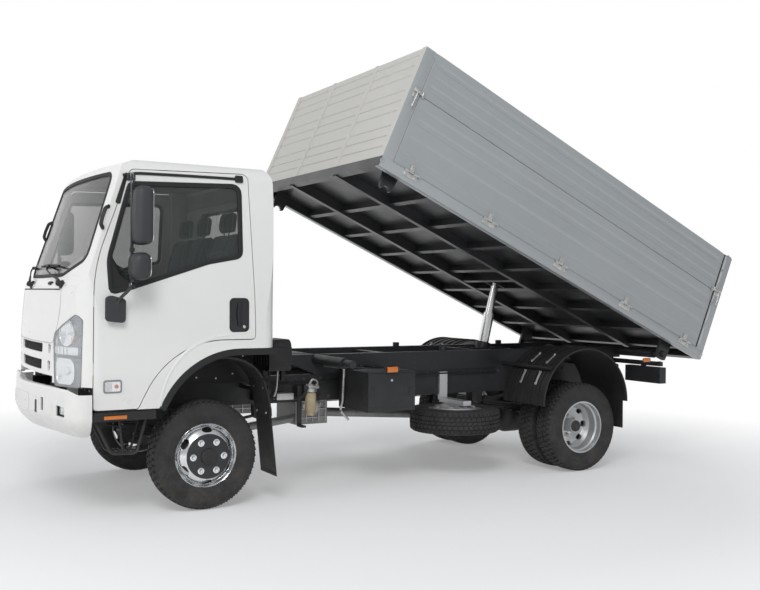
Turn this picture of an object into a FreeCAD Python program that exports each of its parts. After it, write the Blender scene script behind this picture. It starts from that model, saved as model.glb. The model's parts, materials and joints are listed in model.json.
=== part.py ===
"""Light cab-over 4x4 truck with a three-way tipping body, as a parametric FreeCAD document.

Frame while modelling: +X forward from the front axle, +Y left, +Z up from the ground, millimetres.
At the end every sub-part is shifted by one common amount, so that the origin lies under the
middle of the standing truck.  The tipping body is drawn flat and then turned about its rear hinge.
"""
import FreeCAD, Part
import math
import os
import re

from FreeCAD import Placement, Rotation, Vector

# ---------------------------------------------------------------- driving dimensions
# (name, millimetres or degrees, what it is)
SIZES = [
    ("wheelbase", 3395, "front axle to rear axle"),
    ("front_track", 1675, "between the middles of the front tyres"),
    ("rear_track", 1645, "between the middles of the two twin pairs"),
    ("twin_spacing", 250, "between the middles of two twin tyres"),
    ("tyre_diameter", 770, "outside diameter of a tyre"),
    ("tyre_width", 215, "widest place of a tyre"),
    ("bead_diameter", 447, "inside diameter of a tyre"),
    ("rim_width", 170, "width over the rim flanges"),
    ("rim_wall", 10, "thickness of rim and wheel disc"),
    ("disc_offset", 115, "middle of the rim to the wheel disc"),
    ("hub_core", 115, "hub where it passes through the wheel discs"),
    ("seat_gap", 0.3, "gap between pieces that seat on each other"),
    ("hub_diameter", 210, "wheel hub"),
    ("rail_gauge", 840, "over the outsides of the chassis rails"),
    ("rail_top", 880, "top of the chassis rails above ground"),
    ("rail_depth", 213, "depth of a chassis rail"),
    ("rail_flange", 65, "flange of a chassis rail"),
    ("rail_wall", 8, "wall of a chassis rail"),
    ("frame_front", 930, "front end of the rails"),
    ("rear_overhang", 935, "rear axle to the rear end of the rails"),
    ("frame_rear", "=-wheelbase - rear_overhang", "rear end of the rails"),
    ("subframe_depth", 160, "depth of the tipper subframe"),
    ("subframe_width", 70, "width of one subframe rail"),
    ("subframe_front", -870, "front end of the subframe"),
    ("cab_width", 2000, "over the cab sides"),
    ("cab_rear", -498, "rear wall of the cab"),
    ("cab_front", 1022, "front panel of the cab in the middle"),
    ("cab_bow", 5000, "radius of the front of the cab seen from above"),
    ("cab_roof", 2470, "top of the roof"),
    ("cab_wall", 45, "thickness of the cab walls and doors"),
    ("door_gap", 6, "gap round a door"),
    ("glass_depth", 6, "outer skin to the face of the glass"),
    ("glass_thickness", 6, "thickness of the glass"),
    ("glass_play", 0.4, "gap round a pane or lens"),
    ("arch_radius", 620, "rounding of the front wheel arch"),
    ("bumper_top", 888, "top of the bumper"),
    ("bumper_bottom", 570, "bottom of the bumper"),
    ("bumper_reach", 1120, "apex of the bumper before rounding"),
    ("bumper_width", 2050, "over the bumper ends"),
    ("bumper_wall", 15, "thickness of the bumper"),
    ("mudguard_radius", 470, "outside radius of a rear mudguard"),
    ("mudguard_height", 600, "height of the mudguard's centre"),
    ("mudguard_outer", 1115, "outer edge of a rear mudguard"),
    ("mudguard_inner", 560, "inner edge of a rear mudguard"),
    ("mudguard_wall", 8, "thickness of a mudguard"),
    ("hinge_behind", 48, "tip hinge behind the rails"),
    ("hinge_x", "=frame_rear - hinge_behind", "tip hinge from the front axle"),
    ("hinge_z", 1000, "tip hinge above ground"),
    ("hinge_pin", 60, "diameter of the hinge pins"),
    ("hinge_drop", 100, "tip hinge below the underside of the bed"),
    ("pin_play", 1, "bore of a hinge over its pin"),
    ("board_axis_out", 13, "axis of a board hinge outside the bed's face"),
    ("knuckle_diameter", 16, "knuckles of the board hinges"),
    ("board_pin", 18, "pins on which the upper boards hang"),
    ("cab_pivot_x", 980, "cab tilt pivot before the front axle"),
    ("cab_pivot_z", 700, "cab tilt pivot above ground"),
    ("door_axis_x", 805, "door hinges before the front axle"),
    ("door_axis_y", 999, "door hinges from the middle"),
    ("rest_tilt", 24, "tilt of the bed as it stands, degrees"),
    ("bed_length", 3820, "length of the tipping bed"),
    ("bed_width", 2306, "width of the tipping bed"),
    ("bed_overhang", 350, "tip hinge to the rear end of the bed"),
    ("front_ball_back", 192, "front balls behind the front end of the bed"),
    ("sill_height", 80, "height of the bed's edge beam"),
    ("sill_width", 60, "width of the bed's edge beam"),
    ("floor_plate", 5, "thickness of the bed floor"),
    ("floor_rise", 2, "floor sheet above the sills"),
    ("board_thickness", 25, "thickness of a side board"),
    ("board_lower", 575, "height of a lower board"),
    ("board_upper", 373, "height of an upper board"),
    ("board_gap", 7, "gap between boards"),
    ("post_width", 100, "width of a corner post along a side"),
    ("member_pitch", 430, "spacing of the bed's cross-members"),
    ("spine_half", 420, "bed's long beams from the middle"),
    ("trunnion_ahead", 339, "cylinder trunnion before the rear axle"),
    ("trunnion_x", "=-wheelbase + trunnion_ahead", "cylinder trunnion from the front axle"),
    ("trunnion_z", 980, "cylinder trunnion above ground"),
    ("rod_eye_reach", 687, "trunnion to the rod's eye as the truck stands"),
    ("rod_lean", 13.7, "lean of the cylinder as the truck stands, degrees"),
    ("barrel_diameter", 125, "outside of the cylinder barrel"),
    ("stage_one_diameter", 98, "outside of the first ram stage"),
    ("stage_two_diameter", 74, "outside of the second ram stage"),
    ("kingpin_y", 680, "kingpin from the middle"),
]

doc = FreeCAD.newDocument("tipper_truck")
sheet = doc.addObject("Spreadsheet::Sheet", "sizes")
for row, (alias, value, note) in enumerate(SIZES, start=1):
    sheet.set(f"A{row}", note)
    sheet.set(f"B{row}", str(value))
    sheet.setAlias(f"B{row}", alias)
doc.recompute()
ALIASES = {alias for alias, _, _ in SIZES}
NODES = {}


def size(alias):
    """Value of one driving dimension."""
    return float(sheet.get(alias))


def bind(piece, prop, formula):
    """Bind a property to a formula in which the sheet's names stand alone."""
    words = re.sub(r"[a-z_]+", lambda m: "sizes." + m[0] if m[0] in ALIASES else m[0], str(formula))
    piece.setExpression(prop, words)


# ---------------------------------------------------------------- tools for shapes
SKETCH_TURN = {"x": Rotation(0.5, 0.5, 0.5, 0.5), "y": Rotation(Vector(1, 0, 0), 90), "z": Rotation()}
ROD_TURN = {"x": Rotation(Vector(0, 1, 0), 90), "y": Rotation(Vector(1, 0, 0), -90), "z": Rotation()}
DIRECTION = {"x": Vector(1, 0, 0), "y": Vector(0, 1, 0), "z": Vector(0, 0, 1)}


def block(name, x, y, z):
    """A box between two planes on each axis, each plane given as a formula."""
    piece = doc.addObject("Part::Box", name)
    for side, base, (low, high) in (("Length", "x", x), ("Width", "y", y), ("Height", "z", z)):
        bind(piece, side, f"({high}) - ({low})")
        bind(piece, f"Placement.Base.{base}", low)
    return piece


def rod(name, along, x, y, z, diameter):
    """A round bar along one axis; that axis has (low, high), the others a single place."""
    piece = doc.addObject("Part::Cylinder", name)
    piece.Placement.Rotation = ROD_TURN[along]
    bind(piece, "Radius", f"({diameter}) / 2")
    for axis, place in (("x", x), ("y", y), ("z", z)):
        low, high = place if axis == along else (place, place)
        bind(piece, f"Placement.Base.{axis}", low)
        if axis == along:
            bind(piece, "Height", f"({high}) - ({low})")
    return piece


def shaft(name, start, end, diameter):
    """A round bar between two points, given in millimetres."""
    piece = doc.addObject("Part::Cylinder", name)
    run = Vector(*end) - Vector(*start)
    piece.Radius = diameter / 2
    piece.Height = run.Length
    piece.Placement = Placement(Vector(*start), Rotation(Vector(0, 0, 1), run))
    return piece


def corner(before, point, after, radius):
    """Start, middle and end of the arc that rounds one corner of an outline."""
    here = Vector(point[0], point[1], 0)
    back = (Vector(before[0], before[1], 0) - here).normalize()
    ahead = (Vector(after[0], after[1], 0) - here).normalize()
    half = back.getAngle(ahead) / 2
    reach = radius / math.tan(half)
    middle = (back + ahead).normalize() * (radius / math.sin(half) - radius)
    return here + back * reach, here + middle, here + ahead * reach


def edges(outline):
    """Lines and arcs of a closed outline of (a, b) or (a, b, corner radius) points."""
    count = len(outline)
    stops = []
    for index, point in enumerate(outline):
        radius = point[2] if len(point) > 2 else 0
        here = Vector(point[0], point[1], 0)
        if radius > 0:
            stops.append(corner(outline[index - 1], point, outline[(index + 1) % count], radius))
        else:
            stops.append((here, None, here))
    parts = []
    for index, (start, middle, end) in enumerate(stops):
        if middle is not None:
            parts.append(Part.Arc(start, middle, end))
        following = stops[(index + 1) % count][0]
        if (following - end).Length > 1e-4:
            parts.append(Part.LineSegment(end, following))
    return parts


def inset(outline, distance):
    """The outline moved inwards by a distance; it runs anticlockwise."""
    count = len(outline)
    moved = []
    for index, point in enumerate(outline):
        here = Vector(point[0], point[1], 0)
        back = (here - Vector(*outline[index - 1][:2], 0)).normalize()
        ahead = (Vector(*outline[(index + 1) % count][:2], 0) - here).normalize()
        left_back = Vector(-back.y, back.x, 0)
        left_ahead = Vector(-ahead.y, ahead.x, 0)
        miter = (left_back + left_ahead) * (distance / (1 + left_back.dot(left_ahead)))
        radius = point[2] if len(point) > 2 else 0
        turn = back.x * ahead.y - back.y * ahead.x
        if radius > 0:
            radius = max(radius - distance if turn > 0 else radius + distance, 1)
        moved.append((here.x + miter.x, here.y + miter.y, radius))
    return moved


def sketch(name, outline, normal, owner=None):
    """A sketch of one or more closed outlines on the plane across an axis."""
    if owner is None:
        drawing = doc.addObject("Sketcher::SketchObject", name)
        drawing.Placement = Placement(Vector(), SKETCH_TURN[normal])
    else:
        drawing = owner.newObject("Sketcher::SketchObject", name)
        role = {"x": "YZ_Plane", "y": "XZ_Plane", "z": "XY_Plane"}[normal]
        plane = [feature for feature in owner.Origin.OriginFeatures if feature.Role == role][0]
        drawing.AttachmentSupport = [(plane, "")]
        drawing.MapMode = "FlatFace"
    loops = outline if isinstance(outline[0], list) else [outline]
    for loop in loops:
        drawing.addGeometry(edges(loop), False)
    return drawing


def plate(name, outline, normal, low, high):
    """An outline extruded along an axis between two planes given as formulas."""
    drawing = sketch(name + "_outline", outline, normal)
    bind(drawing, f"Placement.Base.{normal}", low)
    piece = doc.addObject("Part::Extrusion", name)
    piece.Base = drawing
    piece.DirMode = "Custom"
    piece.Dir = DIRECTION[normal]
    bind(piece, "LengthFwd", f"({high}) - ({low})")
    piece.Solid = True
    return piece


def fuse(name, *pieces):
    """Pieces joined into one solid."""
    result = doc.addObject("Part::MultiFuse", name)
    result.Shapes = list(pieces)
    return result


def cut(name, base, *tools):
    """A piece with other pieces taken away."""
    result = doc.addObject("Part::Cut", name)
    result.Base = base
    result.Tool = tools[0] if len(tools) == 1 else gather(name + "_tools", *tools)
    return result


def common(name, *pieces):
    """What several pieces share."""
    result = doc.addObject("Part::MultiCommon", name)
    result.Shapes = list(pieces)
    return result


def gather(name, *pieces):
    """Several pieces side by side, not joined."""
    result = doc.addObject("Part::Compound", name)
    result.Links = list(pieces)
    return result


def mirror(name, piece):
    """The same piece on the other side of the truck."""
    result = doc.addObject("Part::Mirroring", name)
    result.Source = piece
    result.Normal = Vector(0, 1, 0)
    return result


def pair(name, piece):
    """A piece and its mirror image."""
    return gather(name, piece, mirror(name + "_right", piece))


def node(label, piece):
    """Give a finished sub-part its name."""
    piece.Label = label
    NODES[label] = piece
    return piece


def node_of(label, *pieces):
    """A sub-part of several solids that lie side by side."""
    return node(label, gather(label + "_set", *pieces))


# ---------------------------------------------------------------- wheels
def tyre_outline():
    """Section of a tyre as (radius, across) points, anticlockwise."""
    bead = size("bead_diameter") / 2
    crown = size("tyre_diameter") / 2
    half = size("tyre_width") / 2
    seat = size("rim_width") / 2 - 13
    upper = [(bead, seat), (bead + 30, seat + 4, 12)]
    wall = (bead + crown) / 2
    lower = [(bead + 30, -seat - 4, 12), (bead, -seat)]
    outer_low = [(wall, -half, 60), (crown, -half + 14, 22)]
    outer_high = [(crown, half - 14, 22), (wall, half, 60)]
    return lower[::-1] + outer_low + outer_high + upper[::-1]


def spin(name, outline, owner):
    """A solid of revolution about the Y axis from a section of (radius, across) points."""
    drawing = sketch(name + "_section", [(r, a, *c) for r, a, *c in outline], "z", owner)
    turned = owner.newObject("PartDesign::Revolution", name)
    turned.Profile = drawing
    turned.ReferenceAxis = (drawing, ["V_Axis"])
    turned.Angle = 360
    return turned


def tyre(name):
    """One tyre about the Y axis."""
    body = doc.addObject("PartDesign::Body", name)
    spin(name + "_ring", tyre_outline(), body)
    return body


def rim_outline():
    """Section of rim and wheel disc as (radius, across) points, disc on the + side."""
    seat = size("bead_diameter") / 2 - 0.5
    half = size("rim_width") / 2
    wall = size("rim_wall")
    disc = size("disc_offset")
    hub = size("hub_diameter") / 2
    bore = size("hub_core") / 2 + size("seat_gap")
    flange = seat + 20
    rise = seat - wall - 8
    outside = [(flange, half), (flange, half - 9), (seat, half - 11), (seat, 25), (seat - 14, 15)]
    far = [(seat - 14, -25), (seat, -35), (seat, -half + 11), (flange, -half + 9), (flange, -half)]
    inner = [(seat - wall, -half), (seat - wall, -38), (seat - wall - 12, -28), (seat - wall - 12, 18)]
    dish = [(rise - 6, 40, 10), (rise - 40, disc - 25, 30), (hub - 10, disc, 12), (bore, disc)]
    cap = [(bore, disc + wall), (hub - 6, disc + wall, 12), (rise - 28, disc - 10, 35), (rise + 8, 48, 8)]
    near = [(seat - wall, 32), (seat - wall, half)]
    return outside + far + inner + dish + cap + near


def rim(name, holes=8):
    """A wheel: drop-centre rim, dished disc with a ring of hand holes, and its hub."""
    body = doc.addObject("PartDesign::Body", name)
    spin(name + "_wheel", rim_outline()[::-1], body)
    doc.recompute()
    middle = (size("bead_diameter") / 2 + size("hub_diameter") / 2) / 2 - 2
    long_half, high_half = 27, 17
    hole = [(middle - high_half, -long_half, 16), (middle + high_half, -long_half, 16),
            (middle + high_half, long_half, 16), (middle - high_half, long_half, 16)]
    drawing = sketch(name + "_hand_hole", hole, "y", body)
    pocket = body.newObject("PartDesign::Pocket", name + "_pocket")
    pocket.Profile = drawing
    pocket.Type = "ThroughAll"
    pocket.Midplane = True
    ring = body.newObject("PartDesign::PolarPattern", name + "_holes")
    ring.Originals = [pocket]
    ring.Axis = ([f for f in body.Origin.OriginFeatures if f.Role == "Y_Axis"][0], [""])
    ring.Angle = 360
    ring.Occurrences = holes
    body.Tip = ring
    return body


def hub(name, low, high, drum_low, drum_high, seat):
    """Hub and brake drum on the Y axis, with the flange that the wheel disc seats on."""
    core = rod(name + "_core", "y", 0, (low, high), 0, "hub_core")
    flange = rod(name + "_flange", "y", 0, (f"{seat} - 12", seat), 0, "hub_diameter - 26")
    drum = rod(name + "_drum", "y", 0, (drum_low, drum_high), 0, "bead_diameter - 130")
    return fuse(name, core, flange, drum)


def placed(name, piece, x, y, z, flip=False):
    """A copy of a piece moved to a place, turned about the vertical when flipped."""
    result = doc.addObject("Part::Compound", name)
    result.Links = [piece]
    result.Placement = Placement(Vector(x, y, z), Rotation(Vector(0, 0, 1), 180 if flip else 0))
    return result


AXLE_HEIGHT = size("tyre_diameter") / 2
REAR_X = -size("wheelbase")
TYRE = tyre("tyre")
RIM = rim("rim")
FRONT_HUB = hub("front_hub", -95, "disc_offset + rim_wall + 12", -90, 80, "disc_offset")
REAR_HUB = hub("rear_hub", -90, 125, -90, -45, "-rim_wall - seat_gap")

for side, sign in (("left", 1), ("right", -1)):
    flip = sign < 0
    across = sign * size("front_track") / 2
    node_of(f"front_tyre_{side}", placed(f"front_tyre_{side}_piece", TYRE, 0, across, AXLE_HEIGHT))
    wheel = fuse(f"front_wheel_{side}", RIM, FRONT_HUB)
    node_of(f"front_rim_{side}", placed(f"front_rim_{side}_piece", wheel, 0, across, AXLE_HEIGHT, flip))

    middle = sign * size("rear_track") / 2
    apart = sign * size("twin_spacing") / 2
    tyres = []
    rims = []
    for place, offset, turn in (("outer", apart, not flip), ("inner", -apart, flip)):
        name = f"rear_{place}_{side}"
        tyres.append(placed(name + "_tyre", TYRE, REAR_X, middle + offset, AXLE_HEIGHT))
        rims.append(placed(name + "_rim", RIM, REAR_X, middle + offset, AXLE_HEIGHT, turn))
    rims.append(placed(f"rear_hub_{side}_piece", REAR_HUB, REAR_X, middle, AXLE_HEIGHT, flip))
    node_of(f"rear_tyres_{side}", *tyres)
    node_of(f"rear_rims_{side}", *rims)

# ---------------------------------------------------------------- chassis frame
# cross-members of the frame: (name, middle along X, bottom, top)
CROSS_MEMBERS = [
    ("front", 860, 700, 800),
    ("cab", -520, 795, 860),
    ("transfer", -1420, 700, 860),
    ("middle", -2250, 700, 860),
    ("spring", REAR_X - 405, 700, 860),
    ("end", size("frame_rear") + 40, 690, 860),
]
MEMBER_WIDTH = 70
MEMBER_WALL = 8


def channel(half, flange, wall, low, high):
    """C section open towards the middle, as (across, up) points, anticlockwise."""
    return [(half - flange, low), (half, low), (half, high), (half - flange, high),
            (half - flange, high - wall), (half - wall, high - wall),
            (half - wall, low + wall), (half - flange, low + wall)]


def chassis_frame():
    """Two channel rails and the cross-members that tie them."""
    top = size("rail_top")
    section = channel(size("rail_gauge") / 2, size("rail_flange"), size("rail_wall"),
                      top - size("rail_depth"), top)
    rail = plate("rail_left", section, "x", "frame_rear", "frame_front")
    pieces = [rail, mirror("rail_right", rail)]
    for name, middle, low, high in CROSS_MEMBERS:
        half = MEMBER_WIDTH / 2
        section = [(middle - half, low), (middle + half, low), (middle + half, low + MEMBER_WALL),
                   (middle - half + MEMBER_WALL, low + MEMBER_WALL),
                   (middle - half + MEMBER_WALL, high - MEMBER_WALL),
                   (middle + half, high - MEMBER_WALL), (middle + half, high), (middle - half, high)]
        reach = "rail_gauge / 2 - rail_wall"
        pieces.append(plate(f"{name}_member", section, "y", f"-({reach})", reach))
    pivot_plate = block("cab_pivot_plate", ("frame_front", "cab_pivot_x + 32"),
                        ("rail_gauge / 2 - rail_wall", "rail_gauge / 2"),
                        ("cab_pivot_z - 32", "cab_pivot_z + 90"))
    pin = rod("cab_pivot_pin", "y", "cab_pivot_x", ("rail_gauge / 2 - rail_wall", "rail_gauge / 2 + 45"),
              "cab_pivot_z", 34)
    post = block("cab_rest_post", (-365, -285), ("rail_gauge / 2 - 62", "rail_gauge / 2"),
                 ("rail_top - 1", 1136.8))
    for piece in (pivot_plate, pin, post):
        pieces += [piece, mirror(piece.Name + "_right", piece)]
    pieces.append(block("cab_rest_beam", (-355, -295), ("-rail_gauge / 2 + 60", "rail_gauge / 2 - 60"),
                        (1060, 1125)))
    node("chassis_frame", fuse("chassis_frame_set", *pieces))


FRONT_BALL_X = size("hinge_x") - size("bed_overhang") + size("bed_length") - size("front_ball_back")


def tipper_subframe():
    """Box rails on the chassis, with ball bars at both ends and the cylinder's cradle."""
    low, high = size("rail_top"), size("rail_top") + size("subframe_depth")
    front = size("subframe_front")
    rear = size("hinge_x") - 45
    notch = size("frame_rear") - 10
    side = [(notch, low), (front - 220, low), (front, high - 60), (front, high), (rear, high),
            (rear, low + 55), (notch, low + 55)]
    outer = "rail_gauge / 2 + 10"
    rail = plate("subframe_left", side, "y", f"{outer} - subframe_width", outer)
    pieces = [rail, mirror("subframe_right", rail)]
    for name, middle in (("fore", -1900), ("aft", REAR_X - 385)):
        pieces.append(block(f"subframe_{name}", (middle - 35, middle + 35),
                            (f"-({outer}) + 20", f"{outer} - 20"),
                            ("rail_top + 20", "rail_top + subframe_depth - 20")))
    for name, shift in (("fore", 190), ("aft", -230)):
        pieces.append(block(f"cradle_{name}", (f"trunnion_x + {shift}", f"trunnion_x + {shift} + 50"),
                            (f"-({outer}) + 20", f"{outer} - 20"),
                            ("rail_top + 10", "rail_top + subframe_depth - 10")))
    for sign in (1, -1):
        low_y, high_y = sorted((sign * 92, sign * 112))
        cheek = block(f"cradle_cheek_{sign + 1}", ("trunnion_x - 181", "trunnion_x + 191"), (low_y, high_y),
                      ("trunnion_z - 60", "trunnion_z + 60"))
        bore = rod(f"cradle_bore_{sign + 1}", "y", "trunnion_x", (low_y - 1, high_y + 1), "trunnion_z", 52)
        pieces.append(cut(f"cradle_plate_{sign + 1}", cheek, bore))
    ball_reach = "bed_width / 2 - 100"
    pieces.append(rod("rear_ball_bar", "y", "hinge_x", (f"-({ball_reach})", ball_reach), "hinge_z",
                      "hinge_pin"))
    pieces.append(rod("rear_ball_sleeve", "y", "hinge_x", (f"-({ball_reach}) + 130", f"{ball_reach} - 130"),
                      "hinge_z", "hinge_pin + 24"))
    pieces.append(rod("front_ball_bar", "y", FRONT_BALL_X, (f"-({ball_reach})", ball_reach), "hinge_z",
                      "hinge_pin"))
    pieces.append(rod("front_ball_sleeve", "y", FRONT_BALL_X,
                      (f"-({ball_reach}) + 130", f"{ball_reach} - 130"),
                      "hinge_z", "hinge_pin + 24"))
    for name, middle in (("fore", -2350), ("aft", REAR_X - 165)):
        pad = rod(f"bed_rest_{name}", "z", middle, "rail_gauge / 2 - 25",
                  ("rail_top + subframe_depth - 2", "rail_top + subframe_depth + 36"), 60)
        pieces += [pad, mirror(f"bed_rest_{name}_right", pad)]
    node("tipper_subframe", fuse("tipper_subframe_set", *pieces))


chassis_frame()
tipper_subframe()


# ---------------------------------------------------------------- axles, springs and steering
def spring(name, middle, half_length, seat, eye, leaves):
    """A leaf spring along X on one side: curved leaves, a clamp, eyes and their hangers."""
    half_width = 32
    thickness = 11
    centre = size("rail_gauge") / 2 - 35
    y = (centre - half_width, centre + half_width)
    rise = eye - seat
    pieces = []
    for leaf in range(leaves):
        reach = half_length * (1 - leaf / (leaves + 1))
        top = seat + thickness * (leaves - leaf)
        tip = top + rise * (reach / half_length) ** 2
        strip = [(middle - reach, tip - thickness), (middle, top - thickness),
                 (middle + reach, tip - thickness),
                 (middle + reach, tip), (middle, top), (middle - reach, tip)]
        pieces.append(plate(f"{name}_leaf_{leaf}", strip, "y", *y))
    stack = thickness * leaves
    pieces.append(block(f"{name}_clamp", (middle - 55, middle + 55), (y[0] - 8, y[1] + 8),
                        (seat, seat + stack + 10)))
    for end, sign in (("front", 1), ("rear", -1)):
        x = middle + sign * half_length
        height = eye + stack - thickness / 2
        pieces.append(rod(f"{name}_eye_{end}", "y", x, y, height, 46))
        under_rail = size("rail_top") - size("rail_depth")
        outline = [(x - 26, height - 26, 25), (x + 26, height - 26, 25), (x + 34, under_rail),
                   (x - 34, under_rail)]
        pieces.append(plate(f"{name}_hanger_{end}", outline, "y", y[0], y[1]))
    return fuse(name, *pieces)


def front_axle():
    """Driven front axle: tube, gear housing off the middle, and yokes for the kingpins."""
    height = AXLE_HEIGHT
    tube = rod("front_tube", "y", 0, ("-kingpin_y + 105", "kingpin_y - 105"), height, 104)
    bulb = rod("front_gear_housing", "x", (-110, 110), 60, height, 270)
    bulb_edge = doc.addObject("Part::Fillet", "front_gear_round")
    bulb_edge.Base = bulb
    doc.recompute()
    bulb_edge.Edges = [(index + 1, 60, 60) for index, edge in enumerate(bulb.Shape.Edges) if edge.Closed]
    nose = rod("front_pinion", "x", (-240, -90), 60, height, 110)
    pieces = [tube, bulb_edge, nose]
    for sign in (1, -1):
        y = sorted((sign * (size("kingpin_y") - 125), sign * (size("kingpin_y") - 95)))
        root = sign * (size("kingpin_y") - 120)
        tip = sign * (size("kingpin_y") + 38)
        pieces.append(block(f"yoke_web_{sign + 1}", (-45, 45), y, (height - 125, height + 125)))
        for level, low in (("low", -125), ("high", 95)):
            outline = [(-38, root), (38, root), (38, tip, 37.9), (-38, tip, 37.9)]
            arm = plate(f"yoke_{level}_{sign + 1}", outline if sign > 0 else outline[::-1], "z",
                        height + low, height + low + 30)
            bore = rod(f"yoke_bore_{level}_{sign + 1}", "z", 0, sign * size("kingpin_y"),
                       (height + low - 1, height + low + 31), 42)
            pieces.append(cut(f"yoke_arm_{level}_{sign + 1}", arm, bore))
    node("front_axle", fuse("front_axle_set", *pieces))


ARM_LOW = AXLE_HEIGHT - 60


def knuckle(side, sign):
    """Steering knuckle on its kingpin, with the brake's back plate and the steering arm."""
    height = AXLE_HEIGHT
    king = size("kingpin_y")
    spindle_end = size("front_track") / 2 - 95 - size("seat_gap")
    eye = block(f"knuckle_eye_{side}", (-42, 42), sorted((sign * (king - 40), sign * (king + 42))),
                (height - 88, height + 88))
    pin = rod(f"kingpin_{side}", "z", 0, sign * king, (height - 132, height + 132), 40)
    plate_y = sorted((sign * (king + 42), sign * (spindle_end - 9)))
    stub = rod(f"knuckle_stub_{side}", "y", 0, sorted((sign * (king + 30), sign * spindle_end)), height, 100)
    back = rod(f"back_plate_{side}", "y", 0, (plate_y[1] - 8, plate_y[1]) if sign > 0 else (plate_y[0],
                                                                                            plate_y[0] + 8),
               height, 290)
    arm = block(f"steering_arm_{side}", (-175, -30), sorted((sign * (king - 32), sign * (king + 8))),
                (ARM_LOW, ARM_LOW + 22))
    node(f"knuckle_{side}", fuse(f"knuckle_{side}_set", eye, pin, stub, back, arm))


def rear_axle():
    """Rear axle: tube, gear housing and pinion nose."""
    height = AXLE_HEIGHT
    inner = size("rear_track") / 2 - 90 - size("seat_gap")
    tube = rod("rear_tube", "y", "-wheelbase", (-inner, inner), height, 120)
    bulb = rod("rear_gear_housing", "x", ("-wheelbase - 130", "-wheelbase + 130"), 0, height, 330)
    rounded = doc.addObject("Part::Fillet", "rear_gear_round")
    rounded.Base = bulb
    doc.recompute()
    rounded.Edges = [(index + 1, 70, 70) for index, edge in enumerate(bulb.Shape.Edges) if edge.Closed]
    nose = rod("rear_pinion", "x", ("-wheelbase + 100", "-wheelbase + 250"), 0, height, 120)
    node("rear_axle", fuse("rear_axle_set", tube, rounded, nose))


def tie_rod():
    """Track rod behind the front axle, between the two steering arms."""
    height = AXLE_HEIGHT - 85
    king = size("kingpin_y")
    bar = rod("tie_bar", "y", -155, (-king - 10, king + 10), height, 32)
    ends = [rod(f"tie_end_{sign + 1}", "z", -155, sign * (king - 12),
                (height - 20, ARM_LOW - size("seat_gap")), 44)
            for sign in (1, -1)]
    node("tie_rod", fuse("tie_rod_set", bar, *ends))


front_axle()
rear_axle()
knuckle("left", 1)
knuckle("right", -1)
tie_rod()
FRONT_SEAT = AXLE_HEIGHT + 52.3
REAR_SEAT = AXLE_HEIGHT + 60.3
front_spring = spring("front_spring", 0, 600, FRONT_SEAT, FRONT_SEAT + 100, 4)
rear_spring = spring("rear_spring", REAR_X, 660, REAR_SEAT, REAR_SEAT + 85, 6)
node_of("leaf_springs", pair("front_springs", front_spring), pair("rear_springs", rear_spring))


# ---------------------------------------------------------------- power train and side units
def power_train():
    """Engine as one block, gearbox with transfer case, shafts and exhaust."""
    node_of("engine", block("engine_block", ("-65 + seat_gap", 700), (-270, 270), (575, 925)))
    gearbox = [(-65, 560), (-65, 850), (-300, 820), (-720, 720), (-720, 560)]
    case = plate("gearbox_case", gearbox[::-1], "y", -150, 150)
    transfer = block("transfer_case", (-1310, -1020), (-160, 220), (450, 790))
    link = rod("gearbox_shaft", "x", (-1025, -715), 0, 650, 80)
    front = shaft("front_prop_shaft", (-1025, 160, 500), (-246.8, 60, AXLE_HEIGHT), 66)
    lean = 38 * (520 - AXLE_HEIGHT) / (-1305 - REAR_X - 250)
    rear = shaft("rear_prop_shaft", (-1305, 0, 520), (REAR_X + 250 + lean + 2 * size("seat_gap"), 0,
                                                      AXLE_HEIGHT), 76)
    node("driveline", fuse("driveline_set", case, transfer, link, front, rear))
    muffler = rod("silencer", "x", (-1850, -1250), -610, 640, 230)
    inlet = rod("exhaust_inlet", "x", (-1260, -900), -560, 660, 64)
    outlet = rod("exhaust_outlet", "x", (-2100, -1840), -640, 640, 60)
    strap = block("exhaust_strap", (-1580, -1540), (-640, "-rail_gauge / 2"), (700, 790))
    node("exhaust", fuse("exhaust_set", muffler, inlet, outlet, strap))


def side_units():
    """Tank, box and spare wheel hung on the rails, and the air cleaner behind the cab."""
    side = "rail_gauge / 2"
    tank = [(-945, 540, 60), (-480, 540, 60), (-480, 870, 60), (-945, 870, 60)]
    shell = plate("tank_shell", tank, "x", -2820, -2160)
    hanger = [block(f"tank_hanger_{x}", (-x, 40 - x), (-481, "-rail_gauge / 2"), (690, 860)) for x in (2700,
                                                                                                       2320)]
    node("fuel_tank", fuse("fuel_tank_set", shell, *hanger))

    box = block("tool_box_body", (-1718, -1289), (470, 950), (617, 920))
    hanger = [block(f"tool_box_hanger_{x}", (-x, 40 - x), (side, 475), (700, 850)) for x in (1680, 1370)]
    node("tool_box", fuse("tool_box_set", box, *hanger))

    body = plate("air_cleaner_body", [(470, 950, 30), (820, 950, 30), (820, 1185, 60), (470, 1185, 60)], "x",
                 -700, -520)
    foot = block("air_cleaner_foot", (-680, -540), (side, 480), (700, 960))
    node("air_cleaner", fuse("air_cleaner_set", body, foot))


def spare_wheel():
    """Spare wheel lying flat under the left side, with its hanger."""
    x, y, z = -2330, 620, 475
    turn = Rotation(Vector(1, 0, 0), 90)
    flat_tyre = gather("spare_tyre_piece", TYRE)
    flat_tyre.Placement = Placement(Vector(x, y, z), turn)
    node_of("spare_tyre", flat_tyre)
    flat_rim = gather("spare_rim_piece", RIM)
    flat_rim.Placement = Placement(Vector(x, y, z), turn)
    top = z + size("disc_offset") + size("rim_wall")
    beam = block("spare_beam", (x - 40, x + 40), ("rail_gauge / 2 + 20", y + 180), (top, top + 40))
    drop = block("spare_drop", (x - 40, x + 40), (size("rail_gauge") / 2, size("rail_gauge") / 2 + 25),
                 (top + 20, 860))
    node("spare_carrier", fuse("spare_carrier_set", flat_rim, beam, drop))


power_train()
side_units()
spare_wheel()


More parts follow.
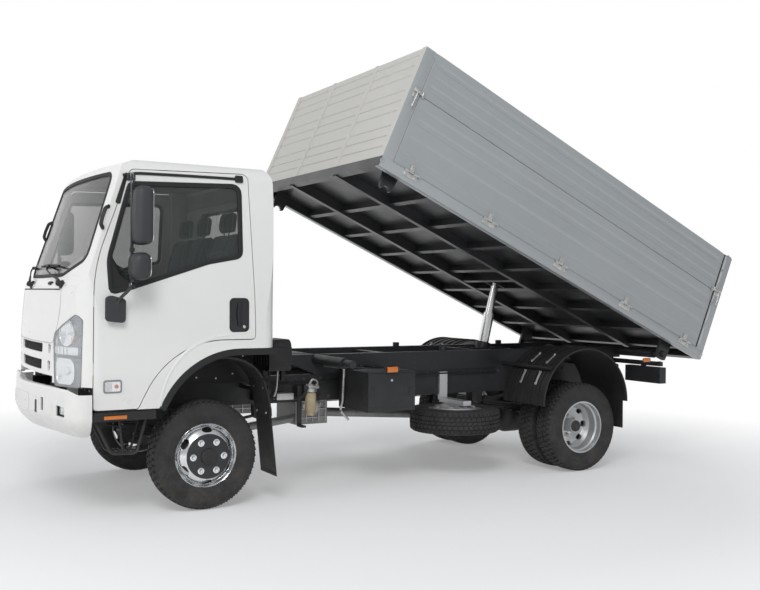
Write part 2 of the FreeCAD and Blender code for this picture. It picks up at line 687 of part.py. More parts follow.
# ---------------------------------------------------------------- bumper, steps and mudguards
def bumper_path():
    """Outer line of the bumper seen from above, as (x, y) points from right to left."""
    half = size("bumper_width") / 2
    return [(817, -half), (950, -half, 150), (size("bumper_reach"), 0, 1800), (950, half, 150), (817, half)]


BUMPER_END_TOP = 856


def front_bumper():
    """Bumper as a bent wall round the front, on two brackets."""
    outer = bumper_path()
    wall = size("bumper_wall")
    inner = inset(outer + [(-2000, size("bumper_width") / 2), (-2000, -size("bumper_width") / 2)], wall)[:5]
    inner[0] = (817, inner[0][1])
    inner[4] = (817, inner[4][1])
    skin = plate("bumper_skin", outer + inner[::-1], "z", "bumper_bottom", "bumper_top")
    reach = block("bumper_arm_reach", (size("frame_front") - 33, "bumper_reach"),
                  ("rail_gauge / 2 - 60", "rail_gauge / 2 - rail_wall"), (690, 780))
    behind = plate("bumper_behind", inset(outer, wall / 2) + [(700, size("bumper_width") / 2),
                                                              (700, -size("bumper_width") / 2)],
                   "z", "bumper_bottom", "bumper_top")
    arm = common("bumper_arm", reach, behind)
    top = size("bumper_top")
    shoulder = [(700, BUMPER_END_TOP), (905, BUMPER_END_TOP), (965, top + 1), (965, top + 20),
                (700, top + 20)]
    dropped = cut("bumper_lowered", skin, plate("bumper_shoulder", shoulder, "y", -1200, 1200))
    node("front_bumper", fuse("front_bumper_set", dropped, arm, mirror("bumper_arm_right", arm)))


def steps_and_flaps():
    """Steps under the doors and the flaps behind the front wheels, with their brackets."""
    pieces = []
    tread = block("step_tread", (385, 800), (760, 1000), (675, 735))
    arm = block("step_arm", (540, 600), ("rail_gauge / 2", 765), (690, 725))
    pieces.append(pair("steps", fuse("step_left", tread, arm)))
    lean = [(-517, 202), (-511, 202), (-440, 863), (-446, 863)]
    flap = plate("flap_sheet", lean, "y", 700, 985)
    arm = block("flap_arm", (-475, -447), ("rail_gauge / 2", 960), (800, 830))
    pieces.append(pair("flaps", fuse("flap_left", flap, arm)))
    node_of("steps_and_flaps", *pieces)


def rear_mudguards():
    """Half-round guards over the twin wheels, hung on two tubes a side, with rear flaps."""
    radius = size("mudguard_radius")
    wall = size("mudguard_wall")
    base = size("mudguard_height")
    middle = REAR_X + 28
    side = radius * 0.9999
    outer = [(middle - radius, base), (middle + radius, base), (middle + radius, base + radius, side),
             (middle - radius, base + radius, side)]
    hollow = radius - wall
    inner_round = hollow * 0.9999
    inner = [(middle - hollow, base - 1), (middle + hollow, base - 1),
             (middle + hollow, base + hollow, inner_round),
             (middle - hollow, base + hollow, inner_round)]
    solid = plate("guard_outer", outer, "y", "mudguard_inner", "mudguard_outer")
    void = plate("guard_inner", inner, "y", "mudguard_inner - 1", "mudguard_outer + 1")
    guard = cut("guard_shell", solid, void)
    flap = block("guard_flap", (middle - radius + 0.5, middle - radius + wall),
                 ("mudguard_inner + 40", "mudguard_outer - 40"),
                 (358, base + 60))
    pieces = [fuse("guard_left", guard, flap)]
    for name, angle in (("fore", 40), ("aft", 140)):
        reach = radius + 20 - 1
        x = middle + reach * math.cos(math.radians(angle))
        z = base + reach * math.sin(math.radians(angle))
        pieces.append(rod(f"guard_tube_{name}", "y", x, ("rail_gauge / 2 + 10", "mudguard_outer - 20"), z,
                          40))
    node("rear_mudguards", pair("rear_mudguards_set", fuse("guard_set", *pieces)))


def rear_lamps():
    """Rear cross tube with the lamp boxes at both ends."""
    x = size("frame_rear") - 40
    bar = block("lamp_bar", (x - 20, x + 20), (-1020, 1020), (885, 925))
    tail = block("lamp_bar_foot", (x + 19, "frame_rear"), ("rail_gauge / 2 - 60", "rail_gauge / 2"),
                 (700, 860))
    foot = block("lamp_bar_post", (x - 20, x + 20), ("rail_gauge / 2 - 60", "rail_gauge / 2 - 10"),
                 (700, 890))
    box = block("lamp_box", (x - 60, x + 20), (580, 1020), (724, 872))
    stem = block("lamp_stem", (x - 15, x + 15), (780, 820), (870, 890))
    left = fuse("lamp_left", tail, foot, box, stem)
    node("rear_lamps", fuse("rear_lamps_set", bar, left, mirror("lamp_right", left)))


front_bumper()
steps_and_flaps()
rear_mudguards()
rear_lamps()

# ---------------------------------------------------------------- cab
CAB_HALF = size("cab_width") / 2
BELT = 1480
DOOR_SHELL_FLOOR = 745
SIDE = [(size("cab_rear"), 1138), (144, 1138, size("arch_radius")), (362, DOOR_SHELL_FLOOR),
        (806, DOOR_SHELL_FLOOR, 25),
        (806, 900), (1400, 936), (1400, 2700), (-60, 2500), (size("cab_rear"), 2480, 170)]
FRONT = [(-CAB_HALF, 600), (CAB_HALF, 600), (CAB_HALF, BELT, 2500), (CAB_HALF - 106, 2440, 120),
         (0, size("cab_roof") + 4, 6000), (106 - CAB_HALF, 2440, 120), (-CAB_HALF, BELT, 2500)]
PLAN = [(size("cab_rear"), -CAB_HALF, 90), (885, -CAB_HALF, 170), (1120, -190), (1120, 190),
        (885, CAB_HALF, 170), (size("cab_rear"), CAB_HALF, 90)]
DOOR = [(802, 750, 25), (802, 1680, 1100), (545, 2362, 40), (-300, 2385, 45), (-333, 1205, 25),
        (279, 1203, size("arch_radius")), (510, 750, 25)]
WINDOW = [(700, 1518, 30), (712, 1750, 300), (557, 2275, 40), (-245, 2305, 60), (-240, 1784, 50),
          (8, 1737, 250), (567, 1550, 200)]
SCREEN = [(-872, 1745, 80), (-540, 1638, 200), (0, 1632, 12000), (540, 1638, 200), (872, 1745, 80),
          (805, 2350, 80), (0, 2352, 12000), (-805, 2350, 80)]
REAR_PANE = [(-560, 1760, 70), (560, 1760, 70), (540, 2200, 70), (-540, 2200, 70)]
LAMP_REAR = 830
LAMP = [(640, 893, 30), (955, 893, 25), (962, 1345, 30), (928, 1387, 40), (612, 1245, 50)]


def front_section(distance):
    """Front, windscreen and roof line on the middle plane, moved inwards by a distance."""
    front = size("cab_front")
    roof = size("cab_roof")
    line = [(-1400, 500), (front, 500), (front, 1210, 2000), (front - 30, 1578, 25), (front - 78, 1622, 20),
            (front - 335, 2400, 60), (front - 430, 2436, 150), (front - 900, roof - 4, 3000),
            (-1400, roof - 4)]
    return inset(line, distance)


def cab_form(name, distance):
    """The cab's outer form moved inwards by a distance: a bowed front cut by three prisms."""
    centre = size("cab_front") - size("cab_bow")
    turned = doc.addObject("Part::Revolution", name + "_bow")
    turned.Source = sketch(name + "_section", front_section(distance), "y")
    turned.Axis = Vector(0, 0, 1)
    turned.Base = Vector(centre, 0, 0)
    turned.Angle = 60
    turned.Symmetric = True
    turned.Solid = True
    side = plate(name + "_side", inset(SIDE, distance), "y", "-cab_width / 2 - 100", "cab_width / 2 + 100")
    front = plate(name + "_front", inset(FRONT, distance), "x", "cab_rear - 100", "cab_front + 300")
    plan = plate(name + "_plan", inset(PLAN, distance), "z", 300, 2900)
    return common(name, turned, side, front, plan)


TUNNEL_HALF = 600
TUNNEL_TOP = 955
CAB_OUT = cab_form("cab_out", 0)
CAB_IN = cab_form("cab_in", size("cab_wall"))


def side_zone(name, distance):
    """Everything inside the cab's side walls, moved inwards by a distance."""
    return plate(name, inset(FRONT, distance), "x", "cab_rear - 200", "cab_front + 400")


def door(side, sign):
    """A door with its window opening, as thick as the cab wall."""
    blank = plate(f"door_blank_{side}", DOOR, "y", *sorted((sign * 700, sign * 1100)))
    inside = side_zone(f"door_inside_{side}", size("cab_wall"))
    hole = plate(f"door_window_{side}", WINDOW, "y", *sorted((sign * 650, sign * 1150)))
    skin = common(f"door_skin_{side}", blank, CAB_OUT)
    node(f"door_{side}", cut(f"door_{side}_set", skin, inside, hole))
    pane = plate(f"pane_blank_{side}", inset(WINDOW, size("glass_play")), "y",
                 *sorted((sign * 650, sign * 1150)))
    near = side_zone(f"pane_near_{side}", size("glass_depth") + 4)
    far = side_zone(f"pane_far_{side}", size("glass_depth") + 4 + size("glass_thickness"))
    layer = cut(f"pane_layer_{side}", near, far)
    node(f"door_glass_{side}", common(f"door_glass_{side}_set", pane, layer))


def cab_shell():
    """Hollow cab with its tunnel, door openings, window cuts, lamp seats and grille slots."""
    tunnel_out = block("tunnel_out", (-600, 1400), (-TUNNEL_HALF - size("cab_wall"),
                                                    TUNNEL_HALF + size("cab_wall")),
                       (600, f"{TUNNEL_TOP} + cab_wall"))
    tunnel_in = block("tunnel_in", (-600, 1400), (-TUNNEL_HALF, TUNNEL_HALF), (600, TUNNEL_TOP))
    cavity = cut("cab_cavity", CAB_IN, tunnel_out)
    body = cut("cab_hollow", CAB_OUT, cavity, tunnel_in)
    tools = []
    for side, sign in (("left", 1), ("right", -1)):
        grown = plate(f"door_hole_{side}", inset(DOOR, -size("door_gap")), "y",
                      *sorted((sign * 700, sign * 1200)))
        inside = side_zone(f"door_hole_inside_{side}", size("cab_wall") + 0.5)
        tools.append(cut(f"door_opening_{side}", grown, inside))
    tools.append(plate("screen_hole", SCREEN, "x", 500, 1300))
    tools.append(plate("rear_pane_hole", REAR_PANE, "x", "cab_rear - 50", "cab_rear + 100"))
    lamp_depth = cab_form("lamp_depth", 30)
    lamp_hole = plate("lamp_hole", LAMP, "x", LAMP_REAR, 1300)
    slots = []
    for index, (start, end, low, high) in enumerate(GRILLE_SLOTS):
        outline = [(start, low, 12), (end, low, 12), (end + 8, high, 12), (start - 8, high, 12)]
        slots.append(plate(f"grille_slot_{index}", outline, "x", 900, 1300))
        if start > 0:
            slots.append(mirror(f"grille_slot_{index}_right", slots[-1]))
    recess = cut("front_recess", gather("front_recess_set", lamp_hole, mirror("lamp_hole_right", lamp_hole),
                                        *slots), lamp_depth)
    shell = cut("cab_panels", body, recess, *tools)
    x, z = size("cab_pivot_x"), size("cab_pivot_z")
    neck = [(x - 200, z - 32, 45), (x + 32, z - 32, 31), (x + 32, z + 32, 31), (x - 130, z + 32, 30),
            (x - 130, TUNNEL_TOP + 5), (x - 200, TUNNEL_TOP + 5)]
    arm = plate("cab_arm", neck, "y", "rail_gauge / 2 + 10", "rail_gauge / 2 + 35")
    bore = rod("cab_arm_bore", "y", "cab_pivot_x", ("rail_gauge / 2 + 9", "rail_gauge / 2 + 36"),
               "cab_pivot_z", "34 + pin_play")
    parts = [cut("cab_arm_left", arm, bore)]
    for name, low in (("low", 980), ("high", 1430)):
        parts.append(block(f"door_hinge_{name}", ("door_axis_x - 2.6", "door_axis_x + 12"), (948, 985),
                           (low, low + 80)))
    parts += [mirror(piece.Name + "_right", piece) for piece in parts]
    node("cab_shell", fuse("cab_shell_set", shell, *parts))

    lens = plate("lens_blank", inset(LAMP, size("glass_play")), "x", LAMP_REAR + size("glass_play"), 1300)
    lens_in = cab_form("lens_depth", 30 - size("glass_play"))
    skin = cut("lens_layer", CAB_OUT, lens_in)
    node("headlamps", pair("headlamps_set", common("lens_left", lens, skin)))

    screen = plate("screen_blank", inset(SCREEN, size("glass_play")), "x", 500, 1300)
    near = cab_form("screen_near", size("glass_depth"))
    far = cab_form("screen_far", size("glass_depth") + size("glass_thickness"))
    layer = cut("screen_layer", near, far)
    rear = plate("rear_pane", inset(REAR_PANE, size("glass_play")), "x", "cab_rear + glass_depth",
                 "cab_rear + glass_depth + glass_thickness")
    node_of("cab_glass", common("windscreen", screen, layer), rear)


# grille slots: (from, to, bottom, top)
GRILLE_SLOTS = [(-370, 370, 1105, 1168), (-350, 350, 985, 1055), (512, 555, 1105, 1168),
                (500, 545, 985, 1055)]


def cab_inside():
    """Dashboard, steering wheel and seats."""
    profile = [(560, 1330, 30), (650, 1190, 30), (1100, 1190), (1100, 1590), (700, 1545, 60), (590, 1500, 40)]
    blank = plate("dash_blank", profile, "y", -880, 880)
    fit = cab_form("dash_fit", size("cab_wall") + 0.3)
    node("dashboard", common("dashboard_set", blank, fit))

    ring = doc.addObject("Part::Torus", "steering_ring")
    ring.Radius1 = 215
    ring.Radius2 = 15
    lean = Rotation(Vector(0, 1, 0), -38)
    centre = Vector(420, 420, 1610)
    ring.Placement = Placement(centre, lean)
    axis = lean.multVec(Vector(0, 0, 1))
    spokes = [shaft(f"steering_spoke_{index}", tuple(centre), tuple(centre + lean.multVec(Vector(
        210 * math.cos(angle), 210 * math.sin(angle), 0))), 24) for index,
              angle in enumerate((0.35, 2.79, 4.71))]
    boss = shaft("steering_boss", tuple(centre + axis * 22), tuple(centre - axis * 60), 90)
    column = shaft("steering_column", tuple(centre), tuple(centre - axis * 227.6), 50)
    node("steering_wheel", fuse("steering_wheel_set", ring, boss, column, *spokes))

    floor = 1138 + size("cab_wall") + size("seat_gap")
    top = floor + 800 + size("seat_gap")
    seats = []
    for name, low, high in (("driver", 180, 700), ("middle", -300, 120), ("outer", -760, -310)):
        base = [(-300, floor, 20), (250, floor, 20), (270, floor + 250, 60), (-300, floor + 230, 40)]
        back = [(-290, floor + 232, 30), (-150, floor + 236, 30), (-260, floor + 800, 40),
                (-390, floor + 800, 40)]
        head = [(-370, top, 30), (-270, top, 30), (-290, floor + 960, 40), (-385, floor + 960, 40)]
        inset_y = (high - low) * 0.28
        seats.append(plate(f"{name}_base", base, "y", low, high))
        seats.append(plate(f"{name}_back", back, "y", low, high))
        seats.append(plate(f"{name}_head", head, "y", low + inset_y, high - inset_y))
    node_of("seats", *seats)


def mirror_set():
    """Tall main mirror and small lower mirror on a bent arm with its foot on the door."""
    head = plate("mirror_main", [(475, 1840, 35), (600, 1840, 30), (600, 2222, 30), (475, 2222, 35)], "y",
                 1062, 1258)
    low = plate("mirror_low", [(484, 1612, 35), (616, 1612, 30), (616, 1790, 30), (484, 1790, 35)], "y",
                1068, 1255)
    upright = rod("mirror_upright", "z", 594, 1128, (1545, 2290), 22)
    foot = plate("mirror_foot", [(613, 1318, 12), (728, 1318, 12), (728, 1475, 12), (613, 1500, 12)], "y",
                 CAB_HALF, 1045)
    stay = shaft("mirror_stay", (655, 1030, 1455), (594, 1128, 1550), 22)
    top = shaft("mirror_top", (594, 1128, 2284), (542, 912.6, 2310), 20)
    return fuse("mirror_left_set", head, low, upright, foot, stay, top)


for side, sign in (("left", 1), ("right", -1)):
    door(side, sign)
cab_shell()
cab_inside()
MIRROR = mirror_set()
node_of("mirror_left", MIRROR)
node_of("mirror_right", mirror("mirror_right_set", MIRROR))

# ---------------------------------------------------------------- tipping bed, drawn flat
BED_LOW = size("hinge_z") + size("hinge_drop")
BED_REAR = size("hinge_x") - size("bed_overhang")
BED_FRONT = BED_REAR + size("bed_length")
BED_HALF = size("bed_width") / 2
SILL_TOP = BED_LOW + size("sill_height")
SEAM = SILL_TOP + size("board_lower")
BOARD_TOP = SEAM + size("board_gap") + size("board_upper")
POST_DEPTH = 60
HEAD_DEPTH = 40
GROOVE_DEPTH = 7
GROOVE_HALF = 14
LOWER_GROOVES = (60, 120, 255, 412, 500)
UPPER_GROOVES = (125, 204, 310)


def ribbed(outer, inner, bottom, top, grooves):
    """Section of a pressed board: a flat back and an outer face with sloping grooves."""
    step = GROOVE_DEPTH if inner < outer else -GROOVE_DEPTH
    face = []
    for middle in grooves:
        face += [(outer, bottom + middle - GROOVE_HALF), (outer - step, bottom + middle - GROOVE_HALF / 2),
                 (outer - step, bottom + middle + GROOVE_HALF / 2), (outer, bottom + middle + GROOVE_HALF)]
    return [(inner, bottom), (outer, bottom)] + face + [(outer, top), (inner, top)]


def bed_floor():
    """Edge beams, long beams, cross-members and floor plate, with hinge sockets and posts."""
    sill = "sill_width"
    low, high = BED_LOW, SILL_TOP - size("floor_rise")
    rear, front = BED_REAR, BED_FRONT
    side = block("sill_left", (rear, front), (f"bed_width / 2 - {sill}", "bed_width / 2"), (low, high))
    pieces = [side, mirror("sill_right", side)]
    for name, start, end in (("rear", rear, rear + size("sill_width")),
                             ("front", front - size("sill_width"), front)):
        pieces.append(block(f"sill_{name}", (start, end), ("-bed_width / 2 + 10", "bed_width / 2 - 10"),
                            (low, high)))
    in_sheet = SILL_TOP - size("floor_plate") + 1
    sheet_half = BED_HALF - POST_DEPTH - size("seat_gap")
    pieces.append(block("floor_sheet", (rear + size("board_thickness"), front - HEAD_DEPTH - size("seat_gap")),
                        (-sheet_half, sheet_half), (f"{SILL_TOP} - floor_plate", SILL_TOP)))
    spine = block("spine_left", (rear + 10, front - 10), ("spine_half - 30", "spine_half + 30"),
                  (low - 10, in_sheet))
    pieces += [spine, mirror("spine_right", spine)]
    place = 230
    index = 0
    while place < size("bed_length") - 150:
        start = rear + place - 25
        pieces.append(block(f"cross_{index}", (start, start + 50),
                            ("-bed_width / 2 + 20", "bed_width / 2 - 20"),
                            (low + 15, in_sheet)))
        place += size("member_pitch")
        index += 1
    pin = size("hinge_pin")
    for name, x in (("rear", size("hinge_x")), ("front", FRONT_BALL_X)):
        outer = BED_HALF - 130
        drop = size("hinge_z") - (pin / 2 + 18 if name == "rear" else 0)
        outline = [(x - 55, drop, 20), (x + 55, drop, 20), (x + 75, in_sheet), (x - 75, in_sheet)]
        ear = plate(f"socket_{name}", outline, "y", outer - 30, outer)
        slot = rod(f"socket_bore_{name}", "y", x, (outer - 31, outer + 1), "hinge_z", "hinge_pin + pin_play")
        tools = [slot]
        if name == "front":
            tools.append(block("socket_mouth", (x - pin / 2 - 4, x + pin / 2 + 4), (outer - 31, outer + 1),
                               (drop - 1, f"hinge_z + {pin / 4}")))
        socket = cut(f"socket_{name}_left", ear, *tools)
        pieces += [socket, mirror(f"socket_{name}_right", socket)]
    eye = rod_eye_flat()
    for sign in (1, -1):
        y = sorted((sign * 56, sign * 70))
        pieces.append(block(f"ram_cheek_{sign + 1}", (eye.x - 70, eye.x + 70), y,
                            (low - 4, in_sheet)))
    for name, shift in (("fore", 72), ("aft", -112)):
        pieces.append(block(f"ram_beam_{name}", (eye.x + shift, eye.x + shift + 40),
                            ("-spine_half", "spine_half"),
                            (low - 5, in_sheet)))
    post = block("rear_post", (rear, f"{rear} + post_width"), (BED_HALF - POST_DEPTH, BED_HALF),
                 (high - 5, BOARD_TOP))
    side_bore = rod("rear_post_side_bore", "x", (rear + size("post_width") - 35,
                                                 rear + size("post_width") + 1),
                    SIDE_PIN_Y, PIN_Z, "board_pin + pin_play")
    tail_bore = rod("rear_post_tail_bore", "y", TAIL_PIN_X, (BED_HALF - 61, BED_HALF - 30), PIN_Z,
                    "board_pin + pin_play")
    bored = cut("rear_post_bored", post, side_bore, tail_bore)
    pieces += [bored, mirror("rear_post_right", bored)]
    for index, place in enumerate(side_hinges()):
        knuckles = sill_knuckles(f"side_hinge_{index}", place, "x")
        pieces += [knuckles, mirror(f"side_hinge_{index}_right", knuckles)]
    for index, place in enumerate(TAIL_HINGES):
        pieces.append(sill_knuckles(f"tail_hinge_{index}", place, "y"))
    node("bed_floor", fuse("bed_floor_set", *pieces))


KNUCKLE_LENGTH = 44
HINGE_LENGTH = 130
AXIS_Z = SILL_TOP - 2
PIN_Z = BOARD_TOP - 25
SIDE_PIN_Y = BED_HALF - size("board_thickness") / 2
TAIL_PIN_X = BED_REAR + size("board_thickness") / 2
TAIL_HINGES = (-850, -350, 350, 850)


def side_hinges():
    """Places of the five hinges along a side."""
    margin = 277
    pitch = (size("bed_length") - 2 * margin) / 4
    return [BED_REAR + margin + pitch * index for index in range(5)]


def strap(name, along, place, half, low, high, thick):
    """A flat strap on the side face (hinge line along x) or the rear face (hinge line along y)."""
    if along == "x":
        return block(name, (place - half, place + half), ("bed_width / 2", f"bed_width / 2 + {thick}"),
                     (low, high))
    return block(name, (BED_REAR - thick, BED_REAR), (place - half, place + half), (low, high))


def barrel_piece(name, along, low, high):
    """One knuckle of a board hinge along its axis."""
    if along == "x":
        return rod(name, "x", (low, high), "bed_width / 2 + board_axis_out", AXIS_Z, "knuckle_diameter")
    return rod(name, "y", BED_REAR - size("board_axis_out"), (low, high), AXIS_Z, "knuckle_diameter")


def sill_knuckles(name, place, along):
    """The half of a board hinge that stays on the bed: two knuckles on a strap."""
    half = HINGE_LENGTH / 2
    strap_low = strap(name + "_strap", along, place, half, AXIS_Z - 45, AXIS_Z - 9, 6)
    pieces = [strap_low]
    for end, sign in (("a", -1), ("b", 1)):
        low, high = sorted((place + sign * half, place + sign * (half - KNUCKLE_LENGTH)))
        middle = (low + high) / 2
        pieces.append(barrel_piece(f"{name}_{end}", along, low, high))
        pieces.append(strap(f"{name}_ear_{end}", along, middle, KNUCKLE_LENGTH / 2, AXIS_Z - 12, AXIS_Z + 5,
                            7))
    return fuse(name, *pieces)


def board_knuckle(name, place, along):
    """The half of a board hinge that turns with the board."""
    half = HINGE_LENGTH / 2 - KNUCKLE_LENGTH - 0.6
    middle = barrel_piece(name + "_knuckle", along, place - half, place + half)
    leaf = strap(name + "_leaf", along, place, half, AXIS_Z + 2.6, AXIS_Z + 60, 7)
    return fuse(name, middle, leaf)


def rod_eye_flat():
    """Place of the rod's eye with the bed flat: the standing place turned back about the hinge."""
    lean = math.radians(size("rod_lean"))
    reach = size("rod_eye_reach")
    eye = Vector(size("trunnion_x") - reach * math.sin(lean), 0, size("trunnion_z") + reach * math.cos(lean))
    hinge = Vector(size("hinge_x"), 0, size("hinge_z"))
    return hinge + Rotation(Vector(0, 1, 0), size("rest_tilt")).multVec(eye - hinge)


def headboard():
    """Front wall between two posts, three ribbed panels high, with upright stiffeners."""
    front = BED_FRONT
    low = SILL_TOP - size("floor_rise") + size("seat_gap")
    post = block("front_post", (f"{front} - post_width", front), (BED_HALF - POST_DEPTH, BED_HALF),
                 (low, BOARD_TOP))
    panel = plate("head_panel", ribbed(front - 8, front - HEAD_DEPTH, low, BOARD_TOP,
                                       (90, 180, 270, 400, 490, 580, 710, 800, 890)),
                  "y", "-bed_width / 2 + 50", "bed_width / 2 - 50")
    bore = rod("front_post_bore", "x", (front - size("post_width") - 1, front - size("post_width") + 35),
               SIDE_PIN_Y, PIN_Z, "board_pin + pin_play")
    bored = cut("front_post_bored", post, bore)
    pieces = [bored, mirror("front_post_right", bored), panel]
    for sign in (1, -1):
        y = sign * size("bed_width") / 6
        pieces.append(block(f"head_stay_{sign + 1}", (front - 20, front), (y - 22, y + 22), (low, BOARD_TOP)))
    node("headboard", fuse("headboard_set", *pieces))


def boards():
    """Lower and upper boards on both sides and at the rear."""
    gap = size("board_gap")
    outer = BED_HALF
    inner = BED_HALF - size("board_thickness")
    start = BED_REAR + size("post_width") + gap
    end = BED_FRONT - size("post_width") - gap
    half = BED_HALF - POST_DEPTH - gap
    levels = (("lower", SILL_TOP + gap, SEAM, LOWER_GROOVES), ("upper", SEAM + gap, BOARD_TOP, UPPER_GROOVES))
    for level, low, high, grooves in levels:
        side = [plate(f"board_{level}", ribbed(outer, inner, low, high, grooves), "x", start, end)]
        section = ribbed(BED_REAR, BED_REAR + size("board_thickness"), low, high, grooves)
        tail = [plate(f"tail_{level}", section[::-1], "y", -half, half)]
        if level == "lower":
            side += [board_knuckle(f"side_leaf_{index}", place, "x") for index,
                     place in enumerate(side_hinges())]
            tail += [board_knuckle(f"tail_leaf_{index}", place, "y") for index,
                     place in enumerate(TAIL_HINGES)]
        else:
            for name, edge, sign in (("rear", start, -1), ("front", end, 1)):
                reach = sorted((edge - sign * 20, edge + sign * 35))
                side.append(rod(f"board_pin_{name}", "x", reach, SIDE_PIN_Y, PIN_Z, "board_pin"))
            for sign in (1, -1):
                reach = sorted((sign * (half - 20), sign * (half + 30)))
                tail.append(rod(f"tail_pin_{sign + 1}", "y", TAIL_PIN_X, reach, PIN_Z, "board_pin"))
        board = fuse(f"side_{level}", *side)
        node_of(f"side_board_{level}_left", board)
        node_of(f"side_board_{level}_right", mirror(f"board_{level}_right", board))
        node(f"tailgate_{level}", fuse(f"tailgate_{level}_set", *tail))


bed_floor()
headboard()
boards()
BED_NODES = ["bed_floor", "headboard", "tailgate_lower", "tailgate_upper"]
BED_NODES += [f"side_board_{level}_{side}" for level in ("lower", "upper") for side in ("left", "right")]


# ---------------------------------------------------------------- tipping cylinder, drawn upright
def cylinder():
    """Barrel on its trunnions and two ram stages, drawn upright about the trunnion."""
    reach = size("rod_eye_reach")
    barrel_low = -475
    collar = 108
    step = 389
    bore = size("stage_one_diameter") + 1.2
    wall = rod("barrel_wall", "z", 0, 0, (barrel_low, collar - 30), "barrel_diameter")
    ring = rod("barrel_collar", "z", 0, 0, (collar - 45, collar), "barrel_diameter + 14")
    pins = rod("barrel_trunnions", "y", 0, (-116, 116), 0, 50)
    hollow = rod("barrel_bore", "z", 0, 0, (barrel_low + 15, collar + 1), bore)
    node("cylinder_barrel", cut("cylinder_barrel_set", fuse("barrel_solid", wall, ring, pins), hollow))
    tube = rod("stage_one_tube", "z", 0, 0, (step - 577, step), "stage_one_diameter")
    inside = rod("stage_one_bore", "z", 0, 0, (step - 565, step + 1), size("stage_two_diameter") + 1.2)
    node("ram_stage_one", cut("ram_stage_one_set", tube, inside))
    body = rod("stage_two_tube", "z", 0, 0, (step - 290, reach - 34), "stage_two_diameter")
    neck = rod("stage_two_neck", "z", 0, 0, (reach - 40, reach), 40)
    ball = doc.addObject("Part::Sphere", "rod_eye")
    ball.Radius = 28
    ball.Placement.Base = Vector(0, 0, reach)
    node("ram_stage_two", fuse("ram_stage_two_set", body, neck, ball))


cylinder()
CYLINDER_NODES = ["cylinder_barrel", "ram_stage_one", "ram_stage_two"]

# ---------------------------------------------------------------- placing, checking and writing
doc.recompute()
hinge = Vector(size("hinge_x"), 0, size("hinge_z"))
tilt = Rotation(Vector(0, 1, 0), -size("rest_tilt"))
bed_place = Placement(hinge - tilt.multVec(hinge), tilt)
lean = Rotation(Vector(0, 1, 0), -size("rod_lean"))
for label in BED_NODES:
    NODES[label].Placement = bed_place
for label in CYLINDER_NODES:
    NODES[label].Placement = Placement(Vector(size("trunnion_x"), 0, size("trunnion_z")), lean)
doc.recompute()
bounds = FreeCAD.BoundBox()
for piece in NODES.values():
    bounds.add(piece.Shape.optimalBoundingBox(False))
shift = Vector(-bounds.Center.x, 0, 0)
for piece in NODES.values():
    piece.Placement.Base += shift
doc.recompute()

for thing in doc.Objects:
    if "Invalid" in thing.State or "Error" in thing.State:
        raise RuntimeError(f"{thing.Name} failed: {thing.State}")
os.makedirs("parts", exist_ok=True)
for label, piece in NODES.items():
    if piece.Shape.isNull() or not piece.Shape.isValid():
        raise RuntimeError(f"{label} has no valid shape")
    piece.Shape.exportStep(f"parts/{label}.step")
print(f"{len(NODES)} sub-parts, shifted by {shift.x:.3f} mm along X")
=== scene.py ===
"""Light cab-over tipper truck: the finish of every piece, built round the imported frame.

Lengths are in metres in the frame's own axes: X forward, Y to the truck's left, Z up from the ground.
"""
import sys

import json
import math

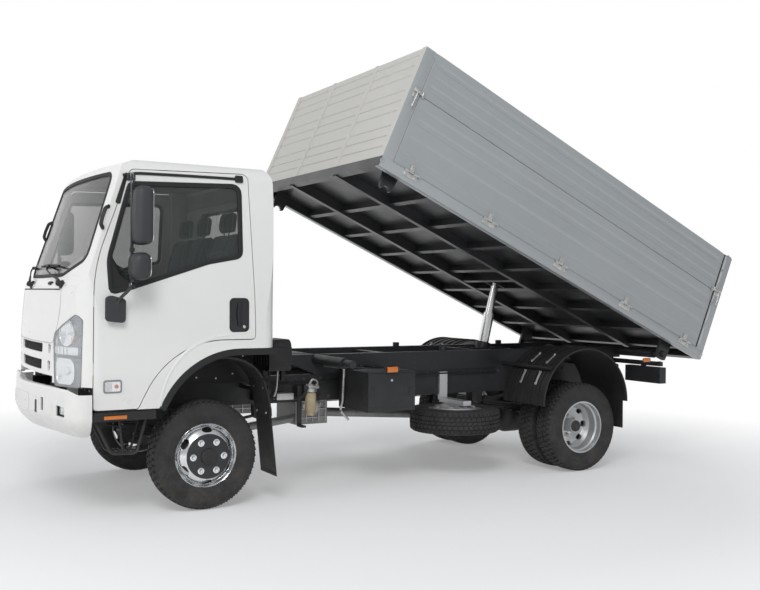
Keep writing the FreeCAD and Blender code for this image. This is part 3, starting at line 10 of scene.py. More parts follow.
import bpy
import numpy as np
from mathutils import Matrix, Vector
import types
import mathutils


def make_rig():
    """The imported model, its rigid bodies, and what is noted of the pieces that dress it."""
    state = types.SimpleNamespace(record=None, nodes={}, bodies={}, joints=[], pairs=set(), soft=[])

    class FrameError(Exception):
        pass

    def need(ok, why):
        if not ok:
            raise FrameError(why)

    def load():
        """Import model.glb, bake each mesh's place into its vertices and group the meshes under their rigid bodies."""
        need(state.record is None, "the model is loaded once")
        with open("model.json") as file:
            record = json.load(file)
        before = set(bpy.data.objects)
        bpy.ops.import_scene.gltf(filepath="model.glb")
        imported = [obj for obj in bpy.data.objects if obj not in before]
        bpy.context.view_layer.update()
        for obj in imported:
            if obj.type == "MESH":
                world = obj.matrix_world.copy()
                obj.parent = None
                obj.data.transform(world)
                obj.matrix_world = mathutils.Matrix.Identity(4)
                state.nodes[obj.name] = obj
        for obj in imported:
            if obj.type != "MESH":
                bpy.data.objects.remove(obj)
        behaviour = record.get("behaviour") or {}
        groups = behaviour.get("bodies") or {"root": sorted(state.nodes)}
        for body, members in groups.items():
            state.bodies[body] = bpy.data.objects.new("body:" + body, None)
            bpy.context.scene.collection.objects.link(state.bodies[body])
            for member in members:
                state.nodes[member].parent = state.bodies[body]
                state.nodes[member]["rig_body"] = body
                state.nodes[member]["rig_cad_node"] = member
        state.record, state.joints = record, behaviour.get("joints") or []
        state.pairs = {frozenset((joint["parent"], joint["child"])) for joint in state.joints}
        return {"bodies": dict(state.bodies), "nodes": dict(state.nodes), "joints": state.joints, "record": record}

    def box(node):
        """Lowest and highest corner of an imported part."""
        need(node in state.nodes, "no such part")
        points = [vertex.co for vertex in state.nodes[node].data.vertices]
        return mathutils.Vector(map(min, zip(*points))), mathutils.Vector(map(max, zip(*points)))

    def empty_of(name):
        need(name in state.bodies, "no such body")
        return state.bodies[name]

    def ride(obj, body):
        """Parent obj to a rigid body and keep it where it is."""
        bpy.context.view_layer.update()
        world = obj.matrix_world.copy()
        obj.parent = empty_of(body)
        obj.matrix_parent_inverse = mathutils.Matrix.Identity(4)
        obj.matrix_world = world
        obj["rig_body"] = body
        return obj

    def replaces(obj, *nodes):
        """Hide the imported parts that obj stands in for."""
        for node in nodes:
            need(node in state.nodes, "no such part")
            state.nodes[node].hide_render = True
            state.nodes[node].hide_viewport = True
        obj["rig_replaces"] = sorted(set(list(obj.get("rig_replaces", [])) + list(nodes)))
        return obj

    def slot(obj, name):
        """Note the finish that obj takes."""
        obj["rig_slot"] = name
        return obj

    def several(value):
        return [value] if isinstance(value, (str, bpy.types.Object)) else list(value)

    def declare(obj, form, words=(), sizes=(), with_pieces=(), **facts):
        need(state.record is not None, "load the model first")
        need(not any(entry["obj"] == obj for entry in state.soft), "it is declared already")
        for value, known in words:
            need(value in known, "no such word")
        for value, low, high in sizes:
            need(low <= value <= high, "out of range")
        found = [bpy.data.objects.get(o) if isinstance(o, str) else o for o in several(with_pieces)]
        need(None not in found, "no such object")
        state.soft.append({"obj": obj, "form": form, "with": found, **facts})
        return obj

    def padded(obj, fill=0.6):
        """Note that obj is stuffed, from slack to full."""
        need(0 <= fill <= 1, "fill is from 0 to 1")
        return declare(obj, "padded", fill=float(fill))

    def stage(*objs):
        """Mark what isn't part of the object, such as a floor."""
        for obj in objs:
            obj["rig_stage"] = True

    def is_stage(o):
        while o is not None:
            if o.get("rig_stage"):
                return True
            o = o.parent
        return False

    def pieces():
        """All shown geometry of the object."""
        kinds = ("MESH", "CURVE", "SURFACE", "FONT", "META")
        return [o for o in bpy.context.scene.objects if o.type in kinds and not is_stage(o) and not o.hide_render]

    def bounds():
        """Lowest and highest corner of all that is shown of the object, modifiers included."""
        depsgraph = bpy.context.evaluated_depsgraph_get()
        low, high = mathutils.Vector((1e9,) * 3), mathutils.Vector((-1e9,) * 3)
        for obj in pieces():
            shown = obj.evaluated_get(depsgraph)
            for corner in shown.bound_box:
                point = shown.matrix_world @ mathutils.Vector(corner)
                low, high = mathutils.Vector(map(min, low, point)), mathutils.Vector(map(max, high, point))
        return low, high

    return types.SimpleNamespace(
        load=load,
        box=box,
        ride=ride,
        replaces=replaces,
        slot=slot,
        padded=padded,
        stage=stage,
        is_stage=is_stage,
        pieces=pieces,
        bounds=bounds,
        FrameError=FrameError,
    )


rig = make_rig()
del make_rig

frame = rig.load()
CAD_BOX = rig.bounds()

bl_info = {
    "name": "Tipper truck finish",
    "version": (1, 0, 0),
    "blender": (4, 5, 0),
    "location": "View3D > Sidebar > Tipper",
    "description": "Tyres, trim, lamps, fittings and finishes of a light cab-over tipper truck",
    "category": "Object",
}

SIDES = (("left", 1), ("right", -1))


# ---------------------------------------------------------------- places taken from the frame
def span(node):
    """Lowest and highest corner of a node as numpy arrays."""
    low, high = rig.box(node)
    return np.array(low), np.array(high)


def middle(node):
    """Middle of a node's box."""
    low, high = span(node)
    return (low + high) / 2


JOINTS = {joint["name"]: joint for joint in frame["joints"]}
TYRE_LOW, TYRE_HIGH = span("front_tyre_left")
FRONT_AXLE, _, AXLE_HEIGHT = middle("front_tyre_left")
TYRE_RADIUS = (TYRE_HIGH[2] - TYRE_LOW[2]) / 2
TYRE_WIDTH = TYRE_HIGH[1] - TYRE_LOW[1]
TIP_HINGE = np.array(JOINTS["bed_tip"]["pos_m"])
FLOOR_NORMAL = np.array([m["axis"] for m in frame["record"]["mounts"] if m["name"] == "load_floor"][0])
TILT = math.atan2(-FLOOR_NORMAL[0], FLOOR_NORMAL[2])


# ---------------------------------------------------------------- surfaces
# A part is (points, faces): an (n, 3) array and a list of (m, k) index arrays.
def grid(points, wrap_u=False, wrap_v=False):
    """Quads over an (nu, nv, 3) grid of points, closed round where wrapped."""
    nu, nv = points.shape[:2]
    i, j = np.meshgrid(np.arange(nu if wrap_u else nu - 1), np.arange(nv if wrap_v else nv - 1), indexing="ij")
    i2, j2 = (i + 1) % nu, (j + 1) % nv
    quads = np.stack([i * nv + j, i2 * nv + j, i2 * nv + j2, i * nv + j2], -1).reshape(-1, 4)
    return points.reshape(-1, 3), [quads]


def joined(*parts):
    """Several parts as one."""
    points, faces, base = [], [], 0
    for part_points, part_faces in parts:
        points.append(part_points)
        faces += [index + base for index in part_faces]
        base += len(part_points)
    return np.concatenate(points), faces


def flipped(part):
    """The same part with its faces turned round."""
    return part[0], [index[:, ::-1] for index in part[1]]


def moved(part, matrix):
    """A part carried by a 4x4 matrix."""
    matrix = np.array(matrix)
    turned = part[0] @ matrix[:3, :3].T + matrix[:3, 3]
    return (turned, part[1]) if np.linalg.det(matrix[:3, :3]) > 0 else flipped((turned, part[1]))


def mirrored(part):
    """A part on the other side of the truck."""
    return moved(part, np.diag([1.0, -1.0, 1.0, 1.0]))


def repeated(part, places):
    """Copies of a part at an (n, 4, 4) array of places."""
    places = np.asarray(places, float)
    points, faces = part
    copies = np.einsum("nij,pj->npi", places[:, :3, :3], points) + places[:, None, :3, 3]
    steps = (np.arange(len(places)) * len(points))[:, None, None]
    return copies.reshape(-1, 3), [(index[None] + steps).reshape(-1, index.shape[1]) for index in faces]


def at(place, z=(0, 0, 1), x=(1, 0, 0)):
    """4x4 matrix that puts a part's origin at a place, with its z and roughly its x along two directions."""
    z = np.asarray(z, float) / np.linalg.norm(z)
    y = np.cross(z, x if np.linalg.norm(np.cross(z, x)) > 1e-6 else (0, 1, 0))
    y /= np.linalg.norm(y)
    result = np.eye(4)
    result[:3, :3] = np.stack([np.cross(y, z), y, z], 1)
    result[:3, 3] = place
    return result


def unit(vectors):
    """Vectors along the last axis, each made one long."""
    return vectors / np.linalg.norm(vectors, axis=-1, keepdims=True)


def rings(loops):
    """A skin over an (n, k, 3) stack of closed loops, anticlockwise about their run, with flat ends."""
    loops = np.asarray(loops, float)
    n, k = loops.shape[:2]
    points, faces = grid(loops, wrap_v=True)
    return points, [faces[0][:, ::-1], np.arange(k)[None, ::-1], np.arange(k)[None] + (n - 1) * k]


def circle(radius, count):
    """(count, 2) points round a circle."""
    angle = np.linspace(0, 2 * math.pi, count, endpoint=False)
    return radius * np.stack([np.cos(angle), np.sin(angle)], -1)


def rounded(width, height, radius, steps=5):
    """Outline of a rectangle about the origin with its corners rounded by quarter circles."""
    radius = min(radius, width / 2, height / 2)
    angle = np.linspace(0, math.pi / 2, steps)
    arc = radius * np.stack([np.cos(angle), np.sin(angle)], -1)
    corners = []
    for turn, (sx, sy) in enumerate(((1, 1), (-1, 1), (-1, -1), (1, -1))):
        c, s = round(math.cos(turn * math.pi / 2)), round(math.sin(turn * math.pi / 2))
        corners.append(arc @ np.array([[c, s], [-s, c]]) + [sx * (width / 2 - radius), sy * (height / 2 - radius)])
    return np.concatenate(corners)


def offset_loop(loop, distance):
    """A closed 2-D loop moved inwards along the mean of its neighbouring edges' normals."""
    ahead = np.roll(loop, -1, 0) - loop
    ahead /= np.maximum(np.linalg.norm(ahead, axis=1, keepdims=True), 1e-9)
    normal = np.stack([-ahead[:, 1], ahead[:, 0]], -1)
    mean = normal + np.roll(normal, 1, 0)
    mean /= np.maximum((mean * normal).sum(1, keepdims=True), 0.35)
    return loop + mean * distance


def slab(outline, depth, bevel=0.0, steps=2):
    """An outline in x and y raised along z from 0 to depth, its upper and lower edges rounded."""
    if bevel <= 0:
        loops = [(outline, 0.0), (outline, depth)]
    else:
        angle = np.linspace(0, math.pi / 2, steps + 1)
        low = [(offset_loop(outline, bevel * (1 - math.sin(a))), bevel * (1 - math.cos(a))) for a in angle]
        loops = low + [(loop, depth - z) for loop, z in low[::-1]]
    stack = np.stack([np.concatenate([loop, np.full((len(loop), 1), z)], 1) for loop, z in loops])
    return rings(stack)


def brick(low, high, bevel=0.003, steps=2):
    """A block between two corners with all its edges rounded."""
    low, high = np.minimum(low, high), np.maximum(low, high)
    size = high - low
    bevel = min(bevel, size.min() / 2.01)
    body = slab(rounded(size[0], size[1], bevel * 1.5, 3), size[2], bevel, steps)
    return body[0] + [*((low + high)[:2] / 2), low[2]], body[1]


def turned(profile, count):
    """Points of a profile of (radius, along z) turned about the z axis in a number of steps."""
    profile = np.asarray(profile, float)
    angle = np.linspace(0, 2 * math.pi, count, endpoint=False)
    r, z = profile[:, 0][:, None], profile[:, 1][:, None]
    return np.stack([r * np.cos(angle), r * np.sin(angle), np.broadcast_to(z, (len(profile), count))], -1)


def lathe(profile, count=48):
    """A profile of (radius, along z) points turned about the z axis; the ends of the profile close it."""
    part, faces = grid(turned(profile, count), wrap_v=True)
    faces = [faces[0][:, ::-1]]
    for end, keep in ((0, slice(None, None, -1)), (len(profile) - 1, slice(None))):
        if profile[end][0] > 1e-6:
            faces.append((np.arange(count) + end * count)[keep][None])
    return part, faces


def ringed(profile, count=64):
    """A closed profile of (radius, along z) points, anticlockwise, turned about the z axis."""
    part, faces = grid(turned(profile, count), wrap_u=True, wrap_v=True)
    return part, [faces[0][:, ::-1]]


def eased(points, radius):
    """A path through points whose corners are replaced by quadratic curves that start radius away."""
    points = np.asarray(points, float)
    run = [points[:1]]
    t = np.linspace(0, 1, 5)[:, None]
    for before, here, after in zip(points[:-2], points[1:-1], points[2:]):
        near = min(radius, np.linalg.norm(before - here) * 0.48, np.linalg.norm(after - here) * 0.48)
        a = here + (before - here) / np.linalg.norm(before - here) * near
        b = here + (after - here) / np.linalg.norm(after - here) * near
        run.append((1 - t) ** 2 * a + 2 * t * (1 - t) * here + t ** 2 * b)
    return np.concatenate(run + [points[-1:]])


def carried(profile, path, up=(0, 0, 1), closed=False):
    """A closed 2-D profile carried along a path: its x lies across the path, its y towards up."""
    path = np.asarray(path, float)
    ahead = unit(np.roll(path, -1, 0) - np.roll(path, 1, 0) if closed else np.gradient(path, axis=0))
    across = unit(np.cross(ahead, np.broadcast_to(up, ahead.shape)))
    above = np.cross(across, ahead)
    loops = path[:, None] + profile[None, :, 0, None] * across[:, None] + profile[None, :, 1, None] * above[:, None]
    if closed:
        return grid(loops, wrap_u=True, wrap_v=True)
    n, k = loops.shape[:2]
    points, faces = grid(loops, wrap_v=True)
    return points, faces + [np.arange(k)[None], (np.arange(k)[None, ::-1] + (n - 1) * k)]


def pipe(points, radius, bend=0.0, sides=10, up=(0.31, 0.17, 0.93)):
    """A round bar or hose through points, with its corners eased."""
    path = eased(points, bend) if bend else np.asarray(points, float)
    return carried(circle(radius, sides), path, up)


def hex_bolt(across=0.018, height=0.008, washer=True):
    """A hexagon head with chamfered corners on a washer, standing along z."""
    corner = across / math.sqrt(3)
    angle = np.arange(12) * math.pi / 6
    hexagon = np.stack([np.cos(angle), np.sin(angle)], -1) * np.where(np.arange(12) % 2, across / 2, corner)[:, None]
    levels = ((1.0, 0.0), (1.0, height * 0.8), (0.86, height))
    head = rings(np.stack([np.concatenate([hexagon * s, np.full((12, 1), z)], 1) for s, z in levels]))
    if not washer:
        return head
    disc = lathe([(0, 0), (corner * 1.35, 0), (corner * 1.35, 0.002), (corner * 1.2, 0.003), (0, 0.003)], 16)
    return joined(disc, (head[0] + [0, 0, 0.0025], head[1]))


# ---------------------------------------------------------------- objects
def mesh_object(name, part, material, body, smooth=35, slot=None, replaces=()):
    """A mesh object from a part, riding on a body; edges sharper than smooth degrees stay sharp."""
    points, faces = part
    mesh = bpy.data.meshes.new(name)
    counts = np.concatenate([np.full(len(index), index.shape[1]) for index in faces])
    corners = np.concatenate([index.reshape(-1) for index in faces])
    mesh.vertices.add(len(points))
    mesh.loops.add(len(corners))
    mesh.polygons.add(len(counts))
    mesh.vertices.foreach_set("co", np.ascontiguousarray(points, dtype=np.float32).reshape(-1))
    mesh.loops.foreach_set("vertex_index", corners.astype(np.int32))
    mesh.polygons.foreach_set("loop_start", (np.cumsum(counts) - counts).astype(np.int32))
    mesh.update(calc_edges=True)
    mesh.validate()
    mesh.polygons.foreach_set("use_smooth", np.ones(len(mesh.polygons), bool))
    mesh.set_sharp_from_angle(angle=math.radians(smooth))
    mesh.materials.append(material)
    piece = bpy.data.objects.new(name, mesh)
    bpy.context.scene.collection.objects.link(piece)
    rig.ride(piece, body)
    if slot:
        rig.slot(piece, slot)
    for node in replaces:
        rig.replaces(piece, node)
    return piece


# ---------------------------------------------------------------- finishes
def wire(tree, kind, inputs=None, **settings):
    """A node with its settings and its inputs, each a value or another node's output."""
    node = tree.nodes.new(kind)
    for key, value in settings.items():
        setattr(node, key, value)
    for key, value in (inputs or {}).items():
        if isinstance(value, bpy.types.NodeSocket):
            tree.links.new(value, node.inputs[key])
        else:
            node.inputs[key].default_value = value
    return node


def tone(colour, share):
    """A colour made lighter or darker, opaque."""
    return (*(min(1.0, max(0.0, c * share)) for c in colour[:3]), 1.0)


def mixed(tree, factor, first, second):
    """Colour mixed between two by a factor."""
    return wire(tree, "ShaderNodeMix", {0: factor, 6: first, 7: second}, data_type="RGBA").outputs[2]


def ranged(tree, value, low, high, to_low, to_high):
    """A value moved from one range to another and held inside it."""
    return wire(tree, "ShaderNodeMapRange",
                {0: value, 1: low, 2: high, 3: to_low, 4: to_high}).outputs[0]


def surface(name, colour, rough, mottle=0.06, patch=3.0, spread=0.06, grain=0.0, grain_scale=400.0, dust=0.0,
            dust_colour=(0.3, 0.27, 0.23), dust_top=0.9, wear=0.0, streak=None, **fixed):
    """Finish whose colour and roughness drift in patches, with a fine grain and road dust low down."""
    material = bpy.data.materials.new(name)
    material.use_nodes = True
    tree = material.node_tree
    shader = tree.nodes["Principled BSDF"]
    place = wire(tree, "ShaderNodeTexCoord").outputs["Object"]
    scaled = place
    if streak:
        scaled = wire(tree, "ShaderNodeMapping", {0: place, 3: streak}).outputs[0]
    drift = wire(tree, "ShaderNodeTexNoise", {"Vector": scaled, "Scale": patch, "Detail": 4.0, "Roughness": 0.6})
    share = ranged(tree, drift.outputs[0], 0.3, 0.7, 0.0, 1.0)
    tint = mixed(tree, share, tone(colour, 1 - mottle), tone(colour, 1 + mottle))
    fine = wire(tree, "ShaderNodeTexNoise", {"Vector": scaled, "Scale": grain_scale, "Detail": 2.0})
    if wear:
        worn = wire(tree, "ShaderNodeTexNoise", {"Vector": scaled, "Scale": 22.0, "Detail": 6.0, "Roughness": 0.75})
        tint = mixed(tree, ranged(tree, worn.outputs[0], 0.56, 0.72, 0.0, wear), tint, tone(dust_colour, 1.2))
    if dust:
        height = wire(tree, "ShaderNodeSeparateXYZ", {0: place}).outputs[2]
        low = ranged(tree, height, 0.1, dust_top, dust, 0.0)
        lay = wire(tree, "ShaderNodeTexNoise", {"Vector": place, "Scale": 9.0, "Detail": 6.0, "Roughness": 0.7})
        film = wire(tree, "ShaderNodeMath", {0: low, 1: ranged(tree, lay.outputs[0], 0.35, 0.65, 0.25, 1.6)},
                    operation="MULTIPLY", use_clamp=True).outputs[0]
        tint = mixed(tree, film, tint, (*dust_colour, 1.0))
    tree.links.new(tint, shader.inputs["Base Color"])
    tree.links.new(ranged(tree, drift.outputs[0], 0.3, 0.7, max(rough - spread, 0.02), min(rough + spread, 1.0)),
                   shader.inputs["Roughness"])
    if grain:
        bump = wire(tree, "ShaderNodeBump", {"Strength": grain, "Distance": 0.002, "Height": fine.outputs[0]})
        tree.links.new(bump.outputs[0], shader.inputs["Normal"])
    for key, value in fixed.items():
        shader.inputs[key.replace("_", " ")].default_value = value
    return material


def clear(name, colour, alpha, rough=0.03, **fixed):
    """Thin clear glass or plastic, a little uneven in tint."""
    return surface(name, colour, rough, mottle=0.1, patch=1.5, spread=0.01, Alpha=alpha, **fixed)


MADE = {}  # finishes made so far


def finish(name):
    """The named finish, made once."""
    if name not in MADE:
        colours = bpy.context.scene.tipper_colours
        recipe = dict(RECIPES[name])
        key = recipe.pop("colour")
        value = tuple(getattr(colours, key)) if isinstance(key, str) else key
        kind = clear if "alpha" in recipe else surface
        MADE[name] = kind(name, value, **recipe)
    return MADE[name]


DARK_DUST = dict(dust=0.22, dust_colour=(0.12, 0.11, 0.095))
PALE_DUST = dict(dust_colour=(0.42, 0.39, 0.34), dust_top=1.0)
RECIPES = {
    "cab_paint": dict(colour="cab", rough=0.3, mottle=0.012, spread=0.03, grain=0.02, grain_scale=900, dust=0.22,
        **PALE_DUST, Coat_Weight=0.6, Coat_Roughness=0.05),
    "bumper_paint": dict(colour="cab", rough=0.34, mottle=0.02, dust=0.35, **PALE_DUST, grain=0.02, grain_scale=900,
        Coat_Weight=0.5, Coat_Roughness=0.08),
    "bed_paint": dict(colour="bed", rough=0.42, mottle=0.03, patch=1.6, spread=0.05, grain=0.04, grain_scale=700,
        Metallic=0.25, Coat_Weight=0.25, Coat_Roughness=0.2),
    "headboard_paint": dict(colour="headboard", rough=0.5, mottle=0.035, patch=1.4, grain=0.05, grain_scale=500,
        Coat_Weight=0.15),
    "frame_paint": dict(colour="frame", rough=0.5, mottle=0.2, patch=4.0, spread=0.12, grain=0.12, grain_scale=350,
        wear=0.12, **DARK_DUST),
    "bed_underside": dict(colour="underside", rough=0.42, mottle=0.25, patch=3.0, spread=0.1, grain=0.1,
        grain_scale=350, Coat_Weight=0.3, Coat_Roughness=0.3),
    "black_plastic": dict(colour=(0.012, 0.012, 0.013), rough=0.55, mottle=0.15, grain=0.25, grain_scale=1400,
        **DARK_DUST),
    "mirror_shell": dict(colour=(0.035, 0.036, 0.04), rough=0.5, mottle=0.12, grain=0.25, grain_scale=1500),
    "black_gloss": dict(colour=(0.012, 0.012, 0.014), rough=0.16, mottle=0.1, Coat_Weight=0.5, Coat_Roughness=0.04),
    "seal_rubber": dict(colour=(0.012, 0.012, 0.013), rough=0.62, mottle=0.15, grain=0.15, grain_scale=900),
    "tyre_rubber": dict(colour="tyre", rough=0.82, mottle=0.25, patch=7.0, grain=0.3, grain_scale=900, wear=0.1,
        dust=0.3, dust_colour=(0.105, 0.095, 0.085), dust_top=1.2),
    "rim_polished": dict(colour=(0.82, 0.83, 0.84), rough=0.24, mottle=0.04, patch=6.0, spread=0.08, grain=0.04,
        grain_scale=500, Metallic=1.0),
    "rim_silver": dict(colour=(0.62, 0.63, 0.64), rough=0.38, mottle=0.06, patch=5.0, grain=0.08, grain_scale=600,
        Metallic=0.75, dust=0.18, dust_colour=(0.34, 0.31, 0.27)),
    "chrome": dict(colour=(0.88, 0.88, 0.89), rough=0.12, mottle=0.03, patch=12.0, spread=0.04, Metallic=1.0),
    "zinc": dict(colour=(0.6, 0.6, 0.58), rough=0.42, mottle=0.16, patch=26.0, grain=0.1, grain_scale=500,
        Metallic=0.8),
    "casting": dict(colour=(0.045, 0.045, 0.047), rough=0.62, mottle=0.25, patch=9.0, grain=0.5, grain_scale=260,
        wear=0.15, **DARK_DUST),
    "engine_casting": dict(colour=(0.12, 0.125, 0.13), rough=0.6, mottle=0.25, patch=9.0, grain=0.5, grain_scale=240,
        Metallic=0.3, wear=0.2, **DARK_DUST),
    "gearbox_casting": dict(colour=(0.36, 0.36, 0.35), rough=0.55, mottle=0.18, patch=11.0, grain=0.5, grain_scale=260,
        Metallic=0.7, wear=0.15, **DARK_DUST),
    "steel_tube": dict(colour=(0.33, 0.3, 0.27), rough=0.5, mottle=0.25, patch=12.0, grain=0.15, Metallic=0.7, wear=0.2,
        **DARK_DUST),
    "hose_rubber": dict(colour=(0.014, 0.014, 0.015), rough=0.6, mottle=0.2, grain=0.2, grain_scale=800),
    "ram_chrome": dict(colour=(0.8, 0.8, 0.78), rough=0.2, mottle=0.04, patch=8.0, spread=0.06, Metallic=1.0,
        streak=(1.0, 1.0, 14.0)),
    "dash_plastic": dict(colour=(0.1, 0.1, 0.105), rough=0.62, mottle=0.08, grain=0.25, grain_scale=1400),
    "trim_plastic": dict(colour=(0.26, 0.255, 0.245), rough=0.66, mottle=0.06, grain=0.2, grain_scale=1200),
    "seat_cloth": dict(colour=(0.085, 0.088, 0.095), rough=0.92, mottle=0.14, patch=14.0, grain=0.6, grain_scale=1800,
        Sheen_Weight=0.35, Sheen_Roughness=0.4),
    "headlining": dict(colour=(0.55, 0.54, 0.51), rough=0.9, mottle=0.05, grain=0.3, grain_scale=1500),
    "filter_card": dict(colour=(0.5, 0.41, 0.26), rough=0.6, mottle=0.14, patch=20.0),
    "blue_cap": dict(colour=(0.03, 0.12, 0.45), rough=0.4, mottle=0.1),
    "plate_blank": dict(colour=(0.8, 0.8, 0.78), rough=0.4, mottle=0.03, patch=10.0),
    "mirror_silver": dict(colour=(0.9, 0.91, 0.92), rough=0.03, mottle=0.01, spread=0.01, Metallic=1.0),
    "window_glass": dict(colour="glass", alpha=0.36, Coat_Weight=0.6, Coat_Roughness=0.02),
    "lamp_glass": dict(colour=(0.86, 0.88, 0.9), alpha=0.2, Coat_Weight=0.4, Coat_Roughness=0.02),
    "amber_lens": dict(colour=(0.62, 0.165, 0.012), rough=0.18, mottle=0.08, patch=40.0, Coat_Weight=0.6),
    "red_lens": dict(colour=(0.5, 0.012, 0.012), rough=0.18, mottle=0.08, patch=40.0, Coat_Weight=0.6),
    "white_lens": dict(colour=(0.8, 0.82, 0.84), rough=0.12, mottle=0.05, patch=40.0, Coat_Weight=0.6),
    "lamp_bowl": dict(colour=(0.86, 0.87, 0.88), rough=0.14, mottle=0.03, spread=0.05, patch=14.0, Metallic=1.0),
    "lamp_body": dict(colour=(0.1, 0.1, 0.105), rough=0.4, mottle=0.1, patch=20.0),
    "lamp_trim": dict(colour=(0.26, 0.27, 0.28), rough=0.3, mottle=0.05, patch=20.0, Metallic=0.4),
    # Near-black parts, and painted shade in grooves and in the gap behind the bumper.
    "seam_dark": dict(colour=(0.022, 0.022, 0.023), rough=0.75, mottle=0.15),
    "hub_plate": dict(colour=(0.05, 0.051, 0.055), rough=0.42, mottle=0.12, patch=10.0, Metallic=0.5),
    # Grey painted shade along the seams of the front panel.
    "seam_grey": dict(colour=(0.36, 0.36, 0.355), rough=0.6, mottle=0.08),
}
SLOTS = {"cab_paint": "cab_white", "bumper_paint": "bumper_white", "bed_paint": "bed_grey",
         "headboard_paint": "bed_cream", "frame_paint": "frame_paint", "bed_underside": "frame_paint",
         "black_plastic": "black_plastic", "mirror_shell": "black_plastic", "black_gloss": "black_plastic",
         "seal_rubber": "black_plastic", "tyre_rubber": "tyre_rubber", "rim_polished": "rim_polished",
         "rim_silver": "rim_silver", "chrome": "ram_chrome", "zinc": "rim_silver",
         "casting": "axle_casting", "engine_casting": "engine_casting", "gearbox_casting": "gearbox_casting",
         "steel_tube": "steel_tube", "hose_rubber": "black_plastic", "ram_chrome": "ram_chrome",
         "dash_plastic": "trim_grey", "trim_plastic": "trim_grey",
         "seat_cloth": "seat_fabric", "headlining": "trim_grey", "filter_card": "black_plastic",
         "blue_cap": "black_plastic", "plate_blank": "bumper_white", "mirror_silver": "rim_polished",
         "window_glass": "window_glass", "lamp_glass": "lamp_glass", "amber_lens": "lamp_red",
         "red_lens": "lamp_red", "white_lens": "lamp_glass", "lamp_bowl": "rim_polished",
         "lamp_body": "black_plastic", "lamp_trim": "rim_silver", "seam_dark": "black_plastic",
         "hub_plate": "axle_casting", "seam_grey": "trim_grey"}
NODE_FINISHES = {
    "frame_paint": ("chassis_frame", "tipper_subframe", "leaf_springs", "fuel_tank", "tool_box", "tie_rod",
                    "cylinder_barrel", "rear_lamps"),
    "casting": ("front_axle", "rear_axle", "knuckle_left", "knuckle_right"),
    "engine_casting": ("engine",), "gearbox_casting": ("driveline",), "steel_tube": ("exhaust",),
    "black_plastic": ("air_cleaner", "steps_and_flaps", "rear_mudguards", "steering_wheel"),
    "mirror_shell": ("mirror_left", "mirror_right"),
    "tyre_rubber": ("front_tyre_left", "front_tyre_right", "rear_tyres_left", "rear_tyres_right", "spare_tyre"),
    "rim_polished": ("front_rim_left", "front_rim_right"),
    "rim_silver": ("rear_rims_left", "rear_rims_right", "spare_carrier"),
    "bumper_paint": ("front_bumper",), "cab_paint": ("cab_shell", "door_left", "door_right"),
    "window_glass": ("cab_glass", "door_glass_left", "door_glass_right"), "lamp_glass": ("headlamps",),
    "dash_plastic": ("dashboard",), "seat_cloth": ("seats",), "bed_underside": ("bed_floor",),
    "bed_paint": ("side_board_lower_left", "side_board_lower_right", "side_board_upper_left",
                  "side_board_upper_right", "tailgate_lower", "tailgate_upper"),
    "headboard_paint": ("headboard",), "ram_chrome": ("ram_stage_one", "ram_stage_two"),
}


def solid(name, part, finish_name, body, **extra):
    """A piece with a named finish and that finish's slot."""
    return mesh_object(name, part, finish(finish_name), body, slot=SLOTS[finish_name], **extra)


# ---------------------------------------------------------------- settings
def colour(name, text, value):
    """A colour setting."""
    return bpy.props.FloatVectorProperty(name=name, description=text, default=value, subtype="COLOR", size=3,
                                         min=0.0, max=1.0)


def length(name, text, value):
    """A length setting, in metres."""
    return bpy.props.FloatProperty(name=name, description=text, default=value, unit="LENGTH", min=0.0, precision=4)


class TipperColours(bpy.types.PropertyGroup):
    cab: colour("Cab", "Paint of the cab, doors and bumper", (0.8, 0.8, 0.775))
    bed: colour("Boards", "Paint of the side boards and tailgate", (0.4, 0.42, 0.43))
    headboard: colour("Headboard", "Paint of the front wall of the bed", (0.6, 0.585, 0.55))
    frame: colour("Frame", "Paint of the chassis", (0.02, 0.021, 0.023))
    underside: colour("Underside", "Paint of the beams under the bed", (0.026, 0.027, 0.029))
    tyre: colour("Tyres", "Rubber of the tyres", (0.02, 0.02, 0.021))
    glass: colour("Glass", "Tint of the windows", (0.05, 0.06, 0.055))


class TipperSizes(bpy.types.PropertyGroup):
    tread_depth: length("Tread depth", "Height of the tread blocks", 0.01)
    seal: length("Window seal", "Width of the rubber round the windows", 0.022)


# ---------------------------------------------------------------- stage
CAMERA_AT = (FRONT_AXLE + 2.31125, 7.31168, 1.5357)
CAMERA_YAW = 0.526757
CAMERA_PITCH = -0.00146751
CAMERA_ROLL = 0.00890706
CAMERA_LENS = 949.576 / 760 * 36
FLOOR_WHITE = 0.93


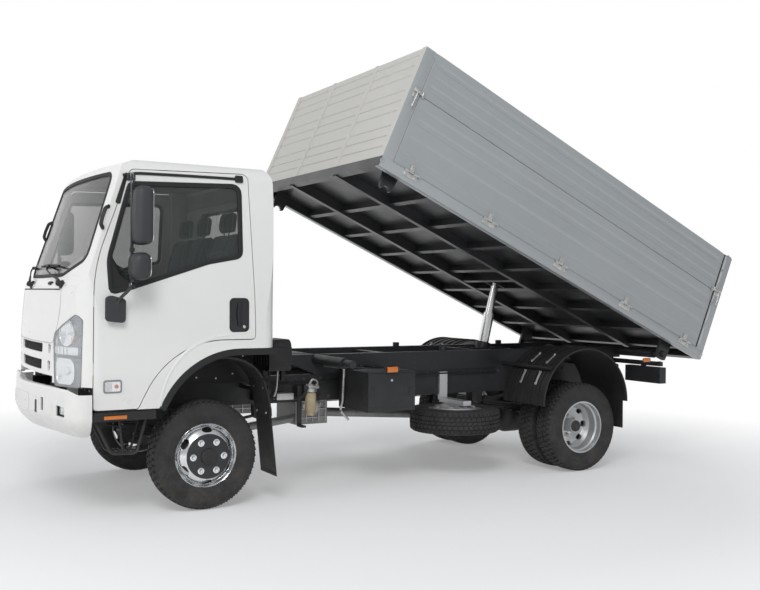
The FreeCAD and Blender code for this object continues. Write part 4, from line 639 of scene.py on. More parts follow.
class TIPPER_OT_stage(bpy.types.Operator):
    """Camera, plain pale floor with its backdrop, soft lamps and an even world"""
    bl_idname = "tipper.stage"
    bl_label = "Stage"

    def execute(self, context):
        scene = context.scene
        scene.view_settings.view_transform = "Standard"
        forward = Vector((-math.sin(CAMERA_YAW) * math.cos(CAMERA_PITCH),
                          -math.cos(CAMERA_YAW) * math.cos(CAMERA_PITCH), math.sin(CAMERA_PITCH)))
        right = forward.cross(Vector((0, 0, 1))).normalized()
        upward = right.cross(forward)
        turn = Matrix((right * math.cos(CAMERA_ROLL) + upward * math.sin(CAMERA_ROLL),
                       upward * math.cos(CAMERA_ROLL) - right * math.sin(CAMERA_ROLL), -forward)).transposed()
        lens = bpy.data.cameras.new("camera")
        lens.sensor_fit = "HORIZONTAL"
        lens.sensor_width = 36
        lens.lens = CAMERA_LENS
        lens.clip_end = 200
        camera = bpy.data.objects.new("camera", lens)
        camera.matrix_world = Matrix.Translation(CAMERA_AT) @ turn.to_4x4()
        scene.collection.objects.link(camera)
        scene.camera = camera

        white = bpy.data.materials.new("floor_white")
        white.use_nodes = True
        tree = white.node_tree
        shader = tree.nodes["Principled BSDF"]
        shader.inputs["Roughness"].default_value = 0.9
        place = wire(tree, "ShaderNodeTexCoord").outputs["Object"]
        drift = wire(tree, "ShaderNodeTexNoise", {"Vector": place, "Scale": 0.6}).outputs[0]
        tree.links.new(mixed(tree, drift, tone((FLOOR_WHITE,) * 3, 0.985), tone((FLOOR_WHITE,) * 3, 1.0)),
                       shader.inputs["Base Color"])
        far = wire(tree, "ShaderNodeVectorMath", {0: place, 1: (FRONT_AXLE - 1.6, 0.0, 0.0)},
                   operation="DISTANCE").outputs[1]
        path = wire(tree, "ShaderNodeLightPath").outputs
        seen = wire(tree, "ShaderNodeMath", {0: path["Is Camera Ray"], 1: path["Is Glossy Ray"]},
                    operation="MAXIMUM").outputs[0]
        glow = wire(tree, "ShaderNodeEmission", {0: (1.0, 1.0, 1.0, 1.0), 1: 1.0}).outputs[0]
        share = wire(tree, "ShaderNodeMath", {0: ranged(tree, far, 3.2, 6.0, 0.25, 1.0), 1: seen},
                     operation="MULTIPLY").outputs[0]
        blended = wire(tree, "ShaderNodeMixShader", {0: share, 1: shader.outputs[0], 2: glow}).outputs[0]
        tree.links.new(blended, tree.nodes["Material Output"].inputs[0])
        reach, behind, rise, curve = 22.0, -12, 14.0, 5.0
        angle = np.linspace(0, math.pi / 2, 12)
        sweep = np.stack([behind - curve * np.sin(angle), curve * (1 - np.cos(angle))], -1)
        line = np.concatenate([[(reach, 0.0)], sweep, [(behind - curve, rise)]])
        across = np.array([-30.0, 30.0])
        sheet = np.stack(np.broadcast_arrays(across[:, None], line[:, 0][None], line[:, 1][None]), -1)
        points, faces = grid(sheet)
        mesh = bpy.data.meshes.new("floor")
        mesh.from_pydata(points.tolist(), [], faces[0][:, ::-1].tolist())
        mesh.polygons.foreach_set("use_smooth", np.ones(len(mesh.polygons), bool))
        mesh.materials.append(white)
        floor = bpy.data.objects.new("floor", mesh)
        scene.collection.objects.link(floor)
        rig.stage(floor)

        world = bpy.data.worlds.new("world")
        world.use_nodes = True
        tree = world.node_tree
        tree.nodes.clear()
        path = wire(tree, "ShaderNodeLightPath").outputs
        seen = wire(tree, "ShaderNodeMath", {0: path["Is Camera Ray"], 1: path["Is Transmission Ray"]},
                    operation="MAXIMUM").outputs[0]
        light = wire(tree, "ShaderNodeBackground", {0: (0.93, 0.96, 1.0, 1.0), 1: 0.5})
        plain = wire(tree, "ShaderNodeBackground", {0: (1.0, 1.0, 1.0, 1.0), 1: 1.0})
        blend = wire(tree, "ShaderNodeMixShader", {0: seen, 1: light.outputs[0], 2: plain.outputs[0]})
        wire(tree, "ShaderNodeOutputWorld", {0: blend.outputs[0]})
        scene.world = world

        aim = Vector((FRONT_AXLE - 1.2, 0.0, 1.2))
        for name, place, size, power in (("key_lamp", (6.5, 9.0, 9.0), 5.0, 620.0),
                                         ("fill_lamp", (11.0, 2.0, 5.0), 5.0, 160.0),
                                         ("rear_lamp", (-9.0, -7.0, 7.0), 5.0, 240.0)):
            lamp = bpy.data.lights.new(name, "AREA")
            lamp.shape = "DISK"
            lamp.size = size
            lamp.energy = power
            holder = bpy.data.objects.new(name, lamp)
            holder.location = place
            holder.rotation_euler = (aim - Vector(place)).to_track_quat("-Z", "Y").to_euler()
            scene.collection.objects.link(holder)
        return {"FINISHED"}


class TIPPER_OT_finishes(bpy.types.Operator):
    """Finishes on every piece of the frame"""
    bl_idname = "tipper.finishes"
    bl_label = "Finishes"

    def execute(self, context):
        for name, nodes in NODE_FINISHES.items():
            for node in nodes:
                mesh = frame["nodes"][node].data
                mesh.materials.clear()
                mesh.materials.append(finish(name))
        return {"FINISHED"}


# ---------------------------------------------------------------- tyres
BEAD_RADIUS = 0.2235
TREAD_HALF = 0.088
CROWN_FALL = 0.006
BLOCKS_ROUND = 54


def carcass(radius, half):
    """Closed section (radius, across) of a tyre: crown, shoulder, bulging sidewall with ribs, bead and liner."""
    t = np.linspace(-1, 1, 15)
    crown = np.stack([radius - CROWN_FALL * np.abs(t) ** 2.5, t * TREAD_HALF], -1)
    s = np.linspace(0, 1, 26)[1:]
    fall = radius - CROWN_FALL - (radius - CROWN_FALL - BEAD_RADIUS - 0.002) * s
    bulge = TREAD_HALF + (half - TREAD_HALF) * np.sin(np.clip(s * 1.18, 0, 1) * math.pi / 2) ** 0.75
    bulge -= (half - TREAD_HALF) * np.clip((s - 0.5) / 0.5, 0, 1) ** 2.2
    ribs = 0.0016 * (np.exp(-((s - 0.27) / 0.02) ** 2) + np.exp(-((s - 0.6) / 0.018) ** 2)
                     + np.exp(-((s - 0.85) / 0.03) ** 2) * 1.3)
    wall = np.stack([fall, np.minimum(bulge + ribs, half)], -1)
    t = np.linspace(0, 1, 8)
    liner = np.stack([BEAD_RADIUS + 0.012 + 0.09 * np.sin(t * math.pi / 2), np.full(8, 0.07)], -1)
    inner = np.concatenate([[(BEAD_RADIUS + 0.001, 0.07)], liner])
    side = np.concatenate([wall, inner])
    return np.concatenate([crown, side, side[::-1] * [1, -1]])


def lug(outline, radius, depth):
    """A tread block: an outline (round the tyre, across it) raised from the carcass, narrower at its top."""
    loops = []
    for share, lift in ((1.0, -0.003), (0.94, depth * 0.85), (0.88, depth)):
        centre = outline.mean(0)
        loop = centre + (outline - centre) * share
        across = loop[:, 1]
        base = radius - CROWN_FALL * np.clip(np.abs(across) / TREAD_HALF, 0, 1) ** 2.5
        base = base - np.clip(np.abs(across) - TREAD_HALF, 0, 1) * 2.1
        r = base + lift * np.where(np.abs(across) > TREAD_HALF, 0.5, 1.0)
        angle = loop[:, 0] / radius
        loops.append(np.stack([r * np.cos(angle), r * np.sin(angle), across], -1))
    return rings(np.array(loops)[:, ::-1] if area_sign(outline) > 0 else np.array(loops))


def area_sign(outline):
    """Twice the signed area of a 2-D outline."""
    x, y = outline[:, 0], outline[:, 1]
    return float((x * np.roll(y, -1) - y * np.roll(x, -1)).sum())


def tyre(radius, half, depth):
    """A tyre about the z axis: its carcass, zigzag centre blocks and shoulder lugs that run over the edge."""
    base = radius - depth
    body = ringed(carcass(base, half), 120)

    def turns(start):
        return np.array([np.array(Matrix.Rotation(2 * math.pi * (i + start) / BLOCKS_ROUND, 4, "Z"))
                         for i in range(BLOCKS_ROUND)])
    pitch = 2 * math.pi * radius / BLOCKS_ROUND
    parts = [body]
    for sign in (1, -1):
        shoulder = np.array([(-0.36, 0.056), (0.3, 0.052), (0.4, 0.08), (0.36, 0.0965), (-0.3, 0.0965), (-0.28, 0.08)])
        shoulder = shoulder * [pitch, sign]
        parts.append(repeated(lug(shoulder, base, depth), turns(0.25 * (1 + sign))))
        second = np.array([(-0.4, 0.02), (0.16, 0.015), (0.4, 0.026), (0.36, 0.049), (-0.2, 0.051), (-0.42, 0.04)])
        parts.append(repeated(lug(second * [pitch, sign], base, depth), turns(0.25 * (1 + sign) + 0.45)))
    centre = np.array([(-0.42, -0.01), (0.0, -0.013), (0.4, -0.007), (0.42, 0.01), (0.0, 0.012), (-0.38, 0.008)])
    parts.append(repeated(lug(centre * [pitch, 1.0], base, depth), turns(0.1)))
    return joined(*parts)


class TIPPER_OT_tyres(bpy.types.Operator):
    """Treaded tyres on all wheels and the spare"""
    bl_idname = "tipper.tyres"
    bl_label = "Tyres"

    def execute(self, context):
        depth = context.scene.tipper_sizes.tread_depth
        shape = tyre(TYRE_RADIUS, TYRE_WIDTH / 2, depth)
        for side, sign in SIDES:
            low, high = span(f"front_tyre_{side}")
            solid(f"tyre_front_{side}", moved(shape, at((low + high) / 2, (0, sign, 0))), "tyre_rubber",
                  f"front_wheel_{side}", replaces=[f"front_tyre_{side}"])
            low, high = span(f"rear_tyres_{side}")
            twins = []
            for y in (low[1] + TYRE_WIDTH / 2, high[1] - TYRE_WIDTH / 2):
                twins.append(moved(shape, at(((low[0] + high[0]) / 2, y, AXLE_HEIGHT), (0, sign, 0))))
            solid(f"tyres_rear_{side}", joined(*twins), "tyre_rubber", f"rear_wheels_{side}",
                  replaces=[f"rear_tyres_{side}"])
        solid("tyre_spare", moved(shape, at(middle("spare_tyre"))), "tyre_rubber", "chassis",
              replaces=["spare_tyre"])
        return {"FINISHED"}


# ---------------------------------------------------------------- tipping bed
# Bed places are (along from its rear edge, across, up from the underside of the sills), with the bed flat.
def bed_matrix():
    """Matrix from bed places to the standing bed."""
    turn = Matrix.Rotation(-TILT, 4, "Y")
    return np.array(Matrix.Translation((TIP_HINGE[0], 0, TIP_HINGE[2])) @ turn
                    @ Matrix.Translation((-BED_OVERHANG, 0, HINGE_DROP)))


BED_OVERHANG = 0.35
HINGE_DROP = 0.1
BED = bed_matrix()


def bed_box(node):
    """Lowest and highest corner of a bed node in bed places."""
    points = np.array([v.co for v in frame["nodes"][node].data.vertices])
    local = (points - BED[:3, 3]) @ BED[:3, :3]
    return local.min(0), local.max(0)


BED_HALF = 1.153
BED_LENGTH = bed_box("bed_floor")[1][0]
SILL = 0.08
SEAM = 0.655
BOARD_TOP = bed_box("headboard")[1][2]
POST = 0.1
BOARD = 0.025
BOARD_GAP = 0.007
HINGE_AXIS = (BED_HALF + 0.013, SILL - 0.002)
HINGE_INSET = 0.277
SIDE_HINGES = HINGE_INSET + (BED_LENGTH - 2 * HINGE_INSET) / 4 * np.arange(5)
TAIL_HINGES = np.array([-0.85, -0.35, 0.35, 0.85])
# (height above the board's lower edge, depth behind its outermost face) of the pressings
LOWER_PRESS = np.array([(0, 0.0045), (0.041, 0.0045), (0.052, 0.0095), (0.102, 0.0095), (0.114, 0.0035),
                        (0.236, 0.006), (0.256, 0.0008), (0.345, 0.0), (0.357, 0.0075), (0.395, 0.0075),
                        (0.408, 0.003), (0.48, 0.0062), (0.5, 0.001), (0.568, 0.0)])
UPPER_PRESS = np.array([(0, 0.004), (0.06, 0.004), (0.072, 0.009), (0.112, 0.009), (0.124, 0.003),
                        (0.19, 0.0055), (0.206, 0.0008), (0.262, 0.0), (0.274, 0.0075), (0.3, 0.0075),
                        (0.312, 0.001), (0.373, 0.0)])


def pressing(start, end, low, high, table):
    """Pressed board (along, out, up): a section whose outer line follows the table, dying out towards both ends."""
    up = np.concatenate([np.linspace(0, high - low, 56), table[:, 0]])
    up = np.unique(np.clip(np.round(up, 4), 0, high - low))
    depth = np.interp(up, table[:, 0] * (high - low) / table[-1, 0], table[:, 1])
    soft = np.convolve(np.pad(depth, 1, mode="edge"), [0.22, 0.56, 0.22], mode="valid")
    ends = np.array([0, 0.004, 0.015, 0.03, 0.045, 0.06, 0.08, 0.11, 0.15])
    along = np.concatenate([start + ends, np.linspace(start + 0.4, end - 0.4, 6), end - ends[::-1]])
    near = np.minimum(along - start, end - along)
    flat_end, fade_run = 0.012, 0.085
    fade = np.clip((near - flat_end) / fade_run, 0, 1)
    fade = (fade * fade * (3 - 2 * fade))[:, None]
    flat = 0.0035
    out = -(flat + (soft[None] - flat) * fade)
    lip = 0.0015 * (near < 0.003)[:, None]
    front = np.stack(np.broadcast_arrays(along[:, None], out - lip, (low + up)[None]), -1)
    back_up = np.array([high, high - 0.012, low + 0.012, low])
    back = np.stack(np.broadcast_arrays(along[:, None], -BOARD, back_up[None]), -1)
    back[:, (1, 2), 1] += 0.006
    return rings(np.concatenate([front, back], 1))


def on_side(part, sign):
    """A part given as (along, out from the bed's side face, up), put on the left or right side of the bed."""
    points, faces = part
    placed = points * [1, sign, 1] + [0, sign * BED_HALF, 0]
    return moved((placed, faces if sign > 0 else flipped((placed, faces))[1]), BED)


def on_tail(part):
    """A part given as (across, out from the bed's rear face, up), put on the rear of the bed."""
    points, faces = part
    placed = np.stack([-points[:, 1], points[:, 0], points[:, 2]], -1)
    return moved((placed, faces), BED)


def place_along(part, places, out=0.0, up=0.0):
    """Copies of a part in (along, out, up) at places along."""
    steps = np.tile(np.eye(4), (len(places), 1, 1))
    steps[:, :3, 3] = [(place, out, up) for place in places]
    return repeated(part, steps)


def bolt_on(across=0.016, height=0.007):
    """A bolt head that stands out of a face, in (along, out, up)."""
    return moved(hex_bolt(across, height), at((0, 0, 0), (0, 1, 0)))


def leaf_hinge():
    """The board's half of a hinge: middle knuckle and a leaf with two bolts, about the hinge line."""
    knuckle = moved(lathe([(0, -0.0205), (0.007, -0.0205), (0.008, -0.019), (0.008, 0.019), (0.007, 0.0205),
                           (0, 0.0205)], 20), at((0, HINGE_AXIS[0] - BED_HALF, 0), (1, 0, 0)))
    leaf = brick((-0.021, -0.001, 0.003), (0.021, 0.0065, 0.062), 0.002)
    fork = brick((-0.019, 0.001, -0.004), (0.019, 0.012, 0.01), 0.003)
    bolts = [place_along(bolt_on(), (0.0,), 0.0065, up) for up in (0.03, 0.05)]
    return joined(knuckle, leaf, fork, *bolts)


def sill_hinge():
    """The bed's half of a hinge: a base plate, two knuckles, a long pin with its head and a clip."""
    plate = brick((-0.067, -0.001, -0.047), (0.067, 0.0075, -0.009), 0.002)
    bolts = place_along(bolt_on(), (-0.045, 0.045), 0.0075, -0.03)
    parts = [plate, bolts]
    for sign in (1, -1):
        ear = brick((sign * 0.022, 0.0, -0.014), (sign * 0.064, 0.01, 0.004), 0.002)
        barrel = moved(lathe([(0, 0.0215), (0.0078, 0.0215), (0.0086, 0.024), (0.0086, 0.063), (0.0078, 0.0655),
                              (0, 0.0655)], 20), at((0, HINGE_AXIS[0] - BED_HALF, 0), (sign, 0, 0), (0, 0, 1)))
        parts += [ear, barrel]
    pin = moved(lathe([(0, 0.0), (0.0095, 0.0), (0.0095, 0.005), (0.006, 0.007), (0.0045, 0.018), (0, 0.018)], 16),
                at((-0.065, HINGE_AXIS[0] - BED_HALF, 0), (-1, 0, 0), (0, 0, 1)))
    clip = pipe([(-0.078, 0.013, 0.006), (-0.084, 0.013, -0.01), (-0.078, 0.013, -0.026)], 0.002, 0.008, 8, (0, 1, 0))
    return joined(*parts, pin, clip)


def latch():
    """Toggle latch on a corner post at the seam: base plate, drum with its hook, and a long hanging handle."""
    base = brick((-0.024, 0.0, -0.045), (0.024, 0.006, 0.04), 0.002)
    drum = moved(lathe([(0, -0.03), (0.013, -0.03), (0.015, -0.027), (0.015, 0.027), (0.013, 0.03), (0, 0.03)], 24),
                 at((0, 0.016, 0.012), (1, 0, 0)))
    hook = brick((0.02, 0.002, -0.002), (0.062, 0.012, 0.024), 0.003)
    keep = brick((0.056, 0.001, -0.016), (0.078, 0.008, 0.034), 0.002)
    nose = moved(lathe([(0, -0.018), (0.007, -0.018), (0.007, 0.018), (0, 0.018)], 16),
                 at((0.058, 0.014, 0.01), (0, 0, 1)))
    handle = pipe([(0, 0.02, 0.012), (0, 0.034, -0.01), (-0.004, 0.03, -0.118)], 0.0062, 0.02, 12, (1, 0, 0))
    knob = moved(lathe([(0, -0.012), (0.007, -0.01), (0.0092, 0), (0.007, 0.01), (0, 0.012)], 16),
                 at((-0.004, 0.03, -0.118)))
    bolts = [place_along(bolt_on(0.013, 0.005), (-0.014, 0.014), 0.006, up) for up in (-0.034, 0.032)]
    return joined(base, drum, hook, keep, nose, handle, knob, *bolts)


def flip_along(part):
    """The same part turned end for end along its length."""
    return moved(part, np.diag([-1.0, 1.0, 1.0, 1.0]))


class TIPPER_OT_boards(bpy.types.Operator):
    """Pressed side boards and tailgates with their hinges, latches and pins"""
    bl_idname = "tipper.boards"
    bl_label = "Boards"

    def execute(self, context):
        start, end = POST + BOARD_GAP, BED_LENGTH - POST - BOARD_GAP
        tail = BED_HALF - 0.06 - BOARD_GAP
        levels = (("lower", SILL + BOARD_GAP, SEAM, LOWER_PRESS), ("upper", SEAM + BOARD_GAP, BOARD_TOP, UPPER_PRESS))
        for level, low, high, table in levels:
            side_board = pressing(start, end, low, high, table)
            tail_board = pressing(-tail, tail, low, high, table)
            for side, sign in SIDES:
                solid(f"board_{level}_{side}", on_side(side_board, sign), "bed_paint", f"{side}_{level}_board",
                      smooth=24, replaces=[f"side_board_{level}_{side}"])
            solid(f"tail_{level}", on_tail(tail_board), "bed_paint", f"{level}_tailgate", smooth=24,
                  replaces=[f"tailgate_{level}"])
        for side, sign in SIDES:
            leaves = place_along(leaf_hinge(), SIDE_HINGES, 0, HINGE_AXIS[1])
            solid(f"hinge_leaves_{side}", on_side(leaves, sign), "zinc", f"{side}_lower_board")
            bases = place_along(sill_hinge(), SIDE_HINGES, 0, HINGE_AXIS[1])
            latches = joined(place_along(flip_along(latch()), (BED_LENGTH - 0.062,), 0.0, SEAM + 0.004),
                             place_along(latch(), (0.062,), 0.0, SEAM + 0.004))
            cap = lathe([(0, 0), (0.017, 0), (0.017, 0.003), (0.009, 0.004), (0.009, 0.001), (0, 0.001)], 20)
            caps = [moved(cap, at((s, 0.001, 0.042), (0, 1, 0))) for s in (0.012, BED_LENGTH - 0.012)]
            solid(f"side_fittings_{side}", on_side(joined(bases, latches, *caps), sign), "zinc", "bed")
            pins = [moved(lathe([(0, 0), (0.009, 0), (0.009, 0.028), (0, 0.028)], 20),
                          at((s, -BOARD / 2, BOARD_TOP - 0.025), (d, 0, 0))) for s, d in ((start, -1), (end, 1))]
            solid(f"board_pins_{side}", on_side(joined(*pins), sign), "zinc", f"{side}_upper_board")
        leaves = place_along(leaf_hinge(), TAIL_HINGES, 0, HINGE_AXIS[1])
        solid("hinge_leaves_tail", on_tail(leaves), "zinc", "lower_tailgate")
        bases = place_along(sill_hinge(), TAIL_HINGES, 0, HINGE_AXIS[1])
        brackets = []
        for sign in (1, -1):
            edge = sign * (BED_HALF - 0.03)
            brackets.append(brick((edge - 0.028, -0.058, BOARD_TOP - 0.001),
                                  (edge + 0.028, -0.006, BOARD_TOP + 0.012), 0.003))
            brackets.append(moved(hex_bolt(0.024, 0.01), at((edge, -0.03, BOARD_TOP + 0.012))))
            brackets.append(brick((edge - 0.024, 0.0, SEAM - 0.05), (edge + 0.024, 0.006, SEAM + 0.05), 0.002))
            brackets.append(pipe([(edge, 0.01, SEAM + 0.03), (edge, 0.024, SEAM), (edge, 0.022, SEAM - 0.1)], 0.006,
                                 0.02, 10, (1, 0, 0)))
        solid("tail_fittings", on_tail(joined(bases, *brackets)), "zinc", "bed")
        return {"FINISHED"}


class TIPPER_OT_bed(bpy.types.Operator):
    """Skins of the sills and posts, and cream crescents on the rear posts that paint light on the ends of the board
    pressings
    """
    bl_idname = "tipper.bed"
    bl_label = "Bed"

    def execute(self, context):
        for side, sign in SIDES:
            skins = [brick((0.004, -0.058, -0.006), (BED_LENGTH - 0.004, 0.0015, 0.002), 0.002),
                     brick((0.1, -0.03, SILL - 0.004), (BED_LENGTH - 0.1, 0.003, SILL + 0.002), 0.0012)]
            for start, end in ((0.0, POST), (BED_LENGTH - POST, BED_LENGTH)):
                skins.append(brick((start + 0.003, -0.01, SILL - 0.002), (end - 0.003, 0.0012, BOARD_TOP - 0.003),
                                   0.001))
            skins.append(brick((0.003, -0.01, 0.0), (BED_LENGTH - 0.003, 0.0012, SILL), 0.001))
            solid(f"sill_skin_{side}", on_side(joined(*skins), sign), "bed_paint", "bed")
            t = np.linspace(0, math.pi, 13)
            upright = np.array([[1, 0, 0, 0], [0, 0, 1, 0.001], [0, 1, 0, 0], [0, 0, 0, 1.0]])
            lips = []
            # Cream crescents, lighter than the grey post, paint the light on the ends of the board pressings.
            for base in (0.11, 0.33, 0.56, 0.72, 0.86):
                outline = np.stack([POST - 0.012 - 0.016 * np.sin(t), base + 0.115 * (1 - np.cos(t)) / 2 * 1.5], -1)
                lips.append(moved(slab(anticlockwise(outline), 0.003, 0.001), upright))
            solid(f"post_lips_{side}", on_side(joined(*lips), sign), "headboard_paint", "bed")
        return {"FINISHED"}


# ---------------------------------------------------------------- cab forms, measured from the front axle
def cornered(outline, closed=True, steps=7):
    """A line of (a, b[, radius]) corners, each one replaced by the arc of its radius that touches both its edges."""
    points = np.array([corner[:2] for corner in outline], float)
    run = []
    for index, corner in enumerate(outline):
        here = points[index]
        if len(corner) == 2 or (not closed and index in (0, len(outline) - 1)):
            run.append(here[None])
            continue
        back = here - points[index - 1]
        on = points[(index + 1) % len(points)] - here
        back, on = back / np.linalg.norm(back), on / np.linalg.norm(on)
        half = math.acos(max(-1.0, min(1.0, float(back @ on)))) / 2
        inside = (on - back) / np.linalg.norm(on - back)
        along = (on + back) / np.linalg.norm(on + back)
        a = np.linspace(-half, half, steps)[:, None]
        run.append(here + corner[2] * (inside / math.cos(half) - inside * np.cos(a) + along * np.sin(a)))
    return np.concatenate(run)


def even(line, step, closed=True):
    """A line set out again at an even step along its length."""
    line = np.asarray(line, float)
    if closed:
        line = np.concatenate([line, line[:1]])
    run = np.concatenate([[0.0], np.cumsum(np.linalg.norm(np.diff(line, axis=0), axis=1))])
    count = max(int(round(run[-1] / step)), 8)
    t = np.linspace(0, run[-1], count, endpoint=not closed)
    return np.stack([np.interp(t, run, line[:, k]) for k in range(line.shape[1])], -1)


def sound(part):
    """The part with its faces turned outwards: its volume, summed over fans of triangles, is made positive."""
    points, faces = part
    volume = 0.0
    for index in faces:
        for k in range(1, index.shape[1] - 1):
            a, b, c = points[index[:, 0]], points[index[:, k]], points[index[:, k + 1]]
            volume += float(np.einsum("ij,ij->", a, np.cross(b, c)))
    return flipped(part) if volume < 0 else part


CAB_REAR = -0.498
CAB_BOW = 5.0
FRONT_X = 1.022
FRONT_LINE = cornered([(FRONT_X, 0.5), (FRONT_X, 1.21, 2.0), (0.992, 1.578, 0.025), (0.944, 1.622, 0.02),
                       (0.687, 2.4, 0.06), (0.592, 2.436, 0.15), (0.122, 2.466, 3.0), (-1.4, 2.4665)], False, 9)
SIDE_LINE = cornered([(1.0, 0.6), (1.0, 1.48, 2.5), (0.894, 2.44, 0.12), (0.0, 2.474)], False, 13)
PLAN_LINE = cornered([(CAB_REAR, 1.0), (0.885, 1.0, 0.17), (1.12, 0.19), (1.13, 0.0)], False, 13)


def front_place(spots):
    """Cab front at (y, z): x = axis + sqrt((line(z) - axis)^2 - y^2) on its bow.

    Where the rounded corner lies further back, x is the corner's."""
    y, z = spots[:, 0], spots[:, 1]
    axis = FRONT_X - CAB_BOW
    line = np.interp(z, FRONT_LINE[:, 1], FRONT_LINE[:, 0])
    bow = axis + np.sqrt((line - axis) ** 2 - y ** 2)
    corner = np.interp(np.abs(y), PLAN_LINE[::-1, 1], PLAN_LINE[::-1, 0])
    return np.stack([FRONT_AXLE + np.minimum(bow, corner), y, z], -1)


def side_place(spots):
    """Left side of the cab at (x, z): y = side line(z), or its rounded front corner if that is nearer the middle."""
    x, z = spots[:, 0], spots[:, 1]
    y = np.minimum(np.interp(z, SIDE_LINE[:, 1], SIDE_LINE[:, 0]), np.interp(x, PLAN_LINE[:, 0], PLAN_LINE[:, 1]))
    return np.stack([FRONT_AXLE + x, y, z], -1)


BUMPER_LINE = cornered([(0.817, -1.025), (0.95, -1.025, 0.15), (1.12, 0.0, 1.8), (0.95, 1.025, 0.15),
                        (0.817, 1.025)], False, 13)


def bumper_place(spots):
    """Face of the bumper at (y, z): x = bumper line(y)."""
    x = np.interp(spots[:, 0], BUMPER_LINE[:, 1], BUMPER_LINE[:, 0])
    return np.stack([FRONT_AXLE + x, spots[:, 0], spots[:, 1]], -1)


def rear_place(spots):
    """Flat rear wall of the cab at (y, z)."""
    return np.stack([np.full(len(spots), FRONT_AXLE + CAB_REAR), spots[:, 0], spots[:, 1]], -1)


def facing(place, spots, away):
    """Unit normals of a placed form: the cross product of its two small steps, on the side of a direction."""
    step = 0.002
    u = place(spots + [step, 0]) - place(spots - [step, 0])
    v = place(spots + [0, step]) - place(spots - [0, step])
    normal = np.cross(u, v)
    normal *= np.sign(normal @ np.asarray(away, float))[:, None]
    return unit(normal)


AWAY = {front_place: (1, 0, 0), side_place: (0, 1, 0), bumper_place: (1, 0, 0), rear_place: (-1, 0, 0)}


def over(place, spots, lift=0.0):
    """Spots on a form, raised by a lift along its normals."""
    spots = np.asarray(spots, float).reshape(-1, 2)
    return place(spots) + facing(place, spots, AWAY[place]) * np.asarray(lift, float).reshape(-1, 1)


def shares_of(outline, count):
    """An outline shrunk to its middle in a number of rings, from the smallest to itself."""
    centre = (outline.min(0) + outline.max(0)) / 2
    return [(s, centre + (outline - centre) * s) for s in np.linspace(0.03, 1, count)]


def anticlockwise(outline):
    """The outline with its points in anticlockwise order."""
    return outline if area_sign(outline) > 0 else outline[::-1]


def patch(outline, place, low, high, bevel=0.0015, count=5):
    """A piece over an outline on a form, in rings from its middle out and back.

    Its high lift is a number, or a function of the rings' share."""
    outline = anticlockwise(outline)
    height = high if callable(high) else (lambda share: high)
    inner = offset_loop(outline, bevel)
    loops = [over(place, loop, low) for _, loop in shares_of(outline, count)]
    loops += [over(place, outline, height(1.0) - bevel)]
    loops += [over(place, loop, height(share)) for share, loop in shares_of(inner, count)[::-1]]
    return sound(rings(np.stack(loops)))


def tray(outline, place, depth, front, wall=0.0015, count=4):
    """An open box behind an outline on a form: floor at a depth below the form, rim at a front lift."""
    outline = anticlockwise(outline)
    inner = offset_loop(outline, wall)
    loops = [over(place, loop, -depth - wall) for _, loop in shares_of(outline, count)]
    loops += [over(place, outline, front), over(place, inner, front)]
    loops += [over(place, loop, -depth) for _, loop in shares_of(inner, count)[::-1]]
    return sound(rings(np.stack(loops)))


def ribbon(spots, place, profile, closed=True):
    """A profile carried along spots on a form: its x lies out of the loop, its y along the form's normals."""
    normal = facing(place, spots, AWAY[place])
    path = place(spots)
    if closed:
        spokes = path - path.mean(0)
        round_way = np.cross(spokes, np.roll(spokes, -1, 0)).sum(0) @ normal.mean(0)
        if round_way < 0:
            path, normal = path[::-1], normal[::-1]
    return sound(carried(np.asarray(profile, float), path, normal, closed))


def band(inside, outside, low, high):
    """Closed section of a rubber seal from inside its loop to outside, and from a low to a high lift."""
    return rounded(outside + inside, high - low, 0.002, 3) + [(outside - inside) / 2, (high + low) / 2]


def sided(part, sign):
    """A part of the left side, or its mirror image for a negative sign."""
    return part if sign > 0 else mirrored(part)


def both(name, part, finish_name, body, **extra):
    """A left piece and its mirror image; a body named with * takes left and right."""
    for side, sign in SIDES:
        solid(f"{name}_{side}", sided(part, sign), finish_name, body.replace("*", side), **extra)


def from_axle(*parts):
    """Parts measured from the front axle, as one part in the truck's frame."""
    return moved(joined(*parts), at((FRONT_AXLE, 0, 0)))


def block(low, high, *edges):
    """A rounded block between corners measured from the front axle."""
    return from_axle(brick(low, high, *edges))


def spun(profile, count, spot, *way):
    """A lathe form at a spot measured from the front axle, its z along a way."""
    return moved(lathe(profile, count), at(row(spot), *way))


def hose(points, *sizes):
    """A pipe through points measured from the front axle."""
    return pipe(row(points), *sizes)


def row(points):
    """Places measured from the front axle as places in the truck's frame."""
    return np.asarray(points, float) + [FRONT_AXLE, 0, 0]


WINDSCREEN = cornered([(-0.872, 1.745, 0.08), (-0.54, 1.638, 0.2), (0, 1.632, 12.0), (0.54, 1.638, 0.2),
                       (0.872, 1.745, 0.08), (0.805, 2.35, 0.08), (0, 2.352, 12.0), (-0.805, 2.35, 0.08)])
SIDE_WINDOW = cornered([(0.7, 1.518, 0.03), (0.712, 1.75, 0.3), (0.557, 2.275, 0.04), (-0.245, 2.305, 0.06),
                        (-0.24, 1.784, 0.05), (0.008, 1.737, 0.25), (0.567, 1.55, 0.2)])
REAR_WINDOW = cornered([(-0.56, 1.76, 0.07), (0.56, 1.76, 0.07), (0.54, 2.2, 0.07), (-0.54, 2.2, 0.07)])


